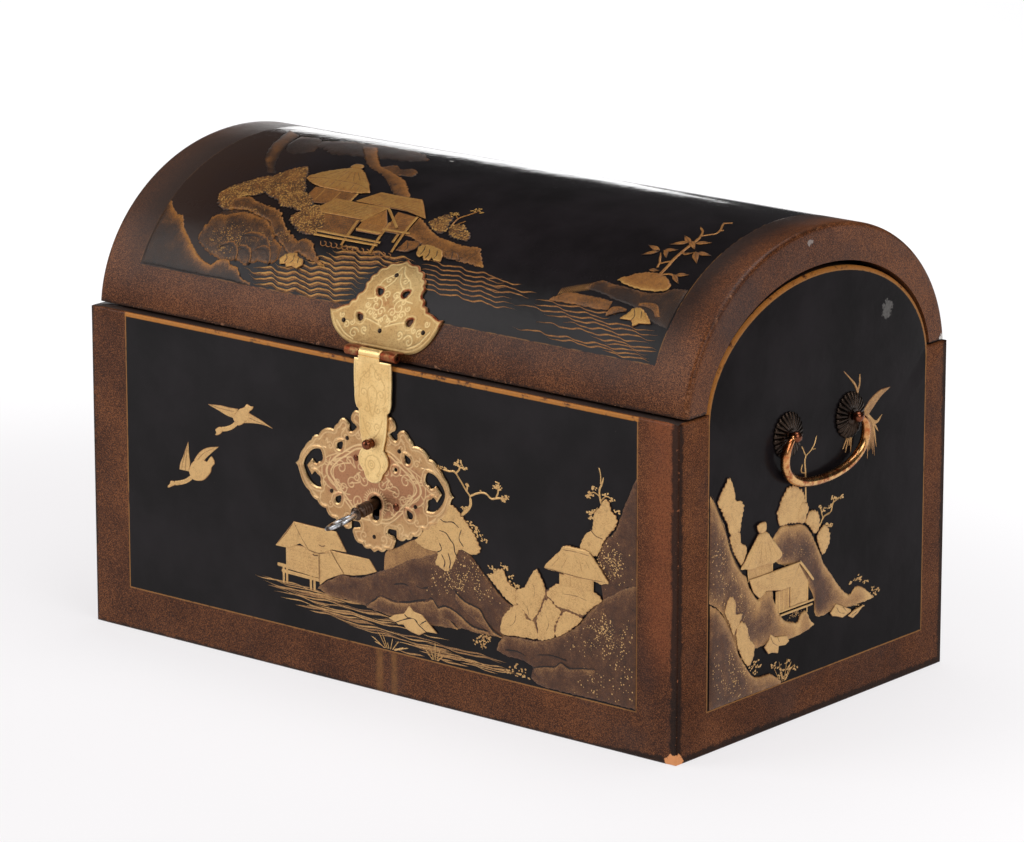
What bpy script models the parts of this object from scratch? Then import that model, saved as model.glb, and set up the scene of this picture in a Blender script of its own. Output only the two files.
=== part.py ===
"""A lacquer coffer with a vaulted lid, gilt copper lock plate and hasp, a key and two bail handles.

The frame: X along the long front, -Y towards the front, +Z up, origin on the underside at the middle
of the case. All sizes are metres. The case is a box of mitred boards whose end boards rise as arched
tongues inside the lid; the lid is an open vault with an arch rib inside each end.
"""
import math

import bmesh
import bpy
import numpy as np
from mathutils import Matrix, Vector
from mathutils.geometry import delaunay_2d_cdt

# The case
LENGTH = 0.540
DEPTH = 0.3096
CASE_HEIGHT = 0.2388
WALL = 0.013
END_WALL = 0.014
FLOOR = 0.010
EDGE_RADIUS = 0.0018
JOINT_GAP = 0.0003

# The lid: in section an ellipse cut off a little above its middle, set back from the faces of the case.
# The setbacks and the rise are the ellipse's own, and it springs from LID_SPRING below the lid's rim.
SEAM = 0.0016
LID_RISE = 0.1176
LID_SPRING = 0.0097
LID_EDGE_RADIUS = 0.0033
LID_FRONT_SETBACK = 0.0084
LID_BACK_SETBACK = 0.0030
LID_END_SETBACK = 0.0002
VAULT = 0.012
RIB_DEPTH = 0.018
RIB_FOOT_FRONT = 0.0216
RIB_FOOT_BACK = 0.0184
RIB_CROWN = 0.0281
TONGUE_FRONT_GAP = 0.0008
TONGUE_BACK_GAP = 0.0022
TONGUE_TOP_GAP = 0.0034

# Sheet metal, barrels and pins of the hasp and the hinges
SHEET = 0.0015
PLATE_SHEET = 0.0012
BARREL_RADIUS = 0.0036
PIN_RADIUS = 0.0014
PIN_CLEARANCE = 0.0003
KNUCKLE_GAP = 0.0004
SWING_CLEARANCE = 0.0006

# The hasp and its leaf on the lid
HASP_CLEARANCE = 0.0004
HASP_PIVOT_ABOVE_SEAM = 0.0054
HASP_OFFSET = 0.0032
HASP_HALF_WIDTH = 0.0170
HASP_LENGTH = 0.0880
HASP_KNUCKLE_HALF = 0.0097
HASP_BARREL_HALF = 0.0232
LEAF_HALF_WIDTH = 0.0508
LEAF_START = 0.0058
LEAF_HEIGHT = 0.0668
LEAF_SKEW = 0.065
KNOB_DROP = 0.0635
KNOB_OFFSET = -0.0015
KNOB_RADIUS = 0.0037
KNOB_NECK_RADIUS = 0.0028
KNOB_REACH = 0.0057

# The lock plate and the key
PLATE_OFFSET = 0.0020
PLATE_BELOW_RIM = 0.0880
PLATE_HALF_WIDTH = 0.0733
PLATE_HALF_HEIGHT = 0.0510
KEYHOLE_RADIUS = 0.0053
KEYHOLE_SLOT_HALF = 0.0033
KEYHOLE_SLOT_DROP = 0.0125
KEYHOLE_BELOW_CENTRE = 0.0128
KEYHOLE_OFFSET = 0.0018
KEY_SHAFT_RADIUS = 0.0040
KEY_COLLAR_RADIUS = 0.0049
KEY_REACH = 0.0475
KEY_DEPTH = 0.0075
KEY_BOW_LENGTH = 0.0265
KEY_BOW_WIDTH = 0.0220
KEY_WIRE_RADIUS = 0.0022
KEY_BIT_REACH = 0.0080
KEY_BIT_LENGTH = 0.0030
KEY_BIT_THICKNESS = 0.0024
KEY_DROOP = math.radians(11.5)
KEY_YAW = math.radians(-4.5)
KEY_ROLL = math.radians(-22.0)
CHAMBER_CLEARANCE = 0.0016

# The bail handles: two rosettes, two studs with ball eyes and a bail on each end
HANDLE_BELOW_RIM = 0.0315
HANDLE_OFFSET = 0.0020
HANDLE_PITCH = 0.0715
ROSETTE_RADIUS = 0.0165
ROSETTE_HEIGHT = 0.0042
ROSETTE_PETALS = 24
STUD_RADIUS = 0.0020
STUD_DEPTH = 0.0080
STUD_CLEARANCE = 0.0003
BALL_RADIUS = 0.0040
BALL_REACH = 0.0080
BAIL_RADIUS = 0.0033
BAIL_PIN_RADIUS = 0.0018
BAIL_HALF_WIDTH = 0.0466
BAIL_DROP = 0.0375
BAIL_SHOULDER = 0.0140
BAIL_LEAN = math.radians(5.0)

# The two hinges on the back
HINGE_SPACING = 0.310
HINGE_PIVOT_BEHIND = 0.0040
HINGE_HALF_WIDTH = 0.0200
HINGE_LEAF_HEIGHT = 0.0420
HINGE_KNUCKLE_HALF = 0.0060
HINGE_BARREL_HALF = 0.0160

# How finely round shapes are faceted
ARCH_STEPS = 38
ROUND_SIDES = 16
SMALL_SIDES = 10
EDGE_STEPS = 2
LOBE_STEPS = 3

# Places worked out from the sizes above
PLATE_HEIGHT = CASE_HEIGHT - PLATE_BELOW_RIM
HANDLE_HEIGHT = CASE_HEIGHT - HANDLE_BELOW_RIM
LID_BOTTOM = CASE_HEIGHT + SEAM
LID_MIDDLE = LID_BOTTOM - LID_SPRING
LID_FRONT = -DEPTH / 2 + LID_FRONT_SETBACK
LID_BACK = DEPTH / 2 - LID_BACK_SETBACK
LID_CENTRE = (LID_FRONT + LID_BACK) / 2
LID_HALF = (LID_BACK - LID_FRONT) / 2
RIB_FRONT = LID_FRONT + RIB_FOOT_FRONT
RIB_BACK = LID_BACK - RIB_FOOT_BACK
RIB_RISE = LID_RISE - RIB_CROWN
TONGUE_FRONT = RIB_FRONT + TONGUE_FRONT_GAP
TONGUE_BACK = RIB_BACK - TONGUE_BACK_GAP
TONGUE_RISE = RIB_RISE - TONGUE_TOP_GAP
LID_END = LENGTH / 2 - LID_END_SETBACK
PLATE_FRONT = -DEPTH / 2 - JOINT_GAP - PLATE_SHEET
HASP_BACK = PLATE_FRONT - HASP_CLEARANCE
HASP_FRONT = HASP_BACK - SHEET
HASP_PIVOT = Vector((0.0, HASP_FRONT + BARREL_RADIUS, CASE_HEIGHT + SEAM / 2 + HASP_PIVOT_ABOVE_SEAM))
LID_PIVOT = Vector((0.0, DEPTH / 2 + HINGE_PIVOT_BEHIND, CASE_HEIGHT + SEAM / 2))
KEY_PLACE = Vector((PLATE_OFFSET + KEYHOLE_OFFSET, PLATE_FRONT, PLATE_HEIGHT - KEYHOLE_BELOW_CENTRE))
BORE_RADIUS = PIN_RADIUS + PIN_CLEARANCE


def clear_scene():
    """Removes what the scene holds."""
    for old in list(bpy.data.objects):
        bpy.data.objects.remove(old, do_unlink=True)


def finish(name, colour, roughness, metallic):
    """A plain material of one colour."""
    mat = bpy.data.materials.new(name)
    mat.use_nodes = True
    shader = mat.node_tree.nodes["Principled BSDF"]
    shader.inputs["Base Color"].default_value = (*colour, 1.0)
    shader.inputs["Roughness"].default_value = roughness
    shader.inputs["Metallic"].default_value = metallic
    mat.diffuse_color = (*colour, 1.0)
    return mat


def add(name, mesh_data, mat=None, smooth=True):
    """Turns (points, faces) into an object."""
    points, faces = mesh_data
    mesh = bpy.data.meshes.new(name)
    mesh.from_pydata([tuple(p) for p in points], [], [tuple(f) for f in faces])
    work = bmesh.new()
    work.from_mesh(mesh)
    bmesh.ops.recalc_face_normals(work, faces=work.faces)
    work.to_mesh(mesh)
    work.free()
    if smooth:
        mesh.shade_smooth()
        mesh.set_sharp_from_angle(angle=math.radians(35))
    thing = bpy.data.objects.new(name, mesh)
    bpy.context.scene.collection.objects.link(thing)
    if mat:
        mesh.materials.append(mat)
    return thing


def hang(thing, pivot):
    """Gives a moving piece its origin on its joint's axis, by a parent empty there."""
    thing.data.transform(Matrix.Translation(-pivot.location))
    thing.parent = pivot
    return thing


def empty(name, place):
    """An empty on a joint's axis."""
    thing = bpy.data.objects.new(name, None)
    thing.location = place
    bpy.context.scene.collection.objects.link(thing)
    return thing


def hide_guide(thing):
    """Marks an object as a guide that isn't part of the model."""
    thing.hide_render = True
    thing.display_type = "WIRE"


def combine(thing, tool, how):
    """Adds a Boolean with another object, which becomes a guide."""
    hide_guide(tool)
    change = thing.modifiers.new(tool.name, "BOOLEAN")
    change.operation = how
    change.object = tool
    change.solver = "EXACT"
    return thing


def box(low, high, place=Vector):
    """A box between two corners, each point moved by place."""
    points = [place((x, y, z)) for x in (low[0], high[0]) for y in (low[1], high[1]) for z in (low[2], high[2])]
    return points, [(0, 1, 3, 2), (4, 6, 7, 5), (0, 4, 5, 1), (2, 3, 7, 6), (0, 2, 6, 4), (1, 5, 7, 3)]


def loft(rings, closed=False):
    """Skins equal rings of points; the ends are capped unless the rings close on themselves."""
    count = len(rings[0])
    points = [tuple(p) for ring in rings for p in ring]
    faces = []
    for r in range(len(rings) if closed else len(rings) - 1):
        near = r * count
        far = (r + 1) % len(rings) * count
        for i in range(count):
            j = (i + 1) % count
            faces.append((near + i, near + j, far + j, far + i))
    if not closed:
        faces.append(tuple(range(count))[::-1])
        faces.append(tuple(range(len(points) - count, len(points))))
    return points, faces


def turned(profile, sides, place):
    """Turns a profile of (distance along, radius), closed on the axis at both ends, by place(along, u, v)."""
    angles = [2 * math.pi * i / sides for i in range(sides)]
    points = [place(profile[0][0], 0.0, 0.0)]
    for along, radius in profile[1:-1]:
        points += [place(along, radius * math.cos(a), radius * math.sin(a)) for a in angles]
    points.append(place(profile[-1][0], 0.0, 0.0))
    last = len(points) - 1
    faces = []
    for i in range(sides):
        j = (i + 1) % sides
        faces.append((0, 1 + i, 1 + j))
        for r in range(len(profile) - 3):
            near = 1 + r * sides
            faces.append((near + i, near + sides + i, near + sides + j, near + j))
        near = 1 + (len(profile) - 3) * sides
        faces.append((near + i, last, near + j))
    return points, faces


def rod(start, end, radius, sides=ROUND_SIDES):
    """A round bar between two points."""
    start = Vector(start)
    end = Vector(end)
    turn = (end - start).to_track_quat("Z", "Y").to_matrix()
    angles = [2 * math.pi * i / sides for i in range(sides)]
    ring = [turn @ Vector((radius * math.cos(a), radius * math.sin(a), 0.0)) for a in angles]
    return loft([[start + p for p in ring], [end + p for p in ring]])


def arc(start, end, bulge, steps):
    """Points from start up to, not at, end; bulge is the rise of the arc as a share of its chord."""
    if abs(bulge) < 0.01:
        return [start]
    chord = np.subtract(end, start)
    side = np.array((chord[1], -chord[0]))
    shares = np.linspace(0.0, 1.0, steps + 1)[:-1]
    return [tuple(np.add(start, chord * s + side * bulge * 4 * s * (1 - s))) for s in shares]


def lobed(nodes, steps):
    """An outline through (u, v, bulge) nodes, anticlockwise; each bulge is that of the arc to the next node."""
    outline = []
    for (u, v, bulge), following in zip(nodes, nodes[1:] + nodes[:1]):
        outline += arc((u, v), following[:2], bulge, steps)
    return outline


def both_halves(right):
    """Adds the mirrored left half to nodes that run up the right side from middle line to middle line."""
    left = [(-u, v, before[2]) for before, (u, v, _) in zip(right, right[1:])][::-1]
    return right[:-1] + left


def comma(centre_u, centre_v, radius, turn):
    """A round hole with a short tail, as punched in the mounts."""
    outline = []
    for i in range(8):
        a = 2 * math.pi * i / 8
        reach = radius * (1.45 if i == 0 else 1.0)
        outline.append((centre_u + reach * math.cos(a + turn), centre_v + reach * math.sin(a + turn)))
    return outline


def inside(point, outline):
    """Whether a point is inside an outline, by counting crossings."""
    u, v = point
    hit = False
    for (u0, v0), (u1, v1) in zip(outline, outline[1:] + outline[:1]):
        if (v0 > v) != (v1 > v) and u < u0 + (v - v0) / (v1 - v0) * (u1 - u0):
            hit = not hit
    return hit


def sheet(outline, holes, thickness, place, rows=()):
    """A pierced plate: outline and holes in (u, v), place(u, v, w) with w through the thickness.

    Each value in rows adds points along that v, so that the plate can bend between them.
    """
    flat = list(outline)
    edges = [(i, (i + 1) % len(outline)) for i in range(len(outline))]
    for hole in holes:
        first = len(flat)
        flat += hole
        edges += [(first + i, first + (i + 1) % len(hole)) for i in range(len(hole))]
    left = min(p[0] for p in outline)
    right = max(p[0] for p in outline)
    for v in rows:
        crossings = [u for u in np.linspace(left, right, 61) if inside((u, v), outline)]
        if crossings:
            flat += [(crossings[0], v), (crossings[-1], v)]
            edges.append((len(flat) - 2, len(flat) - 1))
    where, _, triangles, *_ = delaunay_2d_cdt([Vector(p) for p in flat], edges, [], 0, 1e-7)
    kept = []
    for corners in triangles:
        middle = sum((where[i] for i in corners), Vector((0.0, 0.0))) / 3
        if inside(middle, outline) and not any(inside(middle, hole) for hole in holes):
            kept.append(tuple(corners))
    used = sorted({i for f in kept for i in f})
    number = {old: new for new, old in enumerate(used)}
    kept = [tuple(number[i] for i in f) for f in kept]
    points = [place(where[i].x, where[i].y, w) for w in (0.0, thickness) for i in used]
    count = len(used)
    faces = [f[::-1] for f in kept] + [tuple(i + count for i in f) for f in kept]
    sides = {}
    for f in kept:
        for a, b in zip(f, f[1:] + f[:1]):
            sides[(a, b)] = (b, a)
    faces += [(a, b, b + count, a + count) for (a, b), back in sides.items() if back not in sides]
    return points, faces


def arch(outer, inner, low, high, rounded):
    """A ring of the lid's section along X, from low to high; each ellipse is (front, back, rise)."""
    skin = [(high, 0.0), (low, 0.0)]
    if rounded:
        turns = [math.pi / 2 * i / EDGE_STEPS for i in range(EDGE_STEPS + 1)]
        skin = [(high - rounded * (1 - math.cos(a)), rounded * (1 - math.sin(a))) for a in turns]
        skin += [(low + rounded * (1 - math.sin(a)), rounded * (1 - math.cos(a))) for a in turns]
    rings = []
    for step in range(ARCH_STEPS + 1):
        share = step / ARCH_STEPS
        ring = [ellipse_point(low, inner, 0.0, share), ellipse_point(high, inner, 0.0, share)]
        rings.append(ring + [ellipse_point(x, outer, trim, share) for x, trim in skin])
    return loft(rings)


def section_angle(rise, share):
    """The angle on an ellipse of the lid's section, at a share of the way from front foot to back foot."""
    foot = math.asin(LID_SPRING / rise)
    return foot + (math.pi - 2 * foot) * share


def ellipse_point(x, ellipse, trim, share):
    """A point on an ellipse (front, back, rise) of the lid's section, made smaller by trim."""
    front, back, rise = ellipse
    half = (back - front) / 2 - trim
    t = section_angle(rise - trim, share)
    return (x, (front + back) / 2 - half * math.cos(t), LID_MIDDLE + (rise - trim) * math.sin(t))


def lid_face(u, s, w):
    """The point at arc length s round the lid's outside from its front edge, w proud of it, at X = u."""
    ellipse = lid_arc()
    t = float(np.interp(s, ellipse[0], ellipse[1]))
    normal = Vector((0.0, -math.cos(t) / LID_HALF, math.sin(t) / LID_RISE)).normalized()
    y = LID_CENTRE - LID_HALF * math.cos(t) + normal.y * w
    return Vector((u, y, LID_MIDDLE + LID_RISE * math.sin(t) + normal.z * w))


def lid_arc():
    """Arc lengths round the lid's section and the angles that they belong to."""
    t = np.linspace(section_angle(LID_RISE, 0.0), section_angle(LID_RISE, 1.0), 721)
    y = -LID_HALF * np.cos(t)
    z = LID_RISE * np.sin(t)
    return np.concatenate([[0.0], np.cumsum(np.hypot(np.diff(y), np.diff(z)))]), t


def case_form():
    """A guide: the outside of the case with its outer edges rounded, taller than the tongues."""
    top = LID_BOTTOM + LID_RISE
    mesh_data = box((-LENGTH / 2, -DEPTH / 2, 0.0), (LENGTH / 2, DEPTH / 2, top))
    guide = add("case_form", mesh_data, smooth=False)
    work = bmesh.new()
    work.from_mesh(guide.data)
    edges = [e for e in work.edges if min(v.co.z for v in e.verts) < top - EDGE_RADIUS]
    bmesh.ops.bevel(work, geom=edges, offset=EDGE_RADIUS, segments=EDGE_STEPS + 1, profile=0.5, affect="EDGES")
    work.to_mesh(guide.data)
    work.free()
    hide_guide(guide)
    return guide


def long_board(name, side, guide, mat):
    """The front (side -1) or back (side 1) board, mitred at both ends."""
    outer = side * DEPTH / 2
    inner = side * (DEPTH / 2 - WALL)
    far = LENGTH / 2 - JOINT_GAP
    near = LENGTH / 2 - END_WALL - JOINT_GAP
    plan = [(-far, outer), (far, outer), (near, inner), (-near, inner)]
    rings = [[(x, y, z) for x, y in plan] for z in (0.0, CASE_HEIGHT)]
    return combine(add(name, loft(rings), mat), guide, "INTERSECT")


def end_board(name, side, guide, mat):
    """The left (side -1) or right (side 1) board, whose arched tongue stands inside the lid."""
    middle = (TONGUE_FRONT + TONGUE_BACK) / 2
    half = (TONGUE_BACK - TONGUE_FRONT) / 2
    tongue = []
    for step in range(ARCH_STEPS + 1):
        t = section_angle(TONGUE_RISE, step / ARCH_STEPS)
        tongue.append((middle + half * math.cos(t), LID_MIDDLE + TONGUE_RISE * math.sin(t)))
    tongue = [(tongue[0][0], CASE_HEIGHT)] + tongue + [(tongue[-1][0], CASE_HEIGHT)]
    rings = []
    for x, edge in ((LENGTH / 2, DEPTH / 2), (LENGTH / 2 - END_WALL, DEPTH / 2 - WALL)):
        body = [(-edge, 0.0), (edge, 0.0), (edge, CASE_HEIGHT)]
        outline = body + tongue + [(-edge, CASE_HEIGHT)]
        rings.append([(side * x, y, z) for y, z in outline])
    board = combine(add(name, loft(rings), mat), guide, "INTERSECT")
    for number, y in enumerate(handle_eyes()):
        start = side * (LENGTH / 2 - STUD_DEPTH - STUD_CLEARANCE)
        hole = rod((start, y, HANDLE_HEIGHT), (side * (LENGTH / 2 + END_WALL), y, HANDLE_HEIGHT),
                   STUD_RADIUS + STUD_CLEARANCE, SMALL_SIDES)
        combine(board, add(f"{name}_stud_hole_{number}", hole), "DIFFERENCE")
    return board


def build_case(lacquer, wood):
    """The five boards of the case."""
    guide = case_form()
    front = long_board("front_board", -1, guide, lacquer)
    chamber = rod((KEY_PLACE.x, -DEPTH / 2 - WALL, KEY_PLACE.z),
                  (KEY_PLACE.x, -DEPTH / 2 + KEY_DEPTH + CHAMBER_CLEARANCE, KEY_PLACE.z),
                  KEY_BIT_REACH + CHAMBER_CLEARANCE, 2 * ROUND_SIDES)
    combine(front, add("lock_chamber", chamber), "DIFFERENCE")
    long_board("back_board", 1, guide, lacquer)
    end_board("left_end_board", -1, guide, lacquer)
    end_board("right_end_board", 1, guide, lacquer)
    inside_x = LENGTH / 2 - END_WALL - JOINT_GAP
    inside_y = DEPTH / 2 - WALL - JOINT_GAP
    add("bottom_board", box((-inside_x, -inside_y, 0.0), (inside_x, inside_y, FLOOR)), wood)


def build_lid(pivot, lacquer):
    """The vault and its two end ribs."""
    skin = (LID_FRONT, LID_BACK, LID_RISE)
    soffit = (LID_FRONT + VAULT, LID_BACK - VAULT, LID_RISE - VAULT)
    seat = VAULT + JOINT_GAP
    rib_skin = (LID_FRONT + seat, LID_BACK - seat, LID_RISE - seat)
    rib_soffit = (RIB_FRONT, RIB_BACK, RIB_RISE)
    hang(add("lid_vault", arch(skin, soffit, -LID_END, LID_END, LID_EDGE_RADIUS), lacquer), pivot)
    hang(add("left_lid_rib", arch(rib_skin, rib_soffit, -LID_END, -LID_END + RIB_DEPTH, 0.0), lacquer), pivot)
    hang(add("right_lid_rib", arch(rib_skin, rib_soffit, LID_END - RIB_DEPTH, LID_END, 0.0), lacquer), pivot)


def barrel(name, low, high, pivot, tab):
    """One knuckle: a round barrel about the pivot with a tab that runs into its leaf."""
    start = (low, pivot.y, pivot.z)
    body = add(name, rod(start, (high, pivot.y, pivot.z), BARREL_RADIUS))
    tab_low, tab_high = tab
    return combine(body, add(name + "_tab", box((low, *tab_low), (high, *tab_high))), "UNION")


def pin_bore(name, half, pivot):
    """A guide that cuts the bore of a row of knuckles."""
    reach = half + BARREL_RADIUS
    start = (pivot.x - reach, pivot.y, pivot.z)
    return add(name, rod(start, (pivot.x + reach, pivot.y, pivot.z), BORE_RADIUS, SMALL_SIDES))


def leaf_outline(half, low, height, steps):
    """The bell-shaped leaf: round shoulders below, scalloped sides and a point on top."""
    shares = [(0.0, 0.0, 0.0), (0.47, 0.0, 0.05), (0.70, 0.055, 0.06), (0.905, 0.20, 0.03),
              (1.0, 0.375, -0.12), (0.86, 0.39, 0.05), (0.69, 0.44, 0.22), (0.60, 0.50, 0.22),
              (0.52, 0.585, -0.08), (0.505, 0.64, 0.25), (0.48, 0.715, 0.25), (0.41, 0.80, 0.25),
              (0.29, 0.885, 0.22), (0.15, 0.945, -0.10), (0.0, 1.0, 0.0)]
    nodes = [(u * half, low + v * height, bulge) for u, v, bulge in shares]
    return lobed(both_halves(nodes), steps)


def build_hasp_leaf(pivot, gilt):
    """The bell-shaped leaf on the front of the lid, with the two outer knuckles."""
    shoulder = 0.35 * LEAF_HEIGHT

    def place(u, s, w):
        return lid_face(u, s + LEAF_SKEW * u * min(1.0, (s - LEAF_START) / shoulder), JOINT_GAP + w)

    outline = leaf_outline(LEAF_HALF_WIDTH, LEAF_START, LEAF_HEIGHT, LOBE_STEPS)
    radius = 0.05 * LEAF_HALF_WIDTH
    holes = []
    for u, v in ((0.215, 0.60), (0.43, 0.305)):
        for side in (-1, 1):
            turn = math.pi / 2 - side * 0.9
            holes.append(comma(side * u * LEAF_HALF_WIDTH, LEAF_START + v * LEAF_HEIGHT, radius, turn))
    rows = [LEAF_START + LEAF_HEIGHT * i / 9 for i in range(1, 9)]
    leaf = add("hasp_leaf", sheet(outline, holes, SHEET, place, rows), gilt)
    tab_y = lid_face(0.0, LEAF_START, JOINT_GAP + SHEET / 2).y
    low = (HASP_PIVOT.y, HASP_PIVOT.z + BORE_RADIUS)
    high = (tab_y, HASP_PIVOT.z + BORE_RADIUS + SHEET)
    for side, word in ((-1, "left"), (1, "right")):
        ends = sorted((side * HASP_BARREL_HALF, side * (HASP_KNUCKLE_HALF + KNUCKLE_GAP)))
        combine(leaf, barrel("hasp_leaf_knuckle_" + word, *ends, HASP_PIVOT, (low, high)), "UNION")
    combine(leaf, pin_bore("hasp_leaf_bore", HASP_BARREL_HALF, HASP_PIVOT), "DIFFERENCE")
    hang(leaf, pivot)
    start = HASP_PIVOT - Vector((HASP_BARREL_HALF, 0.0, 0.0))
    end = HASP_PIVOT + Vector((HASP_BARREL_HALF, 0.0, 0.0))
    hang(add("hasp_pin", rod(start, end, PIN_RADIUS, SMALL_SIDES), gilt), pivot)


def build_hasp(pivot, gilt, copper):
    """The hasp strap that hangs over the lock plate, its knuckle and its ball knob."""
    shares = [(0.0, -1.0, 0.20), (0.48, -0.932, 0.0), (0.52, -0.915, 0.27), (0.54, -0.72, 0.0),
              (0.60, -0.67, 0.03), (0.75, -0.50, 0.0), (0.77, -0.415, 0.0), (0.88, -0.40, 0.07),
              (0.985, -0.28, 0.02), (0.99, 0.0, 0.0), (0.0, 0.0, 0.0)]
    top = HASP_PIVOT.z - BARREL_RADIUS - SWING_CLEARANCE / 2
    nodes = [(u * HASP_HALF_WIDTH, v * HASP_LENGTH, bulge) for u, v, bulge in shares]
    outline = lobed(both_halves(nodes), LOBE_STEPS)
    knob_z = HASP_PIVOT.z - KNOB_DROP
    hole_radius = KNOB_NECK_RADIUS + STUD_CLEARANCE
    knob_v = knob_z - top
    hole = [(KNOB_OFFSET + hole_radius * math.cos(2 * math.pi * i / SMALL_SIDES),
             knob_v + hole_radius * math.sin(2 * math.pi * i / SMALL_SIDES)) for i in range(SMALL_SIDES)]

    def place(u, v, w):
        return Vector((HASP_OFFSET + u, HASP_BACK - w, top + v))

    strap = add("hasp_strap", sheet(outline, [hole], SHEET, place), gilt)
    tab = ((HASP_FRONT, top - SHEET), (HASP_BACK, HASP_PIVOT.z))
    knuckle = barrel("hasp_strap_knuckle", -HASP_KNUCKLE_HALF, HASP_KNUCKLE_HALF, HASP_PIVOT, tab)
    combine(strap, knuckle, "UNION")
    combine(strap, pin_bore("hasp_strap_bore", HASP_BARREL_HALF, HASP_PIVOT), "DIFFERENCE")
    hang(strap, pivot)
    profile = [(0.0, 0.0), (0.0, KNOB_NECK_RADIUS), (KNOB_REACH - KNOB_RADIUS * 0.8, KNOB_NECK_RADIUS)]
    for i in range(1, 6):
        a = math.pi * (0.2 + 0.8 * i / 6)
        profile.append((KNOB_REACH - KNOB_RADIUS * math.cos(a), KNOB_RADIUS * math.sin(a)))
    profile.append((KNOB_REACH + KNOB_RADIUS, 0.0))

    def knob_place(along, u, v):
        return (HASP_OFFSET + KNOB_OFFSET + u, HASP_BACK - along, knob_z + v)

    hang(add("hasp_knob", turned(profile, SMALL_SIDES, knob_place), copper), pivot)


def build_lock_plate(gilt):
    """The pierced lozenge plate with lobed edges and the keyhole."""
    wide = PLATE_HALF_WIDTH
    tall = PLATE_HALF_HEIGHT
    shares = [(0.0, -0.955, 0.0), (0.05, -0.91, 0.22), (0.15, -0.875, 0.22), (0.262, -0.76, 0.24),
              (0.25, -0.665, 0.0), (0.17, -0.64, -0.3), (0.225, -0.57, 0.0), (0.283, -0.57, 0.0),
              (0.285, -0.675, 0.24), (0.40, -0.66, 0.22), (0.485, -0.60, 0.20), (0.61, -0.48, 0.16),
              (0.72, -0.395, 0.13), (0.82, -0.285, 0.10), (0.93, -0.10, 0.0), (0.958, 0.0, -0.10),
              (1.0, 0.078, -0.10), (0.948, 0.155, 0.08), (0.88, 0.33, 0.08), (0.79, 0.455, 0.18),
              (0.70, 0.545, 0.17), (0.50, 0.675, 0.15), (0.45, 0.77, 0.38), (0.30, 0.795, 0.0),
              (0.305, 0.735, -0.35), (0.25, 0.715, 0.0), (0.205, 0.775, 0.0), (0.235, 0.81, 0.30),
              (0.27, 0.94, 0.25), (0.17, 1.0, 0.0), (0.0, 1.0, 0.0)]
    outline = lobed(both_halves([(u * wide, v * tall, bulge) for u, v, bulge in shares]), LOBE_STEPS)
    crescent = [(0.65, 0.28, -0.10), (0.68, 0.35, -0.14), (0.83, 0.245, -0.08), (0.893, 0.09, -0.08),
                (0.81, -0.13, -0.14), (0.665, -0.19, 0.0), (0.68, -0.12, -0.3), (0.72, -0.02, -0.3),
                (0.765, 0.0, 0.0), (0.79, -0.045, 0.0), (0.85, 0.08, 0.0), (0.778, 0.19, 0.0),
                (0.75, 0.145, -0.3), (0.70, 0.165, -0.3)]
    holes = [lobed([(u * wide, v * tall, bulge) for u, v, bulge in crescent], LOBE_STEPS)]
    holes.append([(-u, v) for u, v in holes[0]][::-1])
    for u, v in ((0.43, 0.455), (0.455, -0.32)):
        for side in (-1, 1):
            holes.append(comma(side * u * wide, v * tall, 0.05 * tall, math.pi / 2 + side * 0.7))
    keyhole = []
    gap = math.asin(KEYHOLE_SLOT_HALF / KEYHOLE_RADIUS)
    for i in range(ROUND_SIDES - 1):
        a = -math.pi / 2 + gap + (2 * math.pi - 2 * gap) * i / (ROUND_SIDES - 2)
        u = KEYHOLE_OFFSET + KEYHOLE_RADIUS * math.cos(a)
        keyhole.append((u, KEYHOLE_RADIUS * math.sin(a) - KEYHOLE_BELOW_CENTRE))
    slot = KEYHOLE_SLOT_DROP - KEYHOLE_SLOT_HALF
    for i in range(5):
        a = math.pi + math.pi * i / 4
        u = KEYHOLE_OFFSET + KEYHOLE_SLOT_HALF * math.cos(a)
        keyhole.append((u, KEYHOLE_SLOT_HALF * math.sin(a) - KEYHOLE_BELOW_CENTRE - slot))
    holes.append(keyhole)

    def place(u, v, w):
        return Vector((PLATE_OFFSET + u, -DEPTH / 2 - JOINT_GAP - w, PLATE_HEIGHT + v))

    add("lock_plate", sheet(outline, holes, PLATE_SHEET, place), gilt)


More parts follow.
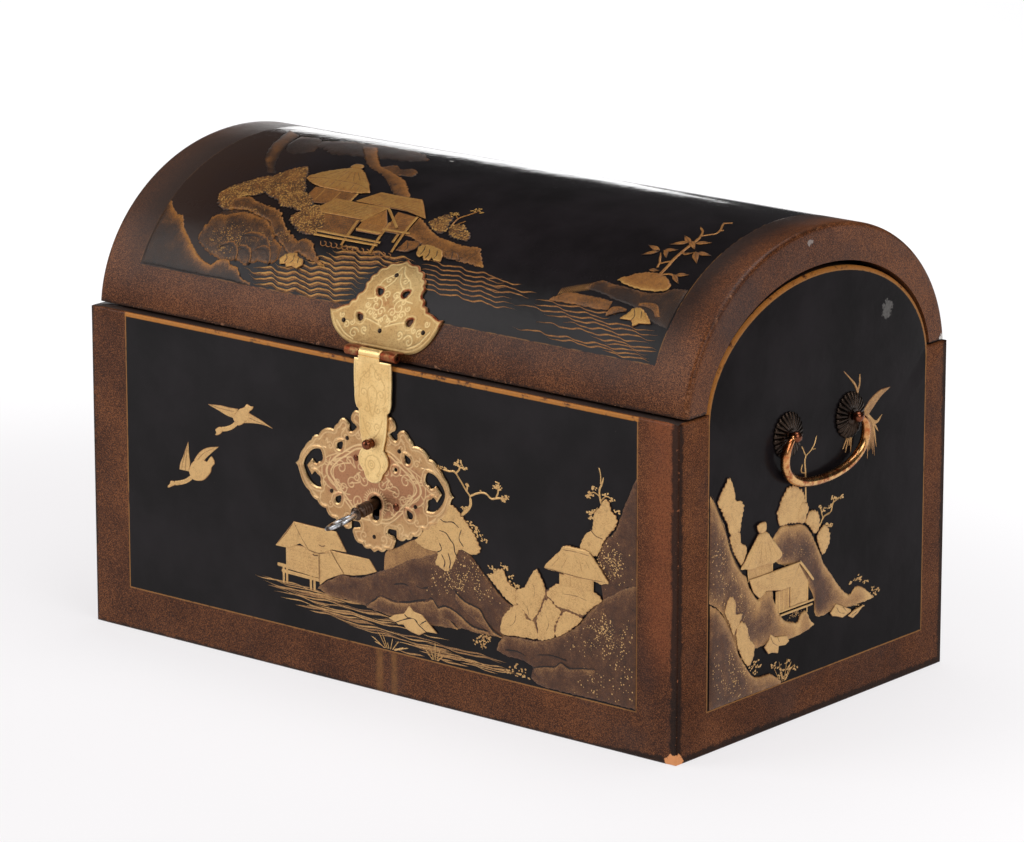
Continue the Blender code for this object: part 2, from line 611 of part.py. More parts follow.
def build_key(steel):
    """The key standing in its lock: bit, shaft with a moulded collar, and an oval ring bow."""
    aim = Matrix.Rotation(KEY_YAW, 3, "Z") @ Matrix.Rotation(KEY_DROOP, 3, "X")
    turn = aim @ Matrix.Rotation(KEY_ROLL, 3, "Y")

    def place(along, u, v):
        return KEY_PLACE + turn @ Vector((u, -along, v))

    bow_start = KEY_REACH - KEY_BOW_LENGTH
    shaft = [(-KEY_DEPTH, 0.0), (-KEY_DEPTH, KEY_SHAFT_RADIUS), (0.28 * bow_start, KEY_SHAFT_RADIUS),
             (0.32 * bow_start, KEY_COLLAR_RADIUS), (0.70 * bow_start, KEY_COLLAR_RADIUS),
             (0.74 * bow_start, KEY_SHAFT_RADIUS), (0.84 * bow_start, KEY_SHAFT_RADIUS),
             (0.90 * bow_start, KEY_COLLAR_RADIUS), (0.98 * bow_start, 0.95 * KEY_COLLAR_RADIUS),
             (bow_start + 0.4 * KEY_WIRE_RADIUS, 0.85 * KEY_SHAFT_RADIUS),
             (bow_start + 1.4 * KEY_WIRE_RADIUS, 0.0)]
    key = add("key", turned(shaft, SMALL_SIDES, place), steel)
    rings = []
    long_half = KEY_BOW_LENGTH / 2 - KEY_WIRE_RADIUS
    wide_half = KEY_BOW_WIDTH / 2 - KEY_WIRE_RADIUS
    for i in range(2 * SMALL_SIDES):
        t = math.pi * i / SMALL_SIDES
        out = Vector((wide_half * math.cos(t), long_half * math.sin(t)))
        normal = Vector((math.cos(t) / wide_half, math.sin(t) / long_half)).normalized()
        ring = []
        for k in range(6):
            a = 2 * math.pi * k / 6
            reach = KEY_WIRE_RADIUS * math.cos(a)
            centre = KEY_REACH - KEY_BOW_LENGTH / 2
            ring.append(place(centre + out.y + normal.y * reach, out.x + normal.x * reach,
                              KEY_WIRE_RADIUS * math.sin(a)))
        rings.append(ring)
    combine(key, add("key_bow", loft(rings, closed=True)), "UNION")
    half = KEY_BIT_THICKNESS / 2
    bit = box((-KEY_DEPTH, 0.0, -half), (KEY_BIT_LENGTH - KEY_DEPTH, KEY_BIT_REACH, half), lambda p: place(*p))
    combine(key, add("key_bit", bit), "UNION")


def handle_eyes():
    """The places along Y of a handle's two studs."""
    return (HANDLE_OFFSET - HANDLE_PITCH / 2, HANDLE_OFFSET + HANDLE_PITCH / 2)


def rosette(side, y):
    """A domed flower with narrow petals and a hole for its stud."""
    count = 2 * ROSETTE_PETALS
    hole = STUD_RADIUS + STUD_CLEARANCE
    shares = [0.0, 0.6, 1.0]
    foot = side * (LENGTH / 2 + JOINT_GAP)
    rings = []
    for share in shares:
        radius = hole + (ROSETTE_RADIUS - hole) * share
        height = ROSETTE_HEIGHT * math.sqrt(max(0.0, 1.0 - 0.95 * share ** 2.2))
        ring = []
        for i in range(count):
            flute = 1.0 - (0.16 if i % 2 else 0.0) * share
            a = 2 * math.pi * i / count
            reach = radius * (1.0 - (0.04 if i % 2 and share == 1.0 else 0.0))
            across = y + reach * math.cos(a)
            ring.append((foot + side * height * flute, across, HANDLE_HEIGHT + reach * math.sin(a)))
        rings.append(ring)
    for ring in (rings[-1], rings[0]):
        rings.append([(foot, p[1], p[2]) for p in ring])
    return loft(rings, closed=True)


def stud(side, y):
    """A turned stud: a shank into the board and a ball eye for the bail's end."""
    neck = 1.25 * STUD_RADIUS
    profile = [(-STUD_DEPTH, 0.0), (-STUD_DEPTH, STUD_RADIUS), (ROSETTE_HEIGHT + 2 * JOINT_GAP, STUD_RADIUS),
               (ROSETTE_HEIGHT + 2 * JOINT_GAP, neck)]
    start = math.asin(neck / BALL_RADIUS) / math.pi
    for i in range(5):
        a = math.pi * (start + (1.0 - start) * i / 5)
        profile.append((BALL_REACH - BALL_RADIUS * math.cos(a), BALL_RADIUS * math.sin(a)))
    profile.append((BALL_REACH + BALL_RADIUS, 0.0))

    def place(along, u, v):
        return (side * (LENGTH / 2 + along), y + u, HANDLE_HEIGHT + v)

    return turned(profile, SMALL_SIDES, place)


def bail_path():
    """The bail's middle line as (along Y, up), and its radius, from one ball's middle to the other's."""
    eye = HANDLE_PITCH / 2
    shoulder = BAIL_HALF_WIDTH - eye
    half = [(eye - 0.25 * BALL_RADIUS, 0.0, BAIL_PIN_RADIUS), (eye + 1.05 * BALL_RADIUS, 0.0, BAIL_PIN_RADIUS)]
    steps = 6
    for i in range(2, steps + 1):
        a = math.pi / 2 * (1 - i / steps)
        radius = BAIL_RADIUS * (0.80 + 0.20 * min(1.0, i / (steps - 1)))
        half.append((eye + shoulder * math.cos(a), BAIL_SHOULDER * (math.sin(a) - 1.0), radius))
    belly = BAIL_DROP - BAIL_SHOULDER
    for i in range(1, 10):
        a = math.pi / 2 * i / 9
        y = BAIL_HALF_WIDTH * math.cos(a) ** 0.9
        half.append((y, -BAIL_SHOULDER - belly * math.sin(a) ** 0.9, BAIL_RADIUS))
    return half + [(-y, z, radius) for y, z, radius in half[-2::-1]]


def bail(side):
    """The swinging bail, round in section, leaning to the board, its pins turned in through the ball eyes."""
    path = bail_path()
    centre = Vector((side * (LENGTH / 2 + BALL_REACH), HANDLE_OFFSET, HANDLE_HEIGHT))
    lean = Matrix.Rotation(side * BAIL_LEAN, 3, "Y")
    rings = []
    for i, (y, z, radius) in enumerate(path):
        before = path[max(0, i - 1)]
        after = path[min(len(path) - 1, i + 1)]
        heading = Vector((0.0, after[0] - before[0], after[1] - before[1])).normalized()
        across = heading.cross(Vector((1.0, 0.0, 0.0)))
        ring = []
        for k in range(SMALL_SIDES - 2):
            a = 2 * math.pi * k / (SMALL_SIDES - 2)
            offset = Vector((1.0, 0.0, 0.0)) * math.cos(a) + across * math.sin(a)
            ring.append(centre + lean @ (Vector((0.0, y, z)) + offset * radius))
        rings.append(ring)
    return loft(rings)


def build_handle(word, side, bronze, copper):
    """One end's handle."""
    pivot = empty(f"{word}_bail_pivot", (side * (LENGTH / 2 + BALL_REACH), HANDLE_OFFSET, HANDLE_HEIGHT))
    for end, (where, y) in zip((-1, 1), zip(("front", "back"), handle_eyes())):
        add(f"{word}_{where}_rosette", rosette(side, y), bronze)
        eye = add(f"{word}_{where}_stud", stud(side, y), copper)
        x = side * (LENGTH / 2 + BALL_REACH)
        bore = rod((x, y - end * (0.25 * BALL_RADIUS + STUD_CLEARANCE), HANDLE_HEIGHT),
                   (x, y + end * 2 * BALL_RADIUS, HANDLE_HEIGHT), BAIL_PIN_RADIUS + STUD_CLEARANCE, SMALL_SIDES)
        combine(eye, add(f"{word}_{where}_eye_bore", bore), "DIFFERENCE")
    hang(add(f"{word}_bail", bail(side), copper), pivot)


def build_hinge(word, x, pivot, gilt):
    """One hinge on the back: a leaf on the lid, a leaf on the case, and their pin."""
    centre = LID_PIVOT + Vector((x, 0.0, 0.0))
    reach = BARREL_RADIUS + SWING_CLEARANCE
    outline = leaf_outline(HINGE_HALF_WIDTH, reach, HINGE_LEAF_HEIGHT, LOBE_STEPS - 1)
    rows = [reach + HINGE_LEAF_HEIGHT * i / 4 for i in range(1, 4)]
    arc_end = float(lid_arc()[0][-1])
    start = LID_PIVOT.z - LID_BOTTOM

    def lid_place(u, v, w):
        return lid_face(x + u, arc_end - start - v, JOINT_GAP + w)

    def case_place(u, v, w):
        return Vector((x + u, DEPTH / 2 + JOINT_GAP + w, LID_PIVOT.z - v))

    lid_leaf = add(f"{word}_hinge_lid_leaf", sheet(outline, [], SHEET, lid_place, rows), gilt)
    case_leaf = add(f"{word}_hinge_case_leaf", sheet(outline, [], SHEET, case_place), gilt)
    middle = lid_face(0.0, arc_end - start - reach, JOINT_GAP + SHEET / 2)
    tab = ((middle.y, centre.z + BORE_RADIUS), (centre.y - BARREL_RADIUS / 3, middle.z + SHEET))
    knuckle = barrel(f"{word}_lid_knuckle", x - HINGE_KNUCKLE_HALF, x + HINGE_KNUCKLE_HALF, centre, tab)
    combine(lid_leaf, knuckle, "UNION")
    case_y = DEPTH / 2 + JOINT_GAP
    tab = ((case_y, centre.z - reach - SHEET), (case_y + SHEET, centre.z - BORE_RADIUS))
    inner = HINGE_KNUCKLE_HALF + KNUCKLE_GAP
    for number, side in enumerate((-1, 1)):
        low, high = sorted((x + side * inner, x + side * HINGE_BARREL_HALF))
        combine(case_leaf, barrel(f"{word}_case_knuckle_{number}", low, high, centre, tab), "UNION")
    for leaf in (lid_leaf, case_leaf):
        combine(leaf, pin_bore(leaf.name + "_bore", HINGE_BARREL_HALF, centre), "DIFFERENCE")
    hang(lid_leaf, pivot)
    along = Vector((HINGE_BARREL_HALF, 0.0, 0.0))
    add(f"{word}_hinge_pin", rod(centre - along, centre + along, PIN_RADIUS, SMALL_SIDES), gilt)


def build():
    """The whole coffer."""
    clear_scene()
    lacquer = finish("lacquer", (0.030, 0.022, 0.020), 0.22, 0.0)
    wood = finish("lacquered_base", (0.060, 0.030, 0.018), 0.45, 0.0)
    gilt = finish("gilt_copper", (0.68, 0.45, 0.20), 0.32, 1.0)
    copper = finish("copper", (0.34, 0.13, 0.06), 0.30, 1.0)
    bronze = finish("dark_bronze", (0.040, 0.030, 0.026), 0.40, 1.0)
    steel = finish("key_steel", (0.10, 0.085, 0.075), 0.38, 1.0)
    lid_pivot = empty("lid_pivot", LID_PIVOT)
    hasp_pivot = empty("hasp_pivot", HASP_PIVOT)
    build_case(lacquer, wood)
    build_lid(lid_pivot, lacquer)
    build_hasp_leaf(lid_pivot, gilt)
    build_hasp(hasp_pivot, gilt, copper)
    build_lock_plate(gilt)
    build_key(steel)
    for word, side in (("left", -1), ("right", 1)):
        build_handle(word, side, bronze, copper)
        build_hinge(word, side * HINGE_SPACING / 2, lid_pivot, gilt)


build()
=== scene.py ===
"""Looks of a lacquer coffer with a vaulted lid: sprinkled lacquer, gold pictures, chased mounts, studio.

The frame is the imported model's: metres, X along the front, -Y to the front, +Z up. Pictures and mounts are
drawn in millimetres on a face, u across, v up and w proud of it, and the face puts them in place.
"""

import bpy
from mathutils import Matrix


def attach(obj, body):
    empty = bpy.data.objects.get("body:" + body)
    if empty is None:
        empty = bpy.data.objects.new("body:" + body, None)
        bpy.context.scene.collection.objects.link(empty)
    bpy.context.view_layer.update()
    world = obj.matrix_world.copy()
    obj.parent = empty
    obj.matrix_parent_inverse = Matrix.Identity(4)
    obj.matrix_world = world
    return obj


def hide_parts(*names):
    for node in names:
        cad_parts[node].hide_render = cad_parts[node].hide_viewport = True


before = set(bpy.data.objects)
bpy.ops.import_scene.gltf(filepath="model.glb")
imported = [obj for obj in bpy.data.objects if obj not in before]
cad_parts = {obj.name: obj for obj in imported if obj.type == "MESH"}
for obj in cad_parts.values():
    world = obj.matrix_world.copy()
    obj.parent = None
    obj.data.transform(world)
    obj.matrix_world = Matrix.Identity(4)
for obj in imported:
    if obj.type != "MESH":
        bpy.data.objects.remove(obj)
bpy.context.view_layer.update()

import logging
import math
from collections.abc import Callable, Sequence
from dataclasses import dataclass
from enum import Enum

import bmesh
import bpy
import numpy as np
from mathutils import Matrix, Vector
from mathutils.geometry import delaunay_2d_cdt

log = logging.getLogger("coffer")
MM = 0.001
Array = np.ndarray
Knots = Sequence[tuple[float, float]]
Chase = Callable[[Array, Array, Array], tuple[Array, Array]]


class Body(Enum):
    """The bodies that pieces ride on."""
    CASE = "root"
    LID = "lid"
    HASP = "hasp"
    RIGHT_BAIL = "right_bail"
    LEFT_BAIL = "left_bail"


class Slot(Enum):
    """The record's material slots."""
    LACQUER = "lacquer"
    GILT = "gilt_copper"
    COPPER = "copper"
    BRONZE = "dark_bronze"
    STEEL = "key_steel"


@dataclass(frozen=True)
class Sizes:
    """The coffer's main sizes in millimetres, as in the part's source."""
    half_length: float = 270.0
    half_depth: float = 154.8
    case_height: float = 238.8
    wall: float = 13.0
    end_wall: float = 14.0
    floor: float = 10.0
    edge: float = 1.8
    gap: float = 0.3
    lid_middle: float = 230.7
    lid_spring: float = 9.7
    lid_end: float = 269.8
    lid_edge: float = 3.3
    rib: float = 18.0
    plate_height: float = 150.8
    handle_height: float = 207.3
    handle_offset: float = 2.0
    handle_pitch: float = 71.5


SIZES = Sizes()


def linear(red: int, green: int, blue: int) -> tuple[float, float, float, float]:
    """A colour as the eye reads it, 0 to 255, turned into the linear light that shaders use.

    Args:
        red: the red.
        green: the green.
        blue: the blue.

    Returns:
        Red, green, blue and an alpha of 1.
    """
    share = np.array((red, green, blue)) / 255
    light = np.where(share < 0.04045, share / 12.92, ((share + 0.055) / 1.055) ** 2.4)
    return (*(float(value) for value in light), 1.0)


def spline(knots: Knots, count: int, closed: bool = False) -> Array:
    """Points on a smooth curve through knots: cubic pieces whose slopes follow the neighbours' chords.

    Args:
        knots: the points to pass through.
        count: how many points to give, evenly in the knots' number.
        closed: whether the curve runs back to its first knot.

    Returns:
        An array of count points.
    """
    k = np.asarray(knots, float)
    if closed:
        k = np.vstack([k[-1:], k, k[:2]])
    else:
        k = np.vstack([2 * k[:1] - k[1:2], k, 2 * k[-1:] - k[-2:-1]])
    pieces = len(k) - 3
    t = np.linspace(0, pieces, count, endpoint=not closed)
    i = np.minimum(t.astype(int), pieces - 1)
    f = (t - i)[:, None]
    a, b, c, d = k[i], k[i + 1], k[i + 2], k[i + 3]
    return b + 0.5 * f * (c - a + f * (2 * a - 5 * b + 4 * c - d + f * (3 * b - a - 3 * c + d)))


def straight(knots: Knots, count: int) -> Array:
    """Points spaced evenly by length along straight lines between knots.

    Args:
        knots: the corners.
        count: how many points to give.

    Returns:
        An array of count points.
    """
    k = np.asarray(knots, float)
    run = np.concatenate([[0.0], np.cumsum(np.hypot(*np.diff(k, axis=0).T))])
    where = np.linspace(0, run[-1], count)
    return np.column_stack([np.interp(where, run, k[:, 0]), np.interp(where, run, k[:, 1])])


def inside(places: Array, outline: Array) -> Array:
    """Which places an outline holds: a line to the right of each crosses the outline an odd number of times.

    Args:
        places: the points to test.
        outline: the corners of a closed outline.

    Returns:
        True or false for each place.
    """
    x, y = places[:, :1], places[:, 1:]
    ax, ay = outline.T
    bx, by = np.roll(outline, -1, axis=0).T
    rise = np.where(ay == by, 1e-9, by - ay)
    crossed = ((ay > y) != (by > y)) & (x < ax + (y - ay) * (bx - ax) / rise)
    return crossed.sum(axis=1) % 2 == 1


def mottle(u: Array, v: Array, size: float, seed: int = 0) -> Array:
    """A smooth blotchy value between about -1 and 1: a sum of waves that cross at odd angles.

    Args:
        u: places across, in millimetres.
        v: places up.
        size: the width of a blotch.
        seed: picks another pattern.

    Returns:
        The value at each place.
    """
    turns = np.array((0.3, 1.4, 2.5, 3.9, 5.0)) + seed
    waves = np.array((1.0, 1.31, 0.77, 1.73, 2.1)) * 2 * math.pi / size
    total = sum(np.sin((u * math.cos(a) + v * math.sin(a)) * k + 7 * a) for a, k in zip(turns, waves))
    return total / 3


def quads(rows: int, columns: int, loop: bool = False, flip: bool = False, start: int = 0) -> Array:
    """The four-cornered faces of a grid of points, row by row.

    Args:
        rows: rows of points.
        columns: points in a row.
        loop: whether each row closes on itself.
        flip: turns the faces over.
        start: the number of the first point.

    Returns:
        An array with four point numbers for each face.
    """
    r = np.arange(rows - 1)[:, None]
    c = np.arange(columns if loop else columns - 1)[None, :]
    after = (c + 1) % columns
    corners = [r * columns + c, r * columns + after, (r + 1) * columns + after, (r + 1) * columns + c]
    faces = np.stack(np.broadcast_arrays(*corners), -1).reshape(-1, 4) + start
    return faces[:, ::-1] if flip else faces


def make(name: str, points: Array, faces: list, finishes: Sequence[bpy.types.Material], body: Body,
         slot: Slot, replaces: Sequence[str] = (), marks: Array | None = None,
         values: dict[str, Array] | None = None, sharp: float = 40.0) -> bpy.types.Object:
    """Makes a piece from points and faces, in place, and lets it ride on its body.

    Args:
        name: the piece's name.
        points: its points in metres.
        faces: its faces, lists of point numbers.
        finishes: its materials.
        body: the body that it moves with.
        slot: the record's slot that its finish belongs to; not used.
        replaces: the CAD nodes that it stands for.
        marks: the number of each face's material.
        values: named values at the points, for the materials.
        sharp: faces that meet at more degrees than this have a hard edge.

    Returns:
        The piece.
    """
    mesh = bpy.data.meshes.new(name)
    mesh.from_pydata(points.tolist(), [], [list(map(int, face)) for face in faces])
    for key, numbers in (values or {}).items():
        mesh.attributes.new(key, "FLOAT", "POINT").data.foreach_set("value", numbers.astype(np.float32))
    if marks is not None:
        mesh.polygons.foreach_set("material_index", marks.astype(np.int32))
    for finish in finishes:
        mesh.materials.append(finish)
    weld(mesh)
    mesh.shade_smooth()
    mesh.set_sharp_from_angle(angle=math.radians(sharp))
    piece = bpy.data.objects.new(name, mesh)
    bpy.context.scene.collection.objects.link(piece)
    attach(piece, body.value)
    if replaces:
        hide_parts(*replaces)
    log.info("%s: %d faces on %s", name, len(mesh.polygons), body.value)
    return piece


def weld(mesh: bpy.types.Mesh) -> None:
    """Merges points that share a place, which closes poles and seams, and drops faces without area.

    Args:
        mesh: the mesh, which is changed.
    """
    work = bmesh.new()
    work.from_mesh(mesh)
    bmesh.ops.remove_doubles(work, verts=work.verts, dist=1e-7)
    bmesh.ops.dissolve_degenerate(work, edges=work.edges, dist=1e-8)
    work.to_mesh(mesh)
    work.free()


class Face:
    """A face of the coffer that drawings in millimetres are laid on."""

    def place(self, u: Array, v: Array, w: Array) -> Array:
        """Points in metres for places across, up and proud of the face, in millimetres."""
        raise NotImplementedError


@dataclass(frozen=True)
class FlatFace(Face):
    """A flat face: an origin in millimetres and the directions of u, v and w."""
    origin: tuple[float, float, float]
    across: tuple[float, float, float]
    out: tuple[float, float, float]
    up: tuple[float, float, float] = (0.0, 0.0, 1.0)

    def place(self, u: Array, v: Array, w: Array) -> Array:
        """The origin plus u, v and w steps along the face's own directions.

        Args:
            u: places across, in millimetres.
            v: places up.
            w: places out.

        Returns:
            The points in metres.
        """
        u, v, w = (np.ravel(a)[:, None] for a in np.broadcast_arrays(u, v, w))
        frame_rows = np.array((self.across, self.up, self.out))
        return MM * (np.array(self.origin) + u * frame_rows[0] + v * frame_rows[1] + w * frame_rows[2])


@dataclass(frozen=True)
class Ellipse:
    """A curve of the lid's section in millimetres, from its foot in front to its foot at the back."""
    front: float
    back: float
    rise: float

    def angle(self, share: Array) -> Array:
        """The angle at a share of the way from foot to foot."""
        foot = math.asin(SIZES.lid_spring / self.rise)
        return foot + (math.pi - 2 * foot) * share

    def point(self, share: Array, trim: Array = 0.0) -> tuple[Array, Array]:
        """The y and z at a share of the way, on the curve made smaller by trim.

        Args:
            share: from 0 at the front foot to 1 at the back foot.
            trim: how much smaller the curve is.

        Returns:
            The y and the z.
        """
        t = self.angle(share)
        half = (self.back - self.front) / 2 - trim
        middle = (self.front + self.back) / 2
        return middle - half * np.cos(t), SIZES.lid_middle + (self.rise - trim) * np.sin(t)


OUTER = Ellipse(-146.4, 151.8, 117.6)
SOFFIT = Ellipse(-134.4, 139.8, 105.6)
RIB_SOFFIT = Ellipse(-124.8, 133.4, 89.5)
TONGUE = Ellipse(-124.0, 131.2, 86.1)


class LidFace(Face):
    """The lid's outer skin: u along X, v the length of arc from its front edge."""

    def __init__(self) -> None:
        """Measures the arc at many small steps."""
        self.share = np.linspace(0.0, 1.0, 2001)
        y, z = OUTER.point(self.share)
        self.arc = np.concatenate([[0.0], np.cumsum(np.hypot(np.diff(y), np.diff(z)))])

    def sink(self, v: Array) -> Array:
        """How far the skin lies below the ellipse near the crest, to leave room for the raised picture."""
        return 0.9 * np.exp(-((v - self.arc[-1] / 2) / 75.0) ** 2)

    def place(self, u: Array, v: Array, w: Array) -> Array:
        """The point on the ellipse at arc length v, sunk at the crest and moved w along the ellipse's normal.

        Args:
            u: places across, in millimetres.
            v: arc lengths from the front edge.
            w: places out.

        Returns:
            The points in metres.
        """
        u, v, w = (np.ravel(a) for a in np.broadcast_arrays(u, v, w))
        share = np.interp(v, self.arc, self.share)
        y, z = OUTER.point(share)
        t = OUTER.angle(share)
        half = (OUTER.back - OUTER.front) / 2
        normal = np.array((-np.cos(t) / half, np.sin(t) / OUTER.rise))
        normal /= np.hypot(*normal)
        below = np.minimum(v, 0.0)
        return MM * np.column_stack([u, y + normal[0] * w, z + normal[1] * w + below - self.sink(v)])


FRONT = FlatFace((0.0, -SIZES.half_depth, 0.0), (1.0, 0.0, 0.0), (0.0, -1.0, 0.0))
BACK = FlatFace((0.0, SIZES.half_depth, 0.0), (-1.0, 0.0, 0.0), (0.0, 1.0, 0.0))
RIGHT = FlatFace((SIZES.half_length, 0.0, 0.0), (0.0, 1.0, 0.0), (1.0, 0.0, 0.0))
LEFT = FlatFace((-SIZES.half_length, 0.0, 0.0), (0.0, -1.0, 0.0), (-1.0, 0.0, 0.0))
LID = LidFace()


class Term:
    """A number or colour that the shader works out at each point, and that sums can be written with."""

    def __init__(self, wiring: "Wiring", socket: bpy.types.NodeSocket) -> None:
        """Keeps the socket that gives it."""
        self.wiring, self.socket = wiring, socket

    def __add__(self, other: "Term | float") -> "Term":
        """This plus the other."""
        return self.wiring.math("ADD", self, other)

    def __sub__(self, other: "Term | float") -> "Term":
        """This less the other."""
        return self.wiring.math("SUBTRACT", self, other)

    def __rsub__(self, other: float) -> "Term":
        """A plain number less this."""
        return self.wiring.math("SUBTRACT", other, self)

    def __mul__(self, other: "Term | float") -> "Term":
        """This times the other."""
        return self.wiring.math("MULTIPLY", self, other)

    def __truediv__(self, other: "Term | float") -> "Term":
        """This over the other."""
        return self.wiring.math("DIVIDE", self, other)

    def __pow__(self, other: "Term | float") -> "Term":
        """This to the power of the other."""
        return self.wiring.math("POWER", self, other)

    def __abs__(self) -> "Term":
        """This without its sign."""
        return self.wiring.math("ABSOLUTE", self)


Amount = Term | float
Shade = Term | tuple


class Wiring:
    """A material's nodes and short ways to add to them; x, y and z are the object's place in millimetres."""

    def __init__(self, name: str) -> None:
        """Starts a material with one principled shader.

        Args:
            name: the material's name.
        """
        self.material = bpy.data.materials.new(name)
        self.material.use_nodes = True
        self.tree = self.material.node_tree
        self.shader = self.tree.nodes["Principled BSDF"]
        scaled = self.node("ShaderNodeVectorMath", operation="SCALE")
        self.plug(scaled.inputs[0], Term(self, self.node("ShaderNodeTexCoord").outputs["Object"]))
        self.plug(scaled.inputs["Scale"], 1 / MM)
        self.place = Term(self, scaled.outputs[0])
        parts = self.node("ShaderNodeSeparateXYZ")
        self.plug(parts.inputs[0], self.place)
        self.x, self.y, self.z = (Term(self, socket) for socket in parts.outputs)

    def node(self, kind: str, **settings: object) -> bpy.types.Node:
        """A new node.

        Args:
            kind: its type.
            settings: values for its own settings.

        Returns:
            The node.
        """
        made = self.tree.nodes.new(kind)
        for key, value in settings.items():
            setattr(made, key, value)
        return made

    def plug(self, socket: bpy.types.NodeSocket, value: Amount | Shade) -> None:
        """Links a socket to a term, or sets its plain value.

        Args:
            socket: the input.
            value: what goes in.
        """
        if isinstance(value, Term):
            self.tree.links.new(value.socket, socket)
        else:
            socket.default_value = value

    def set(self, **inputs: Amount | Shade) -> None:
        """Plugs the shader's inputs, their names written with _ for a space."""
        for key, value in inputs.items():
            self.plug(self.shader.inputs[key.replace("_", " ")], value)

    def math(self, operation: str, *values: Amount) -> Term:
        """One sum.

        Args:
            operation: the math node's operation.
            values: one to three terms or numbers.

        Returns:
            The result.
        """
        made = self.node("ShaderNodeMath", operation=operation)
        for socket, value in zip(made.inputs, values):
            self.plug(socket, value)
        return Term(self, made.outputs[0])

    def most(self, first: Amount, second: Amount) -> Term:
        """The greater of two."""
        return self.math("MAXIMUM", first, second)

    def least(self, first: Amount, second: Amount) -> Term:
        """The smaller of two."""
        return self.math("MINIMUM", first, second)

    def mix(self, share: Amount, first: Shade, second: Shade) -> Term:
        """A blend of two colours.

        Args:
            share: how much of the second, from 0 to 1.
            first: the colour at 0.
            second: the colour at 1.

        Returns:
            The colour.
        """
        made = self.node("ShaderNodeMix", data_type="RGBA")
        for number, value in ((0, share), (6, first), (7, second)):
            self.plug(made.inputs[number], value)
        return Term(self, made.outputs[2])

    def step(self, value: Amount, low: float, high: float) -> Term:
        """Rises smoothly from 0 at low to 1 at high, or falls where low is above high.

        Args:
            value: the number that decides.
            low: where the result is 0.
            high: where the result is 1.

        Returns:
            The number from 0 to 1.
        """
        made = self.node("ShaderNodeMapRange", interpolation_type="SMOOTHSTEP")
        ends = (min(low, high), max(low, high), float(low > high), float(low <= high))
        for number, part in enumerate((value, *ends)):
            self.plug(made.inputs[number], part)
        return Term(self, made.outputs[0])

    def ramp(self, share: Amount, *stops: tuple[float, tuple]) -> Term:
        """A colour that runs through stops.

        Args:
            share: where on the run.
            stops: pairs of a place from 0 to 1 and its colour.

        Returns:
            The colour.
        """
        made = self.node("ShaderNodeValToRGB")
        band = made.color_ramp
        while len(band.elements) < len(stops):
            band.elements.new(0.5)
        for element, (position, colour) in zip(band.elements, stops):
            element.position = position
            element.color = colour
        self.plug(made.inputs[0], share)
        return Term(self, made.outputs[0])

    def noise(self, scale: float, detail: float = 3.0, roughness: float = 0.55) -> Term:
        """Cloudy noise from 0 to 1.

        Args:
            scale: blotches to a millimetre.
            detail: how many finer layers lie on it.
            roughness: how strong the finer layers are.

        Returns:
            The number.
        """
        made = self.node("ShaderNodeTexNoise")
        settings = {"Vector": self.place, "Scale": scale, "Detail": detail, "Roughness": roughness}
        for key, value in settings.items():
            self.plug(made.inputs[key], value)
        return Term(self, made.outputs["Fac"])

    def grains(self, scale: float) -> Term:
        """A random value for each grain of a cell pattern.

        Args:
            scale: grains to a millimetre.

        Returns:
            The number from 0 to 1.
        """
        made = self.node("ShaderNodeTexVoronoi")
        self.plug(made.inputs["Vector"], self.place)
        self.plug(made.inputs["Scale"], scale)
        split = self.node("ShaderNodeSeparateColor")
        self.plug(split.inputs[0], Term(self, made.outputs["Color"]))
        return Term(self, split.outputs[0])

    def apart(self, centre: tuple[float, float, float]) -> Term:
        """The distance in millimetres from a centre.

        Args:
            centre: the other place, in millimetres.

        Returns:
            The distance.
        """
        made = self.node("ShaderNodeVectorMath", operation="DISTANCE")
        self.plug(made.inputs[0], self.place)
        self.plug(made.inputs[1], centre)
        return Term(self, made.outputs["Value"])

    def bump(self, height: Amount, distance: float) -> None:
        """Bends the shader's normal.

        Args:
            height: the relief's height.
            distance: how many millimetres a height of 1 is.
        """
        made = self.node("ShaderNodeBump")
        self.plug(made.inputs["Height"], height)
        self.plug(made.inputs["Distance"], distance * MM)
        self.plug(made.inputs["Strength"], 1.0)
        self.plug(self.shader.inputs["Normal"], Term(self, made.outputs[0]))

    def value(self, name: str) -> Term:
        """A named value of the mesh."""
        return Term(self, self.node("ShaderNodeAttribute", attribute_name=name).outputs["Fac"])


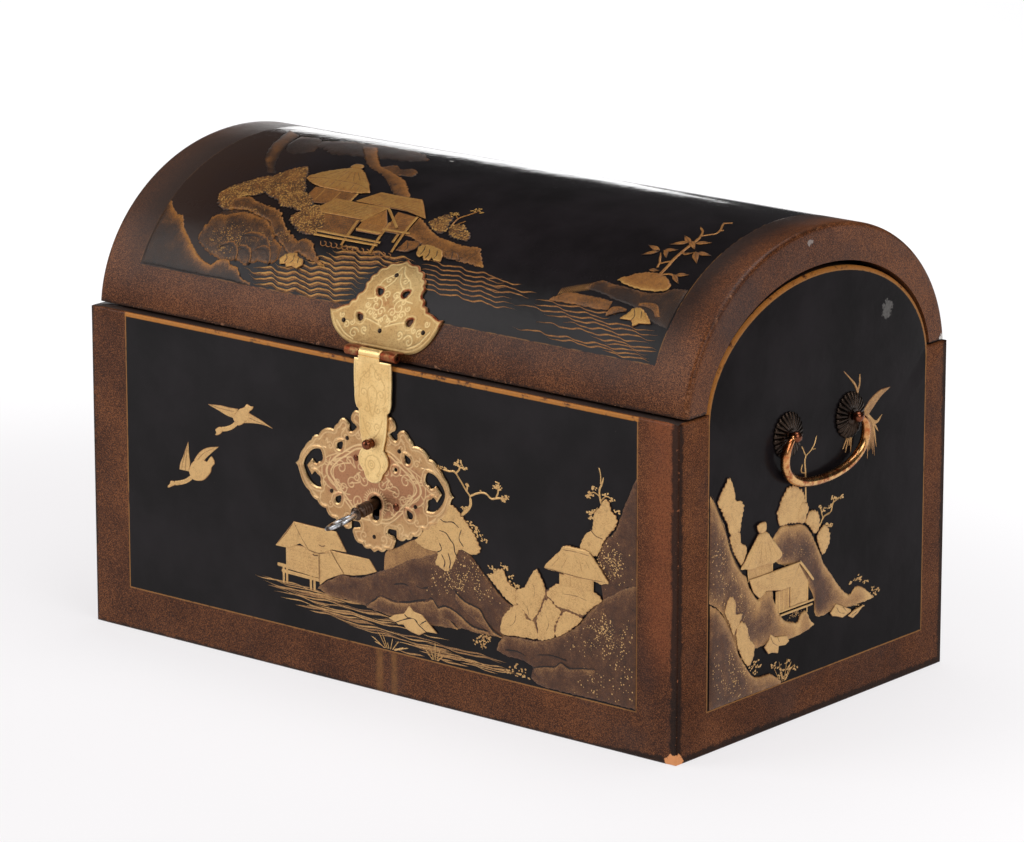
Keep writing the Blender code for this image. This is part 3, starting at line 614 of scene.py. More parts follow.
@dataclass(frozen=True)
class Lacquer:
    """The outside: sprinkled brown borders round black panels, each panel edged by a thin gold line.

    A panel is where the distance out of its edge, in millimetres, is below 0.
    """
    ground: tuple = linear(38, 18, 10)
    middle: tuple = linear(78, 43, 25)
    grain: tuple = linear(140, 86, 50)
    pale: tuple = linear(205, 200, 195)
    black: tuple = linear(19, 16, 17)
    gold: tuple = linear(150, 104, 58)
    orange: tuple = linear(196, 122, 44)
    worn: tuple = linear(26, 18, 15)
    wood: tuple = linear(222, 150, 98)
    line: float = 0.55
    name: str = "case_lacquer"
    specular: float = 0.12
    long_half: float = 235.2
    long_middle: float = 134.2
    long_rise: float = 102.0
    end_middle: float = 3.8
    end_half: float = 124.8
    end_foot: float = 30.6
    end_arch: float = 82.9
    lid_half: float = 236.3
    lid_middle: float = 200.5
    lid_reach: float = 168.6
    lid_arc: float = 401.0

    def sprinkled(self, w: Wiring) -> Term:
        """Fine copper grains in brown lacquer, denser in clouds.

        Args:
            w: the material's wiring.

        Returns:
            The colour.
        """
        amount = w.grains(2.2) * 0.5 + w.noise(1.3, 2, 0.7) * 0.55 + w.noise(0.014, 5, 0.6) * 0.6
        colour = w.ramp(w.step(amount, 0.42, 1.25), (0.0, self.ground), (0.5, self.middle), (1.0, self.grain))
        greying = w.step(w.noise(0.012), 0.5, 0.72)
        return w.mix(greying * 0.4, colour, linear(58, 46, 44))

    def black_panel(self, w: Wiring) -> Term:
        """Black lacquer, clouded a little, with a few pale specks.

        Args:
            w: the material's wiring.

        Returns:
            The colour.
        """
        base = w.mix(w.step(w.noise(0.02, 4), 0.3, 0.75), self.black, linear(30, 26, 28))
        speck = w.step(w.noise(0.33, 2, 0.4), 0.78, 0.84)
        return w.mix(speck * 0.22, base, linear(110, 100, 95))

    def finish(self, w: Wiring, colour: Term, panel: Term, gloss: Amount = 0.14) -> bpy.types.Material:
        """Sets the shader: the panels are glossier than the borders.

        Args:
            w: the material's wiring.
            colour: the lacquer's colour.
            panel: 1 on a panel and 0 on a border.
            gloss: how much less rough a panel is.

        Returns:
            The material.
        """
        rough = w.noise(0.15) * 0.08 - panel * gloss
        w.set(Base_Color=colour, Roughness=rough + 0.30, Specular_IOR_Level=self.specular)
        skin = w.noise(1.2) * (1.1 - panel)
        w.bump(skin + w.noise(0.03, 4, 0.6) * 5.0, 0.12)
        return w.material

    def case_edges(self, w: Wiring) -> tuple[Term, Term]:
        """How far a place lies outside its board's panel, oblong on the front and back and arched on an end.

        Args:
            w: the material's wiring.

        Returns:
            The distance, and 1 on the ends and 0 elsewhere.
        """
        wide = abs(w.x)
        long_edge = w.most(wide - self.long_half, abs(w.z - self.long_middle) - self.long_rise)
        across = abs(w.y - self.end_middle)
        low = w.most(across - self.end_half, self.end_foot - w.z)
        up = (w.z - SIZES.lid_middle) / self.end_arch
        ring = w.math("SQRT", (across / self.end_half) ** 2.0 + w.most(up, 0.0) ** 2.0)
        arched = (ring - 1.0) * 95.0
        high = w.step(w.z, SIZES.lid_middle - 0.1, SIZES.lid_middle + 0.1)
        end = w.step(wide, SIZES.half_length - 1.1, SIZES.half_length - 0.9)
        return long_edge * (1.0 - end) + (low * (1.0 - high) + arched * high) * end, end

    def case(self) -> bpy.types.Material:
        """The boards: panels in borders, with gold along the rim of the front and the arch of each tongue.

        Returns:
            The material.
        """
        w = Wiring(self.name)
        edge, end = self.case_edges(w)
        ragged = edge + (w.noise(0.5, 2) - 0.5) * 0.35
        panel = w.step(ragged, 0.05, -0.05)
        colour = w.mix(panel, self.sprinkled(w), self.black_panel(w))
        line = w.step(abs(ragged - 0.2), self.line, self.line - 0.12) * w.step(w.noise(0.12), 0.25, 0.45)
        colour = w.mix(line * 0.85, colour, self.gold)
        rim = w.step(w.z, 235.2, 235.8) * w.step(abs(w.x), 237.0, 235.0) * w.step(w.y, -153.5, -154.3)
        tongue = w.step(w.z, 239.2, 239.8) * w.step(edge, 0.3, 0.8)
        gilded = w.most(rim, tongue) * w.step(w.noise(0.09, 4, 0.7), 0.34, 0.46)
        leaf = w.mix(w.noise(0.4), self.gold, self.orange)
        colour = w.mix(gilded * (0.9 - end * 0.35), colour, leaf)
        return self.finish(w, self.wear_and_painted_light(w, colour), panel)

    def wear_and_painted_light(self, w: Wiring, colour: Term) -> Term:
        """Dark rubbed arrises with paler nicks, a painted highlight on the front's right border that is
        partly rubbed lacquer, two runs below the plate and bare wood at the chipped corner.

        Args:
            w: the material's wiring.
            colour: the lacquer's colour.

        Returns:
            The worn colour.
        """
        to_end = w.most(SIZES.half_length - abs(w.x), 0.0)
        to_face = w.most(SIZES.half_depth - abs(w.y), 0.0)
        arris = w.least(to_end + to_face, w.z + w.least(to_end, to_face))
        on_front = w.step(w.y, -153.0, -154.0)
        # Painted highlight: low down on the front's right border the lacquer turns lighter and redder where
        # more light falls; it is also rubbed there.
        rubbed = w.step(w.x, 232.0, 258.0) * w.step(w.z, 40.0, 110.0) * on_front * w.noise(0.03, 4)
        colour = w.mix(rubbed * (w.grains(1.4) * 0.9 + 0.35), colour, linear(142, 78, 46))
        rough = arris + (w.noise(0.16, 4, 0.7) - 0.5) * 7.0 - w.step(w.x, 200.0, 260.0) * 3.0
        colour = w.mix(w.step(rough, 3.6, 1.0) * 0.85, colour, self.worn)
        nick = w.step(arris, 2.2, 1.0) * w.step(w.noise(0.35, 3, 0.7), 0.62, 0.68)
        colour = w.mix(nick * 0.8, colour, linear(150, 92, 60))
        for left, right in ((2.5, 8.5), (16.5, 21.5)):
            run = w.step(w.x, left - 2, left + 2) * w.step(w.x, right + 2, right - 2)
            run = run * w.step(w.z, 33.0, 30.0) * on_front * w.noise(0.2)
            colour = w.mix(run * 0.6, colour, linear(158, 110, 60))
        scuff = self.spot(w, (270.0, 81.0, 274.0), 6.0, 18.0) * w.noise(0.3, 4, 0.7)
        colour = w.mix(scuff * 0.3, colour, self.pale)
        return w.mix(self.spot(w, (268.0, -154.0, 1.0), 7.4, 9.0), colour, self.wood)

    def spot(self, w: Wiring, centre: tuple[float, float, float], radius: float, ragged: float) -> Term:
        """A chip or a scuff.

        Args:
            w: the material's wiring.
            centre: its middle.
            radius: its reach.
            ragged: how far its edge wanders.

        Returns:
            1 in it and 0 outside.
        """
        near = w.apart(centre) + w.noise(0.25, 4, 0.7) * ragged
        return w.step(near, radius + ragged / 2 + 0.5, radius + ragged / 2 - 0.5)

    def lid(self) -> bpy.types.Material:
        """The lid's skin: one black panel wrapped over the vault inside a sprinkled border, worn and faded,
        with painted reflection and highlights.

        Returns:
            The material.
        """
        w = Wiring("lid_lacquer")
        wide = abs(w.x)
        arc = w.value("arc")
        edge = w.most(wide - self.lid_half, abs(arc - self.lid_middle) - self.lid_reach)
        ragged = edge + (w.noise(0.5, 2) - 0.5) * 0.4
        panel = w.step(ragged, 0.05, -0.05)
        colour = w.mix(panel, self.sprinkled(w), self.black_panel(w))
        line = w.step(abs(ragged), 0.5, 0.35) * w.step(w.noise(0.1), 0.4, 0.6)
        colour = w.mix(line * 0.5, colour, self.gold)
        faded = w.step(w.x + w.noise(0.02, 4) * 90.0, -60.0, -200.0) * panel
        colour = w.mix(faded * 0.75, colour, linear(52, 37, 30))
        arris = w.least(w.least(arc, self.lid_arc - arc), SIZES.lid_end - wide + w.value("depth"))
        rough = arris + (w.noise(0.16, 4, 0.7) - 0.5) * 6.0
        colour = w.mix(w.step(rough, 2.4, 0.6) * 0.7, colour, self.worn)
        nick = w.step(arris, 3.4, 1.6) * w.step(w.noise(0.3, 3, 0.7), 0.60, 0.66)
        colour = w.mix(nick * 0.8, colour, linear(150, 104, 76))
        by_panel = w.step(wide, 267.0, 240.0) * w.step(w.z, 245.0, 320.0) * (1.0 - panel)
        colour = w.mix(by_panel * 0.88, colour, linear(36, 29, 27))
        # Painted reflection: a grey sheen painted on the left end's upper border, and faintly on the panel
        # there.
        greying = w.step(w.x, -200.0, -255.0) * (1.0 - panel * 0.7) * w.step(w.z, 262.0, 315.0)
        colour = w.mix(greying * 0.7, colour, linear(60, 50, 46))
        # The first two spots are chips on the lid's end and near its rear foot; the last two, on the crest,
        # are painted highlights: pale reflection specks.
        for centre, radius, share in (((269.8, -10.0, 338.0), 2.5, 0.3), ((269.8, 148.0, 242.0), 2.5, 0.9),
                                      ((-150.0, 10.0, 347.5), 1.5, 0.5), ((-60.0, 4.0, 347.5), 1.2, 0.6)):
            colour = w.mix(self.spot(w, centre, radius, 9.0) * share, colour, self.pale)
        return self.finish(w, colour, panel, w.step(arc, 60.0, 150.0) * 0.21 + 0.02)


@dataclass(frozen=True)
class PlainLacquer:
    """The plain lacquer inside and underneath."""
    name: str = "inner_lacquer"
    low: tuple = linear(26, 20, 19)
    high: tuple = linear(48, 34, 28)
    roughness: float = 0.42

    def material(self) -> bpy.types.Material:
        """Dark lacquer with brushed clouds.

        Returns:
            The material.
        """
        w = Wiring(self.name)
        cloud = w.noise(0.02, 5) + w.noise(0.6, 2) * 0.3
        w.set(Base_Color=w.mix(w.step(cloud, 0.4, 0.9), self.low, self.high), Specular_IOR_Level=0.35,
              Roughness=cloud * 0.15 + (self.roughness - 0.08))
        w.bump(w.noise(0.5, 4), 0.15)
        return w.material


@dataclass(frozen=True)
class Gold:
    """Raised lacquer with gold powder on it, from brown where the mesh's gold is 0 to full gold at 1."""
    name: str
    full: tuple
    half: tuple
    brown: tuple
    dark: tuple = linear(24, 18, 17)

    def material(self) -> bpy.types.Material:
        """Gold by the mesh's own value, broken up by powder and rubbing.

        Returns:
            The material.
        """
        w = Wiring(self.name)
        gold = w.value("gold")
        share = gold + (w.grains(2.4) - 0.5) * (gold * 0.24 + 0.12) + (w.noise(0.09, 6, 0.75) - 0.5) * 0.62
        colour = w.ramp(share, (0.0, self.dark), (0.28, self.brown), (0.60, self.half), (0.95, self.full))
        stain = w.step(w.noise(0.22, 5, 0.75), 0.52, 0.78)
        w.set(Base_Color=w.mix(stain * 0.45, colour, self.brown), Metallic=w.step(share, 0.35, 0.9) * 0.5,
              Specular_IOR_Level=0.25, Roughness=w.noise(0.3) * 0.16 + 0.32)
        w.bump(w.grains(2.6) + w.noise(0.9, 2), 0.07)
        return w.material


@dataclass(frozen=True)
class Metal:
    """A worked metal: two tones mixed in clouds, a dark tone for hollows, rubbed edges and bare copper."""
    name: str
    main: tuple
    other: tuple
    hollow: tuple
    rubbed: tuple
    bare: tuple = linear(140, 84, 62)
    line: tuple | None = None
    roughness: float = 0.30
    metallic: float = 1.0
    punched: float = 0.10
    stain: float = 0.35

    def material(self) -> bpy.types.Material:
        """Tone by cloud, and hollows, rubbing and bare copper by the mesh's groove, rub and bare values.

        Returns:
            The material.
        """
        w = Wiring(self.name)
        fine = w.noise(0.7, 3, 0.6)
        colour = w.mix(w.step(w.noise(0.045, 4, 0.6), 0.35, 0.65), self.main, self.other)
        ragged = w.value("bare") + (w.noise(0.25, 4, 0.7) - 0.5) * 0.9
        colour = w.mix(w.step(ragged, 0.35, 0.75), colour, self.bare)
        colour = w.mix(w.step(fine, 0.5, 0.75) * self.stain, colour, self.hollow)
        colour = w.mix(w.value("groove") * 0.8, colour, self.line or self.hollow)
        colour = w.mix(w.value("rub") * w.step(w.noise(0.2, 3, 0.7), 0.35, 0.6), colour, self.rubbed)
        w.set(Base_Color=colour, Metallic=self.metallic, Roughness=fine * 0.22 + (self.roughness - 0.08))
        w.bump(w.grains(1.5) * 0.5 + fine, self.punched)
        return w.material


class Finishes:
    """Every material of the coffer, made once."""

    def __init__(self) -> None:
        """Makes the materials."""
        lacquer = Lacquer()
        self.case = lacquer.case()
        self.end = Lacquer(name="end_lacquer", specular=0.04).case()
        self.lid = lacquer.lid()
        self.inside = PlainLacquer().material()
        self.base = PlainLacquer("base_lacquer", low=linear(44, 27, 20), high=linear(84, 52, 36),
                                 roughness=0.6).material()
        self.gold = Gold("gold_picture", full=linear(217, 176, 118), half=linear(176, 131, 82),
                         brown=linear(90, 56, 36)).material()
        self.dull_gold = Gold("lid_picture", full=linear(172, 132, 72), half=linear(140, 90, 42),
                              brown=linear(50, 31, 19)).material()
        self.leaf = Metal("gilt_leaf", main=linear(172, 144, 98), other=linear(154, 122, 78),
                          hollow=linear(90, 62, 40), rubbed=linear(196, 168, 116), bare=linear(128, 58, 36),
                          line=linear(214, 190, 140), roughness=0.46).material()
        self.gilt = Metal("gilt_strap", main=linear(244, 210, 148), other=linear(226, 188, 126),
                          hollow=linear(132, 96, 60), rubbed=linear(246, 220, 164), bare=linear(134, 70, 48),
                          line=linear(196, 156, 100), roughness=0.42).material()
        self.rose = Metal("gilt_plate", main=linear(200, 160, 112), other=linear(180, 136, 92),
                          hollow=linear(84, 54, 40), rubbed=linear(236, 204, 150), bare=linear(174, 124, 90),
                          line=linear(238, 204, 154), roughness=0.34).material()
        self.copper = Metal("bail_copper", main=linear(172, 100, 58), other=linear(146, 82, 48),
                            hollow=linear(84, 50, 32), rubbed=linear(222, 176, 116), roughness=0.22,
                            punched=0.01, stain=0.1).material()
        self.red = Metal("red_copper", main=linear(120, 70, 48), other=linear(98, 54, 38),
                         hollow=linear(52, 30, 24), rubbed=linear(186, 106, 66), roughness=0.24,
                         punched=0.04).material()
        self.bronze = Metal("dark_bronze", main=linear(62, 50, 42), other=linear(42, 34, 30),
                            hollow=linear(14, 11, 10), rubbed=linear(98, 78, 60), roughness=0.26).material()
        self.steel = Metal("key_steel", main=linear(84, 68, 58), other=linear(60, 48, 42),
                           hollow=linear(24, 19, 17), rubbed=linear(206, 208, 212)).material()


@dataclass
class Board:
    """A mitred board of the case, seen from outside: u across, v up, its outer face at w = 0.

    Its points lie on rings round a centre: a hollow for the lock if it has one, the outer face, the rounded
    edge, the mitre and the inner face. The edge is a quarter turn, or half of one where two boards meet.
    """
    name: str
    face: Face
    half: float
    mitre: float
    thickness: float
    centre: tuple[float, float]
    tongue: bool = False
    chamber: float = 0.0
    chamber_depth: float = 9.1
    face_steps: int = 4
    edge_steps: int = 4

    def outline(self) -> tuple[Array, Array, Array]:
        """The outline anticlockwise from the bottom left corner.

        Returns:
            The points, the directions out of the board at them, and how far the edge turns there.
        """
        top = SIZES.case_height
        corners = [(-self.half, 0.0), (self.half, 0.0), (self.half, top), (-self.half, top)]
        counts = (56, 40, 56, 40)
        sides = []
        for start, end, count in zip(corners, corners[1:] + corners[:1], counts):
            share = np.linspace(0, 1, count, endpoint=False)
            sides.append(np.outer(1 - share, start) + np.outer(share, end))
        ways = ((0.0, -1.0), (1.0, 0.0), (0.0, 1.0), (-1.0, 0.0))
        outs = [np.tile(way, (len(side), 1)) for way, side in zip(ways, sides)]
        turns = [np.full(len(s), a) for s, a in zip(sides, (math.pi / 2, math.pi / 4) * 2)]
        for before, after in zip(range(4), (1, 2, 3, 0)):
            outs[after][0] += outs[before][-1]
            turns[after][0] = math.pi / 4
        if self.tongue:
            share = np.linspace(1.0, 0.0, 121)
            y, z = TONGUE.point(share)
            sign = 1.0 if self.face is RIGHT else -1.0
            arch = np.column_stack([y * sign, z])[::int(sign)]
            way = np.gradient(arch, axis=0)
            out = np.column_stack([way[:, 1], -way[:, 0]])
            out /= np.hypot(*out.T)[:, None]
            ends = np.array([[arch[0, 0], top], [arch[-1, 0], top]])
            steps = np.linspace(0, 1, 6, endpoint=False)[:, None]
            rest = np.vstack([sides[2][0] * (1 - steps) + ends[0] * steps, ends[:1], arch, ends[1:],
                              (ends[1] * (1 - steps) + np.array(corners[3]) * steps)[1:]])
            rest_out = np.vstack([np.tile((0.0, 1.0), (6, 1)), [[1.0, 1.0]], out, [[-1.0, 1.0]],
                                  np.tile((0.0, 1.0), (5, 1))])
            rest_out[0] = (1.0, 1.0)
            sides[2], outs[2] = rest, rest_out
            turns[2] = np.full(len(rest), math.pi / 2)
            turns[2][0] = math.pi / 4
        return np.vstack(sides), np.vstack(outs), np.concatenate(turns)

    def build(self, finishes: Finishes, replaces: str) -> bpy.types.Object:
        """Makes the board.

        Args:
            finishes: the coffer's materials.
            replaces: the CAD node that it stands for.

        Returns:
            The board.
        """
        line, out, turn = self.outline()
        centre = np.array(self.centre)
        rings = []
        if self.chamber:
            aim = line - centre
            aim /= np.hypot(*aim.T)[:, None]
            bore = centre + aim * self.chamber
            rings += [(np.tile(centre, (len(line), 1)), -self.chamber_depth), (bore, -self.chamber_depth),
                      (bore, 0.0)]
        else:
            bore = np.tile(centre, (len(line), 1))
            rings.append((bore, 0.0))
        radius = SIZES.edge
        for share in np.linspace(0, 1, self.face_steps)[1:]:
            rings.append((bore * (1 - share) + (line - out * radius) * share, 0.0))
        for share in np.linspace(0, 1, self.edge_steps + 1)[1:]:
            a = (turn * share)[:, None]
            rings.append((line - out * radius * (1 - np.sin(a)), -radius * (1 - np.cos(a[:, 0]))))
        limit = self.half - self.mitre
        inner = np.column_stack([np.clip(line[:, 0], -limit, limit), line[:, 1]])
        rings += [(inner, -self.thickness), (np.tile((0.0, 120.0), (len(line), 1)), -self.thickness)]
        u = np.array([ring[:, 0] for ring, _ in rings])
        v = np.array([ring[:, 1] for ring, _ in rings])
        w = np.array([np.broadcast_to(deep, len(line)) for _, deep in rings])
        faces = quads(len(rings), len(line), loop=True, flip=True)
        marks = (np.arange(len(faces)) // len(line) >= len(rings) - 3).astype(int)
        skin = finishes.end if self.tongue else finishes.case
        return make(self.name, self.face.place(u, v, w), faces.tolist(), [skin, finishes.inside],
                    Body.CASE, Slot.LACQUER, [replaces], marks)


class Case:
    """The four boards of the case and its floor."""

    def build(self, finishes: Finishes) -> None:
        """Makes the boards and finishes the floor.

        Args:
            finishes: the coffer's materials.
        """
        key = (3.8, 138.0)
        middle = (0.0, 119.0)
        long_half = SIZES.half_length
        Board("case_front", FRONT, long_half, SIZES.end_wall, SIZES.wall, key,
              chamber=9.6).build(finishes, "front_board")
        Board("case_back", BACK, long_half, SIZES.end_wall, SIZES.wall, middle).build(finishes, "back_board")
        ends = (("case_right_end", RIGHT, "right_end_board"), ("case_left_end", LEFT, "left_end_board"))
        for name, face, node in ends:
            Board(name, face, SIZES.half_depth, SIZES.wall, SIZES.end_wall, middle,
                  tongue=True).build(finishes, node)
        dress("bottom_board", finishes.base)


def dress(node: str, finish: bpy.types.Material) -> None:
    """Gives a CAD node its finish.

    Args:
        node: the node's name.
        finish: its material.
    """
    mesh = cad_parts[node].data
    mesh.materials.clear()
    mesh.materials.append(finish)


class Vault:
    """The lid: an open vault with an arch rib in each end, as one lacquered shell.

    A closed profile runs along X over the skin and back along the soffits, and is carried round the section.
    """

    def profile(self) -> tuple[Array, Array, Array]:
        """The profile as x, the depth below the skin from 0 to 1 and the trim of the rounded edge.

        Returns:
            The three arrays, a value for each point of the profile.
        """
        end, edge = SIZES.lid_end, SIZES.lid_edge
        turn = np.linspace(0, math.pi / 2, 7)
        across = np.linspace(-(end - edge), end - edge, 110)[1:-1]
        x = np.concatenate([across, (end - edge) + edge * np.sin(turn)])
        trim = np.concatenate([np.zeros(len(across)), edge * (1 - np.cos(turn))])
        left = (-(end - edge) - edge * np.sin(turn))[::-1]
        under_x = np.array([end, end, end - SIZES.rib, end - SIZES.rib, end - SIZES.rib, -end + SIZES.rib,
                            -end + SIZES.rib, -end + SIZES.rib, -end, -end])
        under = np.array([0.5, 2.0, 2.0, 1.5, 1.0, 1.0, 1.5, 2.0, 2.0, 0.5])
        xs = np.concatenate([x, under_x, left])
        deep = np.concatenate([np.zeros(len(x)), under, np.zeros(len(left))])
        return xs, deep, np.concatenate([trim, np.zeros(len(under)), (edge * (1 - np.cos(turn)))[::-1]])

    def build(self, finishes: Finishes) -> None:
        """Makes the shell: the soffits are blends of the three ellipses at the same share of the way.

        Args:
            finishes: the coffer's materials.
        """
        xs, deep, trim = self.profile()
        rows = 181
        share = np.linspace(0, 1, rows)[:, None]
        outer = OUTER.point(share, trim[None, :])
        soffit = SOFFIT.point(share)
        rib = RIB_SOFFIT.point(share)
        first = np.clip(deep, 0, 1)
        second = np.clip(deep - 1, 0, 1)
        half_way = [near * (1 - first) + far * first for near, far in zip(outer, soffit)]
        y, z = (near * (1 - second) + far * second for near, far in zip(half_way, rib))
        arc = np.interp(np.broadcast_to(share, y.shape), LID.share, LID.arc)
        from_rim = np.minimum(arc, LID.arc[-1] - arc)
        inward = np.clip((262 - np.abs(xs)) / 30, 0, 1) * np.clip(from_rim / 12, 0, 1)
        wave = 0.05 * (mottle(xs[None, :], arc, 85.0, 2) - 1) * inward
        z = z + (wave - LID.sink(arc)) * (deep == 0)
        x = np.broadcast_to(xs, y.shape)
        points = MM * np.stack([x, y, z], -1).reshape(-1, 3)
        faces = quads(rows, len(xs), loop=True).tolist()
        inside = np.tile(((deep > 0.6) & (np.abs(xs) < 269.0)).astype(int), rows - 1)
        last = (rows - 1) * len(xs)
        faces += [list(range(len(xs)))[::-1], list(range(last, last + len(xs)))]
        depth = np.where(deep > 0, deep * 14, trim)
        make("lid_shell", points, faces, [finishes.lid, finishes.inside], Body.LID, Slot.LACQUER,
             ["lid_vault", "left_lid_rib", "right_lid_rib"], np.append(inside, [0, 0]),
             {"arc": arc.ravel(), "depth": np.broadcast_to(depth, y.shape).ravel()})


class Relief:
    """Raised lacquer gathered patch by patch on a face, in millimetres, with its share of gold."""

    def __init__(self, seed: int) -> None:
        """Starts empty, with its own run of random numbers.

        Args:
            seed: the start of its random numbers.
        """
        self.parts: list[Array] = []
        self.faces: list[list[int]] = []
        self.count = 0
        self.random = np.random.default_rng(seed)

    def add(self, u: Array, v: Array, w: Array, gold: Array, loop: bool = False, flip: bool = False) -> None:
        """Adds a grid patch.

        Args:
            u: places across, in millimetres.
            v: places up.
            w: places out.
            gold: its gold.
            loop: whether each row closes on itself.
            flip: turns the faces over.
        """
        u, v, w, gold = np.broadcast_arrays(u, v, w, gold)
        self.faces += quads(*u.shape, loop=loop, flip=flip, start=self.count).tolist()
        self.parts.append(np.stack([u, v, w, gold], -1).reshape(-1, 4))
        self.count += u.size

    def band(self, upper: Knots, lower: Knots, height: float = 0.6,
             gold: tuple[float, float, float] = (0.5, 0.2, 0.3), base: float = 0.0, fade: float = 5.0,
             sharp: bool = False, ragged: float = 0.0) -> Array:
        """A form ruled between an upper and a lower edge, both from left to right, its rims rolled down.

        Args:
            upper: knots of the upper edge.
            lower: knots of the lower edge.
            height: how far its middle stands proud.
            gold: the gold at its upper edge, in the middle and at its lower edge.
            base: how high it starts.
            fade: how far the rim's gold reaches into the form.
            sharp: whether the edges are straight between knots.
            ragged: how far its edges wander.

        Returns:
            Its outline, for dots that stay on it.
        """
        run = straight if sharp else spline
        columns = 24 if sharp else 10 * max(len(upper), len(lower))
        a, b = run(upper, columns), run(lower, columns)
        if ragged:
            a = a + ragged * np.column_stack([mottle(*a.T, 7.0, 1), mottle(*a.T, 4.5, 2)])
            b = b + ragged * np.column_stack([mottle(*b.T, 7.0, 3), mottle(*b.T, 4.5, 4)])
        share = ((1 - np.cos(np.linspace(0, math.pi, 17))) / 2)[:, None]
        u = b[:, 0] * (1 - share) + a[:, 0] * share
        v = b[:, 1] * (1 - share) + a[:, 1] * share
        along = np.linspace(-1, 1, columns)[None, :]
        width = np.hypot(a[:, 0] - b[:, 0], a[:, 1] - b[:, 1])[None, :]
        rise = (1 - (2 * share - 1) ** 8) ** 0.5 * (1 - along ** 16) ** 0.5 * np.minimum(1.0, width / 3)
        w = base - 0.08 + (height + 0.08) * rise * (1 + 0.15 * mottle(u, v, 14.0, 3))
        near, far = (1 - share) * width, share * width
        tone = gold[1] + (gold[0] - gold[1]) * np.exp(-near / fade)
        tone = tone + (gold[2] - gold[1]) * np.exp(-far / fade * 1.6)
        self.add(u, v, w, tone * (1 - 0.6 * np.exp(-(near / 0.4) ** 2)))
        return np.vstack([a, b[::-1]])

    def blob(self, outline: Knots, height: float = 0.6, gold: tuple[float, float] = (0.9, 0.8),
             base: float = 0.0, ragged: float = 0.0, sharp: bool = False, leaf: float = 3.6) -> None:
        """A form inside a closed outline, anticlockwise, flat on top, with a dark line round its foot.

        Args:
            outline: knots of the outline.
            height: how far it stands proud.
            gold: the gold in its middle and near its edge.
            base: how high it starts.
            ragged: how deep the scallops of a leafy edge are.
            sharp: whether the outline is straight between knots.
            leaf: the width of a scallop.
        """
        count = 12 * len(outline)
        edge = spline(outline, count, closed=True)
        if sharp:
            edge = straight([*outline, outline[0]], count + 1)[:-1]
        middle = edge.mean(axis=0)
        away = edge - middle
        reach = np.hypot(*away.T)
        if ragged:
            run = np.concatenate([[0.0], np.cumsum(np.hypot(*np.diff(edge, axis=0).T))])
            lobes = max(3, round(run[-1] / leaf))
            wave = np.abs(np.sin(math.pi * lobes * run / run[-1] + self.random.uniform(0, 3)))
            wave = wave + 0.6 * mottle(*edge.T, 6.0, 7) - 0.5
            edge = edge + away / reach[:, None] * (ragged * wave)[:, None]
            reach = reach + ragged * wave
        inset = np.array((1e9, 0.7, 0.4, 2.2, 1.2, 0.6, 0.25, 0.0))[:, None]
        share = np.clip(1 - inset / reach, 0, 1)
        share[1], share[2] = share[3] * 0.35, share[3] * 0.7
        u = middle[0] + (edge[:, 0] - middle[0]) * share
        v = middle[1] + (edge[:, 1] - middle[1]) * share
        deep = reach * (1 - share)
        w = base - 0.08 + (height * (1 + 0.08 * mottle(u, v, 8.0, 5)) + 0.08) * (1 - np.exp(-deep / 0.45))
        tone = gold[0] + (gold[1] - gold[0]) * np.exp(-deep / 2.0) + 0.05 * mottle(u, v, 5.0, 6)
        self.add(u, v, w, tone * (1 - 0.75 * np.exp(-(deep / 0.35) ** 2)), loop=True, flip=True)

    def stroke(self, path: Knots, width: float = 0.8, height: float = 0.25, gold: float = 0.85,
               base: float = 0.0, taper: tuple[float, float] = (0.25, 0.25), sharp: bool = False,
               count: int = 0, swell: float = 0.0) -> None:
        """A raised line along a path, three points wide.

        Args:
            path: its knots.
            width: its width.
            height: how far it stands proud.
            gold: its gold.
            base: how high it starts.
            taper: the share of its width at its two ends.
            sharp: whether it is straight between knots.
            count: points along it, or 0 for eight to a knot.
            swell: the share by which its width swings along it.
        """
        count = count or 8 * len(path)
        line = (straight if sharp else spline)(path, count)
        way = np.gradient(line, axis=0)
        side = np.column_stack([-way[:, 1], way[:, 0]]) / np.maximum(np.hypot(*way.T), 1e-9)[:, None]
        s = np.linspace(0, 1, count)
        narrow = np.minimum(1.0, np.minimum(taper[0] + s * 5, taper[1] + (1 - s) * 5))
        narrow = narrow * (1 + swell * way[:, 1] / np.maximum(np.abs(way[:, 1]).max(), 1e-9))
        across = np.array((-0.5, 0.0, 0.5))[:, None] * (width * narrow)[None, :]
        u = line[:, 0] + side[:, 0] * across
        v = line[:, 1] + side[:, 1] * across
        w = base + np.array((-0.04, height, -0.04))[:, None] * np.ones(count)
        self.add(u, v, w, gold)

    def seams(self, base: float, *paths: Knots, width: float = 0.9, gold: float = 0.0) -> None:
        """Dark lines where forms meet."""
        for path in paths:
            self.stroke(path, width, 0.10, gold, base, (0.5, 0.5))

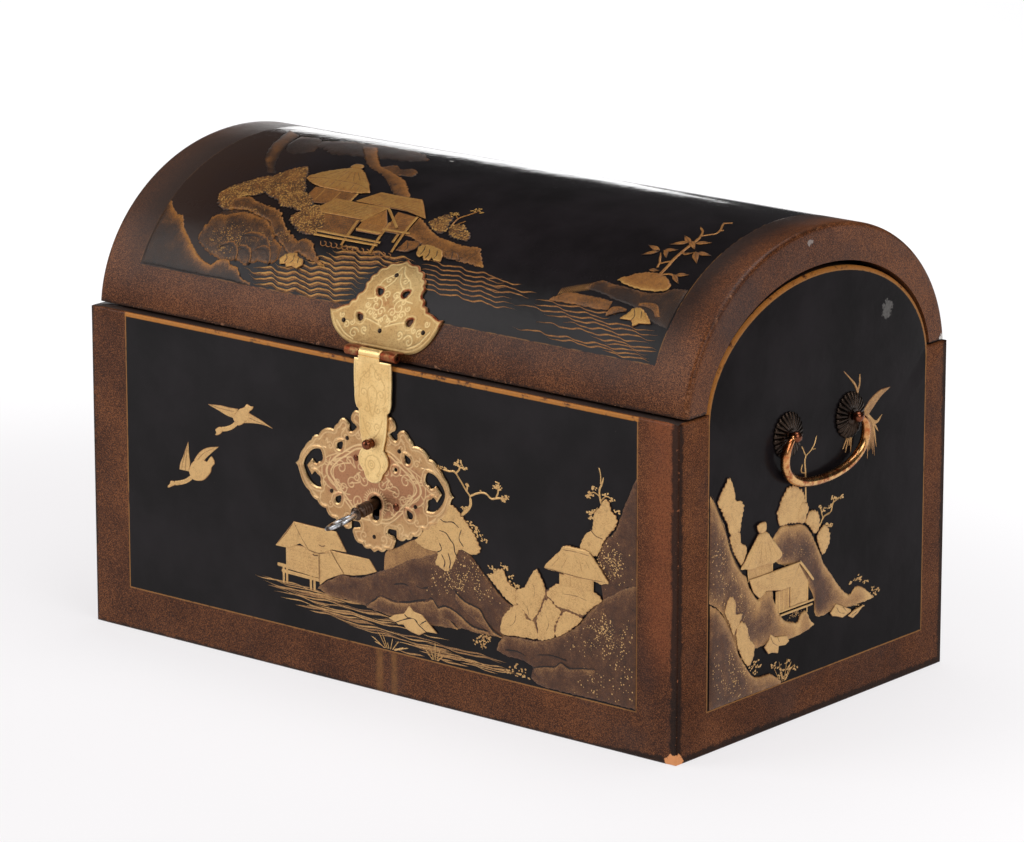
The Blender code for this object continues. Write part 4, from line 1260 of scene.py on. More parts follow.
    def specks(self, places: Array, size: Array, height: float = 0.15, gold: float = 0.95, base: float = 0.0,
               sides: int = 6, stretch: float = 1.0, turn: Array | float = 0.0) -> None:
        """Many small domed dots or leaves: a rim of points round a raised middle for each place.

        Args:
            places: their middles.
            size: their radii.
            height: how far it stands proud.
            gold: its gold.
            base: how high it starts.
            sides: the corners of each.
            stretch: their length for their width.
            turn: how far each is turned.
        """
        count = len(places)
        angle = np.linspace(0, 2 * math.pi, sides, endpoint=False)[None, :]
        size = np.broadcast_to(size, count)[:, None]
        turn = np.broadcast_to(turn, count)[:, None]
        x, y = np.cos(angle) * size * stretch, np.sin(angle) * size
        u = places[:, :1] + x * np.cos(turn) - y * np.sin(turn)
        v = places[:, 1:2] + x * np.sin(turn) + y * np.cos(turn)
        base = np.broadcast_to(base, count)
        rim = np.stack([u, v, np.broadcast_to(base[:, None] - 0.03, u.shape), np.full(u.shape, gold)], -1)
        top = np.stack([places[:, 0], places[:, 1], base + height, np.full(count, gold)], -1)
        self.parts += [rim.reshape(-1, 4), top]
        first = self.count + np.arange(count)[:, None] * sides
        near = first + np.arange(sides)[None, :]
        far = first + (np.arange(sides)[None, :] + 1) % sides
        centre = np.broadcast_to(self.count + count * sides + np.arange(count)[:, None], near.shape)
        self.faces += np.stack([near, far, centre], -1).reshape(-1, 3).tolist()
        self.count += count * (sides + 1)

    def cloud(self, form: Array, centre: tuple[float, float], spread: tuple[float, float], count: int,
              size: float = 0.32, base: float = 0.6, gold: float = 0.95) -> None:
        """Gold dots strewn about a place on a form, thick in the middle and thin outside.

        Args:
            form: the outline that holds them.
            centre: where they are thickest.
            spread: how far they reach across and up.
            count: how many are thrown.
            size: their mean radius.
            base: how high it starts.
            gold: its gold.
        """
        places = np.array(centre) + self.random.normal(0, 0.5, (count, 2)) * spread
        places = places[inside(places, form)]
        self.specks(places, self.random.uniform(0.6, 1.5, len(places)) * size, 0.12, gold, base, sides=5)

    def leaves(self, places: Knots, spread: float = 1.9, count: int = 11, size: float = 0.62,
               base: float = 0.2, gold: float = 0.9) -> None:
        """Small leaves about each place, in flat tiers.

        Args:
            places: the middles of the clusters.
            spread: the reach of a cluster.
            count: leaves in each.
            size: their mean radius.
            base: how high it starts.
            gold: its gold.
        """
        at = np.repeat(np.asarray(places, float), count, axis=0)
        at = at + self.random.uniform(-1, 1, at.shape) * (spread * 1.3, spread * 0.7)
        self.specks(at, self.random.uniform(0.7, 1.2, len(at)) * size, base=base, gold=gold, stretch=1.5,
                    turn=self.random.uniform(-0.7, 0.7, len(at)))

    def bush(self, outline: Knots, gold: float = 0.86, base: float = 0.0, height: float = 0.7,
             ragged: float = 0.9, dots: int = 0, bright: float = 0.2) -> None:
        """A leafy mass with a scalloped edge, and dots strewn over it where its leaves are picked out.

        Args:
            outline: knots of its edge.
            gold: its gold.
            base: how high it starts.
            height: how far it stands proud.
            ragged: how deep its scallops are.
            dots: how many dots lie on it.
            bright: how much more gold the dots have.
        """
        self.blob(outline, height, (gold, gold - 0.08), base, ragged)
        if dots:
            edge = spline(outline, 90, closed=True)
            share = np.sqrt(self.random.random((dots, 1))) * 0.95
            places = edge.mean(axis=0) + (edge[self.random.integers(0, 90, dots)] - edge.mean(axis=0)) * share
            sizes = self.random.uniform(0.4, 0.75, dots)
            self.specks(places, sizes, 0.25, gold + bright, base + height * 0.95, sides=5)

    def twig(self, lines: Sequence[Knots], places: Knots, width: float = 1.3, gold: float = 0.88,
             base: float = 0.0, count: int = 11, spread: float = 1.9) -> None:
        """A bare tree: a trunk, then thinner branches, and leaf clusters at their ends.

        Args:
            lines: the trunk, then the branches.
            places: the middles of the leaf clusters.
            width: the trunk's width.
            gold: its gold.
            base: how high it starts.
            count: leaves in a cluster.
            spread: the reach of a cluster.
        """
        for number, line in enumerate(lines):
            self.stroke(line, width * (1.0 if number == 0 else 0.62), 0.4, gold, base, (1.0, 0.35))
        if len(places):
            self.leaves(places, spread, count, base=base)

    def water(self, left: float, right: float, height: float, gold: float = 0.6, width: float = 0.6,
              swell: float = 0.6, reach: float = 36.0, fall: float = 0.0, lag: float = 0.55) -> None:
        """One long wavy line, its two ends thin.

        Args:
            left: where it starts.
            right: where it ends.
            height: the v of its left end.
            gold: its gold.
            width: its width.
            swell: how high its waves are.
            reach: the length of a wave.
            fall: how far it sinks on its way.
            lag: how far a line trails the one a millimetre above it, in radians.
        """
        count = max(24, int((right - left) / 1.2))
        u = np.linspace(left, right, count)
        phase = lag * height + self.random.uniform(0, 0.5)
        wave = np.sin(2 * math.pi * u / reach + phase)
        wave = wave + 0.3 * np.sin(2 * math.pi * u / reach * 2.3 + 2 * phase)
        v = height - fall * (u - left) / (right - left) + swell * wave
        self.stroke(np.column_stack([u, v]), width, 0.14, gold, 0.02, (0.1, 0.1), True, count, 0.45)

    def ruled(self, upper: Knots, lower: Knots, count: int, gold: float, base: float,
              width: float = 0.35) -> None:
        """Fine ruled lines from an upper edge to a lower one."""
        for top, bottom in zip(straight(upper, count + 2)[1:-1], straight(lower, count + 2)[1:-1]):
            self.stroke([top * 0.95 + bottom * 0.05, top * 0.05 + bottom * 0.95], width, 0.08, gold, base,
                        (0.6, 0.6), True, 4)

    def posts(self, places: Sequence[tuple[float, float, float]], width: float = 1.2, gold: float = 0.86,
              base: float = 0.1) -> None:
        """Upright posts, each given as u, its top and its foot."""
        for u, top, foot in places:
            self.stroke([(u, top), (u, foot)], width, 0.4, gold, base, (1.0, 0.9), True, 5)

    def boards(self, *lines: tuple[float, float, float, float], width: float = 1.4, gold: float = 0.9,
               base: float = 0.6) -> None:
        """Straight rails and deck boards, each given as u, v, u, v."""
        for u0, v0, u1, v1 in lines:
            self.stroke([(u0, v0), (u1, v1)], width, 0.35, gold, base, (0.9, 0.9), True, 6)

    def settle(self, name: str, face: Face, finish: bpy.types.Material, body: Body) -> bpy.types.Object:
        """Lays the patches on their face as one piece.

        Args:
            name: its name.
            face: the face that it lies on.
            finish: its material.
            body: the body that it moves with.

        Returns:
            The piece.
        """
        points = np.vstack(self.parts)
        gold = np.clip(points[:, 3], 0, 1.1)
        where = face.place(*points[:, :3].T)
        return make(name, where, self.faces, [finish], body, Slot.LACQUER, values={"gold": gold}, sharp=60)


class FrontPicture(Relief):
    """The front: two geese, a house on stilts, a wooded shore with thatched pavilions and hills."""

    def geese(self) -> None:
        """Two geese flying down to the left."""
        self.band([(-155.4, 183.4), (-143.8, 184.4), (-134, 184.3), (-126, 184.6)],
                  [(-155.4, 183), (-145.7, 180.4), (-138, 178), (-131, 176.9)], 0.4, (0.8, 0.92, 0.86), 0.15,
                  2.0)
        self.band([(-118, 184), (-111.8, 182.3), (-103, 179.6), (-93.4, 175.8)],
                  [(-120.5, 175), (-110.8, 176.4), (-101.2, 176.7), (-93.4, 175.4)], 0.4, (0.8, 0.92, 0.86),
                  0.15, 2.0)
        self.blob([(-128.3, 173), (-125.4, 172.3), (-120.5, 175), (-113.8, 180.5), (-115.3, 184),
                   (-112.4, 186.4), (-111.4, 188.7), (-114, 188.6), (-117.6, 189.5), (-120.5, 186.8),
                   (-125.4, 184.5), (-128.3, 181.1), (-131.2, 176.9)], 0.55, (0.96, 0.9), 0.2)
        self.stroke([(-127.3, 174.4), (-131.8, 170.7), (-137, 168.2), (-143, 166.6)], 3.4, 0.5, 0.92, 0.15,
                    (1.0, 0.75))
        self.blob([(-144.7, 162.3), (-141.4, 165.3), (-141.6, 168), (-144.7, 168.3), (-148.4, 165.7),
                   (-147.6, 163.4), (-148.4, 161.4)], 0.5, (0.94, 0.9), 0.25)
        self.band([(-184.4, 129.8), (-183.5, 134.3), (-179.6, 142.4), (-175.4, 152.2)],
                  [(-174.8, 129.9), (-173.8, 136.7), (-174.6, 142.3), (-175.2, 152.2)], 0.4,
                  (0.8, 0.92, 0.86), 0.15, 2.0)
        self.band([(-169.9, 139.5), (-164.1, 146.4), (-156.4, 150.9), (-145.7, 153.4)],
                  [(-166, 133), (-159.3, 141.3), (-153.5, 146.7), (-145.7, 153.1)], 0.4, (0.8, 0.92, 0.86),
                  0.15, 2.0)
        self.blob([(-174.8, 129.9), (-170.9, 124.6), (-163.1, 124.9), (-158.3, 127.5), (-153.5, 132.7),
                   (-152.3, 137), (-149.2, 140.8), (-152.5, 145.1), (-156, 140.4), (-159.3, 140.9),
                   (-165.1, 141.1), (-171.8, 137)], 0.55, (0.96, 0.9), 0.2)
        self.stroke([(-170, 128), (-176.7, 123), (-182.5, 120.4), (-189.6, 118.5)], 3.2, 0.5, 0.92, 0.15,
                    (1.0, 0.75))
        self.blob([(-195.5, 114.1), (-191.6, 115.8), (-188.3, 117.8), (-189.3, 120.1), (-193.1, 119.8),
                   (-194.1, 117.5), (-196.1, 115.3)], 0.5, (0.94, 0.9), 0.25)
        self.seams(0.66, [(-152, 183), (-140, 182), (-130, 182)], [(-117, 180), (-108, 178.4), (-98, 176.6)],
                   [(-126, 183), (-124, 178), (-128, 174)], [(-181.6, 131), (-180.6, 136), (-177.4, 146)],
                   [(-178, 130), (-177.4, 138), (-176, 148)], [(-167, 139), (-160, 146), (-150, 151.6)],
                   [(-172, 133), (-166, 136), (-161, 134)], [(-168, 131), (-163, 133), (-158, 131)],
                   [(-166, 128), (-160, 129.6), (-156, 132)], [(-163, 139), (-158, 137), (-153, 139)],
                   width=0.45, gold=0.5)

    def stilt_house(self) -> None:
        """A boarded house with two roofs, on posts at the water's edge."""
        self.posts([(-84.4, 76, 63.5), (-81.2, 76, 64), (-58.6, 74, 63.5), (-55.2, 74, 63.5)], 2.0, 0.84)
        self.boards((-90, 76.4, -80, 76.2), (-86, 72.4, -50, 71.6), width=2.6, gold=0.86, base=0.15)
        self.band([(-82, 94), (-50, 94)], [(-82, 74.5), (-50, 73)], 0.5, (0.86, 0.88, 0.84), 0.1, sharp=True)
        self.blob([(-39, 96), (-52, 91), (-50, 68), (-44, 73), (-36, 77), (-28, 80), (-18, 81), (-6, 84),
                   (4, 88), (-3, 96)], 0.55, (0.9, 0.86), 0.15, sharp=True)
        self.blob([(-74, 111), (-92, 90), (-80, 90), (-70, 96), (-60, 92), (-50, 91), (-42, 94), (-38, 96.5),
                   (-24, 97), (-33.5, 110.6)], 0.65, (0.92, 0.86), 0.25, sharp=True)
        self.seams(0.92, [(-73.4, 110), (-67, 101), (-60, 92.6)], [(-39, 95.6), (-33, 88), (-26.5, 80.8)],
                   [(-60, 92.4), (-52, 91.6), (-44, 93)], [(-50, 92), (-50, 80), (-50, 70)],
                   [(-90, 91.4), (-82, 100), (-75, 108.6)], width=0.6, gold=0.42)
        self.ruled([(-82, 92), (-82, 75)], [(-51, 92), (-51, 74)], 6, 0.7, 0.58, 0.3)
        self.ruled([(-72, 109), (-58, 94)], [(-35, 109), (-27, 98)], 6, 0.76, 0.88, 0.3)
        self.ruled([(-38, 94), (-28, 82)], [(-4, 94), (1, 88)], 5, 0.74, 0.68, 0.3)
        self.seams(0.9, [(-56, 90), (-54, 89.4), (-51, 90)], [(-50, 98), (-47, 97.4), (-44, 98.4)], width=0.9,
                   gold=0.3)

    def shore(self) -> None:
        """The big brown hill, its ridges that run down to the water and the gold rock at its foot."""
        self.band([(10, 90), (12, 104), (24, 110), (36, 117), (48, 120), (62, 118)],
                  [(10, 88), (20, 93), (30, 99), (40, 103), (50, 106), (62, 108)], 0.3, (0.62, 0.56, 0.4),
                  0.0, 8.0)
        hill = self.band([(-52, 66), (-44, 72), (-37, 76), (-29, 80), (-18, 80), (-6, 83), (4, 88), (14, 92),
                          (24, 97), (32, 102), (42, 105), (56, 111), (66, 113), (80, 118), (88, 117),
                          (97, 109), (107, 100), (118, 91), (129, 86)],
                         [(-52, 65.5), (-38, 62), (-22, 62), (-8, 61), (4, 59), (20, 58), (36, 58), (50, 58),
                          (62, 59), (74, 60), (86, 62), (98, 62), (110, 61.5), (118, 62), (120, 66),
                          (118, 73), (122, 80), (129, 85.6)], 0.9, (0.36, 0.22, 0.42), 0.1, 4.0, ragged=0.5)
        ridges = (([(-6, 62), (2, 67), (8, 71), (20, 69.5), (32, 71), (42, 74), (50, 76), (55, 78), (60, 73),
                    (66, 71), (72, 65), (78, 61)],
                   [(-6, 60), (4, 61), (12, 61), (22, 61), (34, 62), (44, 63), (52, 64), (58, 65), (63, 64),
                    (68, 62), (73, 60.5), (78, 60)]),
                  ([(60, 72), (66, 74.5), (72, 74), (80, 71), (88, 66.5), (94, 64.5), (106, 64)],
                   [(60, 66), (68, 65), (76, 64), (82, 62.5), (88, 61.5), (96, 61), (106, 62)]),
                  ([(76, 87), (84, 82), (92, 80), (99, 78), (104, 71), (111, 65), (118, 62.5)],
                   [(76, 82), (84, 75), (92, 71), (98, 68), (104, 65), (111, 62.5), (118, 61.5)]))
        for number, (upper, lower) in enumerate(ridges):
            self.band(upper, lower, 0.7, (0.60, 0.26, 0.30), 0.45 + 0.1 * number, 2.6, ragged=0.4)
            self.seams(1.02 + 0.1 * number, [(x, y + 0.4) for x, y in upper], width=1.3)
        self.seams(1.0, [(72, 87.6), (75, 88.4), (78, 87.4)], [(47, 92), (49, 92.6), (51, 92)],
                   [(40, 85), (46, 84), (52, 86)], [(20, 82), (28, 84), (36, 83)], width=1.3, gold=0.02)
        clouds = (((80, 98), (16, 9), 170), ((100, 92), (14, 7), 60), ((90, 108), (8, 6), 40),
                  ((66, 92), (12, 8), 45))
        for centre, spread, count in clouds:
            self.cloud(hill, centre, (1.5 * spread[0], 1.4 * spread[1]), count, 0.44, 1.0)
        self.blob([(15, 56.5), (20, 55), (24, 53.4), (28, 55), (31, 51.5), (36, 50), (43, 49), (50, 53),
                   (60, 53.6), (52, 60), (46, 65), (39, 66), (34, 69.5), (29, 62.6), (20, 60)], 0.7,
                  (0.98, 0.9), 0.8, sharp=True)
        self.seams(1.5, [(21, 54.4), (29, 58), (36, 60.4), (40, 60), (43, 57), (50, 53)],
                   [(30, 62), (33, 60.4), (36, 60.6)], [(44, 57), (48, 60), (50, 61)], width=1.1, gold=0.05)

    def trees(self) -> None:
        """The leafy mass and bare tree behind the lock plate, and the bushes before the pavilions."""
        self.twig([[(81, 143), (86, 147), (89.4, 152), (89, 158)],
                   [(89, 158), (85, 162), (80, 168), (75, 173), (70, 172.6), (64, 173)],
                   [(89, 158), (95, 161), (100, 162.4), (104, 162), (108, 159.6), (114, 161), (120, 162)],
                   [(86, 161), (86.4, 164), (86, 167)], [(76, 172), (79, 175), (80, 178)],
                   [(112, 160.6), (114, 165), (114, 169)], [(99, 162), (98, 164)],
                   [(83, 145), (84, 148), (83, 149)]],
                  [(66, 173.4), (62, 174), (80, 178), (76, 179), (84, 177), (80, 181), (86, 166), (111, 168),
                   (116, 168), (114, 171), (119, 162), (119, 160.4), (121.6, 163)], 2.3, 0.9, 0.1, 9, 1.7)
        self.bush([(44, 122), (40, 117), (50, 113), (60, 112.4), (58, 104), (64, 101.6), (69, 100.4),
                   (74, 105), (77, 112), (80, 118), (86, 118), (92, 116.6), (99, 120.4), (97, 126), (93, 132),
                   (87, 138), (82, 143), (76, 148), (70, 149), (60, 140), (50, 130)], 0.94, 0.6, 0.6, 0.8)
        self.seams(1.22, [(62, 129), (68, 128), (72, 124), (75, 121), (76, 116), (78, 113)],
                   [(62, 120), (64, 115.6), (60, 112.8)], [(64, 112), (67, 107), (66, 103)],
                   [(70, 114), (72, 108), (71, 103)], [(60, 140), (66, 136), (74, 137), (80, 134)],
                   [(82, 133), (80, 126), (84, 121)], width=1.0, gold=0.1)
        self.leaves([(84, 139), (88, 138.4), (93, 136.4), (95, 134), (98, 131), (102, 128.4), (84, 149),
                     (62, 106), (68, 103), (73, 108)], 2.2, 10, 0.55, 0.5)
        self.bush([(106, 104), (112, 98.4), (120, 91.6), (130, 87), (131, 92), (131, 99), (126, 101.4),
                   (122, 106), (119, 111), (115, 111), (110, 107)], 0.9, 0.6, 0.6)
        self.leaves([(108, 111), (111, 109), (119, 114), (121, 112.6), (126, 107.4), (127, 103), (132, 101),
                     (106, 105)], 2.0, 9, 0.55, 0.5)
        self.blob([(122, 70), (140, 67), (152, 68), (166, 73), (180, 82), (188, 89), (196, 98), (194, 106),
                   (170, 108), (156, 104), (146, 108), (138, 98), (132, 88), (124, 82)], 0.5, (0.34, 0.3),
                  0.7)
        for outline in ([(131, 90), (138, 85), (145, 80), (151, 87), (154, 94), (157, 101), (156, 107),
                         (153, 112), (149, 117), (144, 112), (140, 105), (136, 101), (131, 99)],
                        [(158, 101), (162, 98), (168, 94), (178, 93), (190, 92), (198, 99), (206, 105),
                         (200, 110), (184, 110), (170, 111), (161, 106)],
                        [(150, 67), (157, 68), (165, 71.6), (165, 78), (168, 85), (171, 91), (166, 94),
                         (161, 98), (156, 96), (153, 89), (149, 82), (150, 74)],
                        [(166, 72), (173, 75), (181, 81), (189, 88.6), (184, 91), (176, 92.4), (172, 90),
                         (168, 84), (166, 78)],
                        [(117.6, 65.4), (130, 65.4), (142, 66.4), (150, 67.4), (150, 73), (147, 79),
                         (141, 80), (138, 85), (134, 88.6), (128, 87), (122, 81), (118, 75)]):
            self.bush(outline, 0.92, 0.95, 0.6, 0.7)
        self.seams(1.52, [(137, 92), (141, 88), (143, 82)], [(126, 72), (130, 76), (131, 82)],
                   [(158, 74), (160, 80), (158, 86)], [(172, 104), (184, 104.6), (194, 103)],
                   [(146, 106), (148, 102), (147, 97)], width=0.6, gold=0.35)

    def pavilions(self) -> None:
        """A thatched roof on a low wall above a spreading lower one."""
        self.band([(169, 118), (199, 118)], [(169, 109), (199, 109)], 0.4, (0.84, 0.84, 0.84), 1.1,
                  sharp=True)
        self.posts([(170, 117.5, 109), (197.6, 117.5, 109)], 1.4, 0.9, 1.4)
        self.ruled([(172, 117), (196, 117)], [(172, 110), (196, 110)], 6, 0.6, 1.48)
        self.band([(156, 120.6), (162, 127), (169, 133.6), (174, 138.6), (184, 138.8), (194, 138.6),
                   (201, 132.4), (207, 126), (212, 120)],
                  [(156, 119.6), (162, 118.6), (169, 119), (178, 117), (186, 117.6), (194, 116.4),
                   (200, 117.8), (206, 116.8), (212, 118.4)], 0.9, (0.98, 0.94, 0.86), 1.3, ragged=0.3)
        self.boards((173, 137.2, 196, 137.2), width=1.8, gold=1.0, base=2.0)
        self.seams(2.22, [(173, 135.6), (184, 136), (196, 135.4)],
                   [(158, 119.8), (172, 119.2), (190, 118.6), (210, 119.4)], width=0.5, gold=0.4)
        self.seams(2.2, *([(184 + (x - 184) * 0.6, 131), (x, 122)] for x in (163, 172, 181, 190, 199, 206)),
                   width=0.3, gold=0.62)

    def cliffs(self) -> None:
        """The brown hills that close the picture on the right, with gold dots and a bush on their slope."""
        far = self.band([(202, 134), (204, 141), (209, 149), (216, 155), (221, 166), (226, 178), (231, 189),
                         (235.4, 197)],
                        [(206, 105.4), (212, 109), (217, 112), (221, 114), (225, 117), (229, 119), (232, 120),
                         (235.4, 121)], 0.8, (0.34, 0.20, 0.24), 0.0, 4.0, ragged=0.4)
        near = self.band([(113, 53), (119, 63), (132, 65), (146, 65.6), (156, 68), (165, 71.6), (173, 76),
                          (182, 81), (190, 89), (197, 98), (206, 106), (215, 111), (224, 117),
                          (235.4, 121.4)],
                         [(113, 51.6), (124, 49.5), (137, 49), (146, 45), (144, 38), (152, 34), (164, 33.8),
                          (176, 33.8), (188, 33.8), (200, 33.8), (210, 33.8), (218, 33.8), (226, 33.8),
                          (235.4, 33.8)], 0.9, (0.42, 0.21, 0.26), 0.3, 4.0, ragged=0.4)
        self.band([(146, 45.6), (153, 48), (160, 49.4), (166, 50.6), (171, 54.4), (178, 51.8), (188, 53.6),
                   (201, 55.6)],
                  [(146, 42), (153, 40), (160, 40), (166, 42), (171, 45), (178, 45), (188, 48), (201, 52)],
                  0.5, (0.42, 0.24, 0.24), 0.95, 3.0, ragged=0.4)
        self.seams(1.4,
                   [(146, 45.8), (153, 48.2), (160, 49.6), (166, 50.8), (171, 54.6), (178, 52), (188, 53.8),
                    (201, 55.8)], [(150, 56), (162, 58), (176, 57)], [(121, 54), (132, 55), (140, 53)],
                   width=1.0, gold=0.02)
        self.cloud(far, (214, 134), (12, 14), 190, 0.44, 0.85)
        clouds = (((212, 83), (12, 8), 210), ((224, 60), (10, 18), 60), ((190, 70), (16, 6), 45),
                  ((205, 48), (26, 10), 50))
        for centre, spread, count in clouds:
            self.cloud(near, centre, (1.4 * spread[0], 1.4 * spread[1]), count, 0.44, 1.2)
        self.bush([(187, 139), (193, 137.6), (200, 135), (204, 140), (208, 148), (213, 154), (218, 160),
                   (218.6, 166), (214, 170), (212, 176), (208, 177), (204, 171), (199, 165), (197, 154),
                   (191, 149)], 0.92, 0.7, 0.6, 0.8)
        self.seams(1.32, [(196, 154), (200, 150.6), (203, 149.6), (207, 149)], width=0.8, gold=0.28)
        self.twig([[(206, 171), (204, 175), (203, 182), (205, 187), (206.6, 192)],
                   [(204, 187), (204, 193), (202.6, 198)], [(203.6, 178), (198, 180), (193, 177)],
                   [(204, 175), (209, 179), (214, 178)], [(202, 170), (198, 166), (195, 164)]],
                  [(193, 176), (196, 178.6), (199, 183), (196, 162), (199, 166.6), (208, 180), (214, 177.4),
                   (218, 170), (194, 165)], 1.5, 0.88, 0.2, 9, 1.8)

    def water_and_grass(self) -> None:
        """Water that runs out along the shore, grass at the lower edge and small plants on the bank."""
        for number in range(44):
            share = (number + 0.5) / 44
            height = 64.6 - 30 * share
            start = np.interp(height, (34, 38, 44, 50, 57, 65), (18, 12, -40, -78, -100, -112))
            stop = np.interp(height, (34, 46, 50, 56, 60, 65), (138, 140, 112, 108, 16, -44))
            left = start + (stop - start) * self.random.uniform(0, 0.62)
            right = min(stop, left + self.random.uniform(26, 82))
            gold = 0.42 + 0.3 * self.random.random()
            width = 0.55 + 0.6 * self.random.random()
            self.water(left, right, height, gold, width, 0.7, 44.0, 1.0)
        waves = ((-112, -40, 64.6), (-104, -30, 61), (-92, 30, 57.6), (-88, 10, 52.4), (-40, 60, 46.6),
                 (20, 130, 40))
        for left, right, height in waves:
            self.water(left, right, height, 0.66, 1.0, 0.8, 52.0, 1.6)
        for root, tips in ((15,
                            ((-2, 40), (4, 44.6), (8, 44), (13, 38), (18, 42), (24, 41), (29, 37), (33, 37.6),
                             (1, 36.6))),
                           (57, ((48, 40), (52, 43), (57, 47), (62, 43), (66, 39.6), (50, 37), (64, 37)))):
            for u, v in tips:
                self.stroke([(root + (u - root) * 0.3, 33.6), (root + (u - root) * 0.7, 34 + (v - 34) * 0.6),
                             (u, v)], 0.75, 0.2, 0.8, 0.25, (1.0, 0.1))
        self.leaves([(101, 60), (98, 57), (104, 57), (106, 60), (95, 54), (102, 53), (130, 44), (136, 42),
                     (126, 41), (139, 38), (132, 38), (123, 38)], 2.4, 8, 0.6, 0.3, 0.72)
        self.stroke([(100, 50), (101, 56), (102, 61)], 0.5, 0.2, 0.7, 0.2)

    def build(self, finish: bpy.types.Material) -> None:
        """Lays the whole picture on the front.

        Args:
            finish: its material.
        """
        self.water_and_grass()
        self.geese()
        self.shore()
        self.stilt_house()
        self.cliffs()
        self.trees()
        self.pavilions()
        self.settle("front_picture", FRONT, finish, Body.CASE)


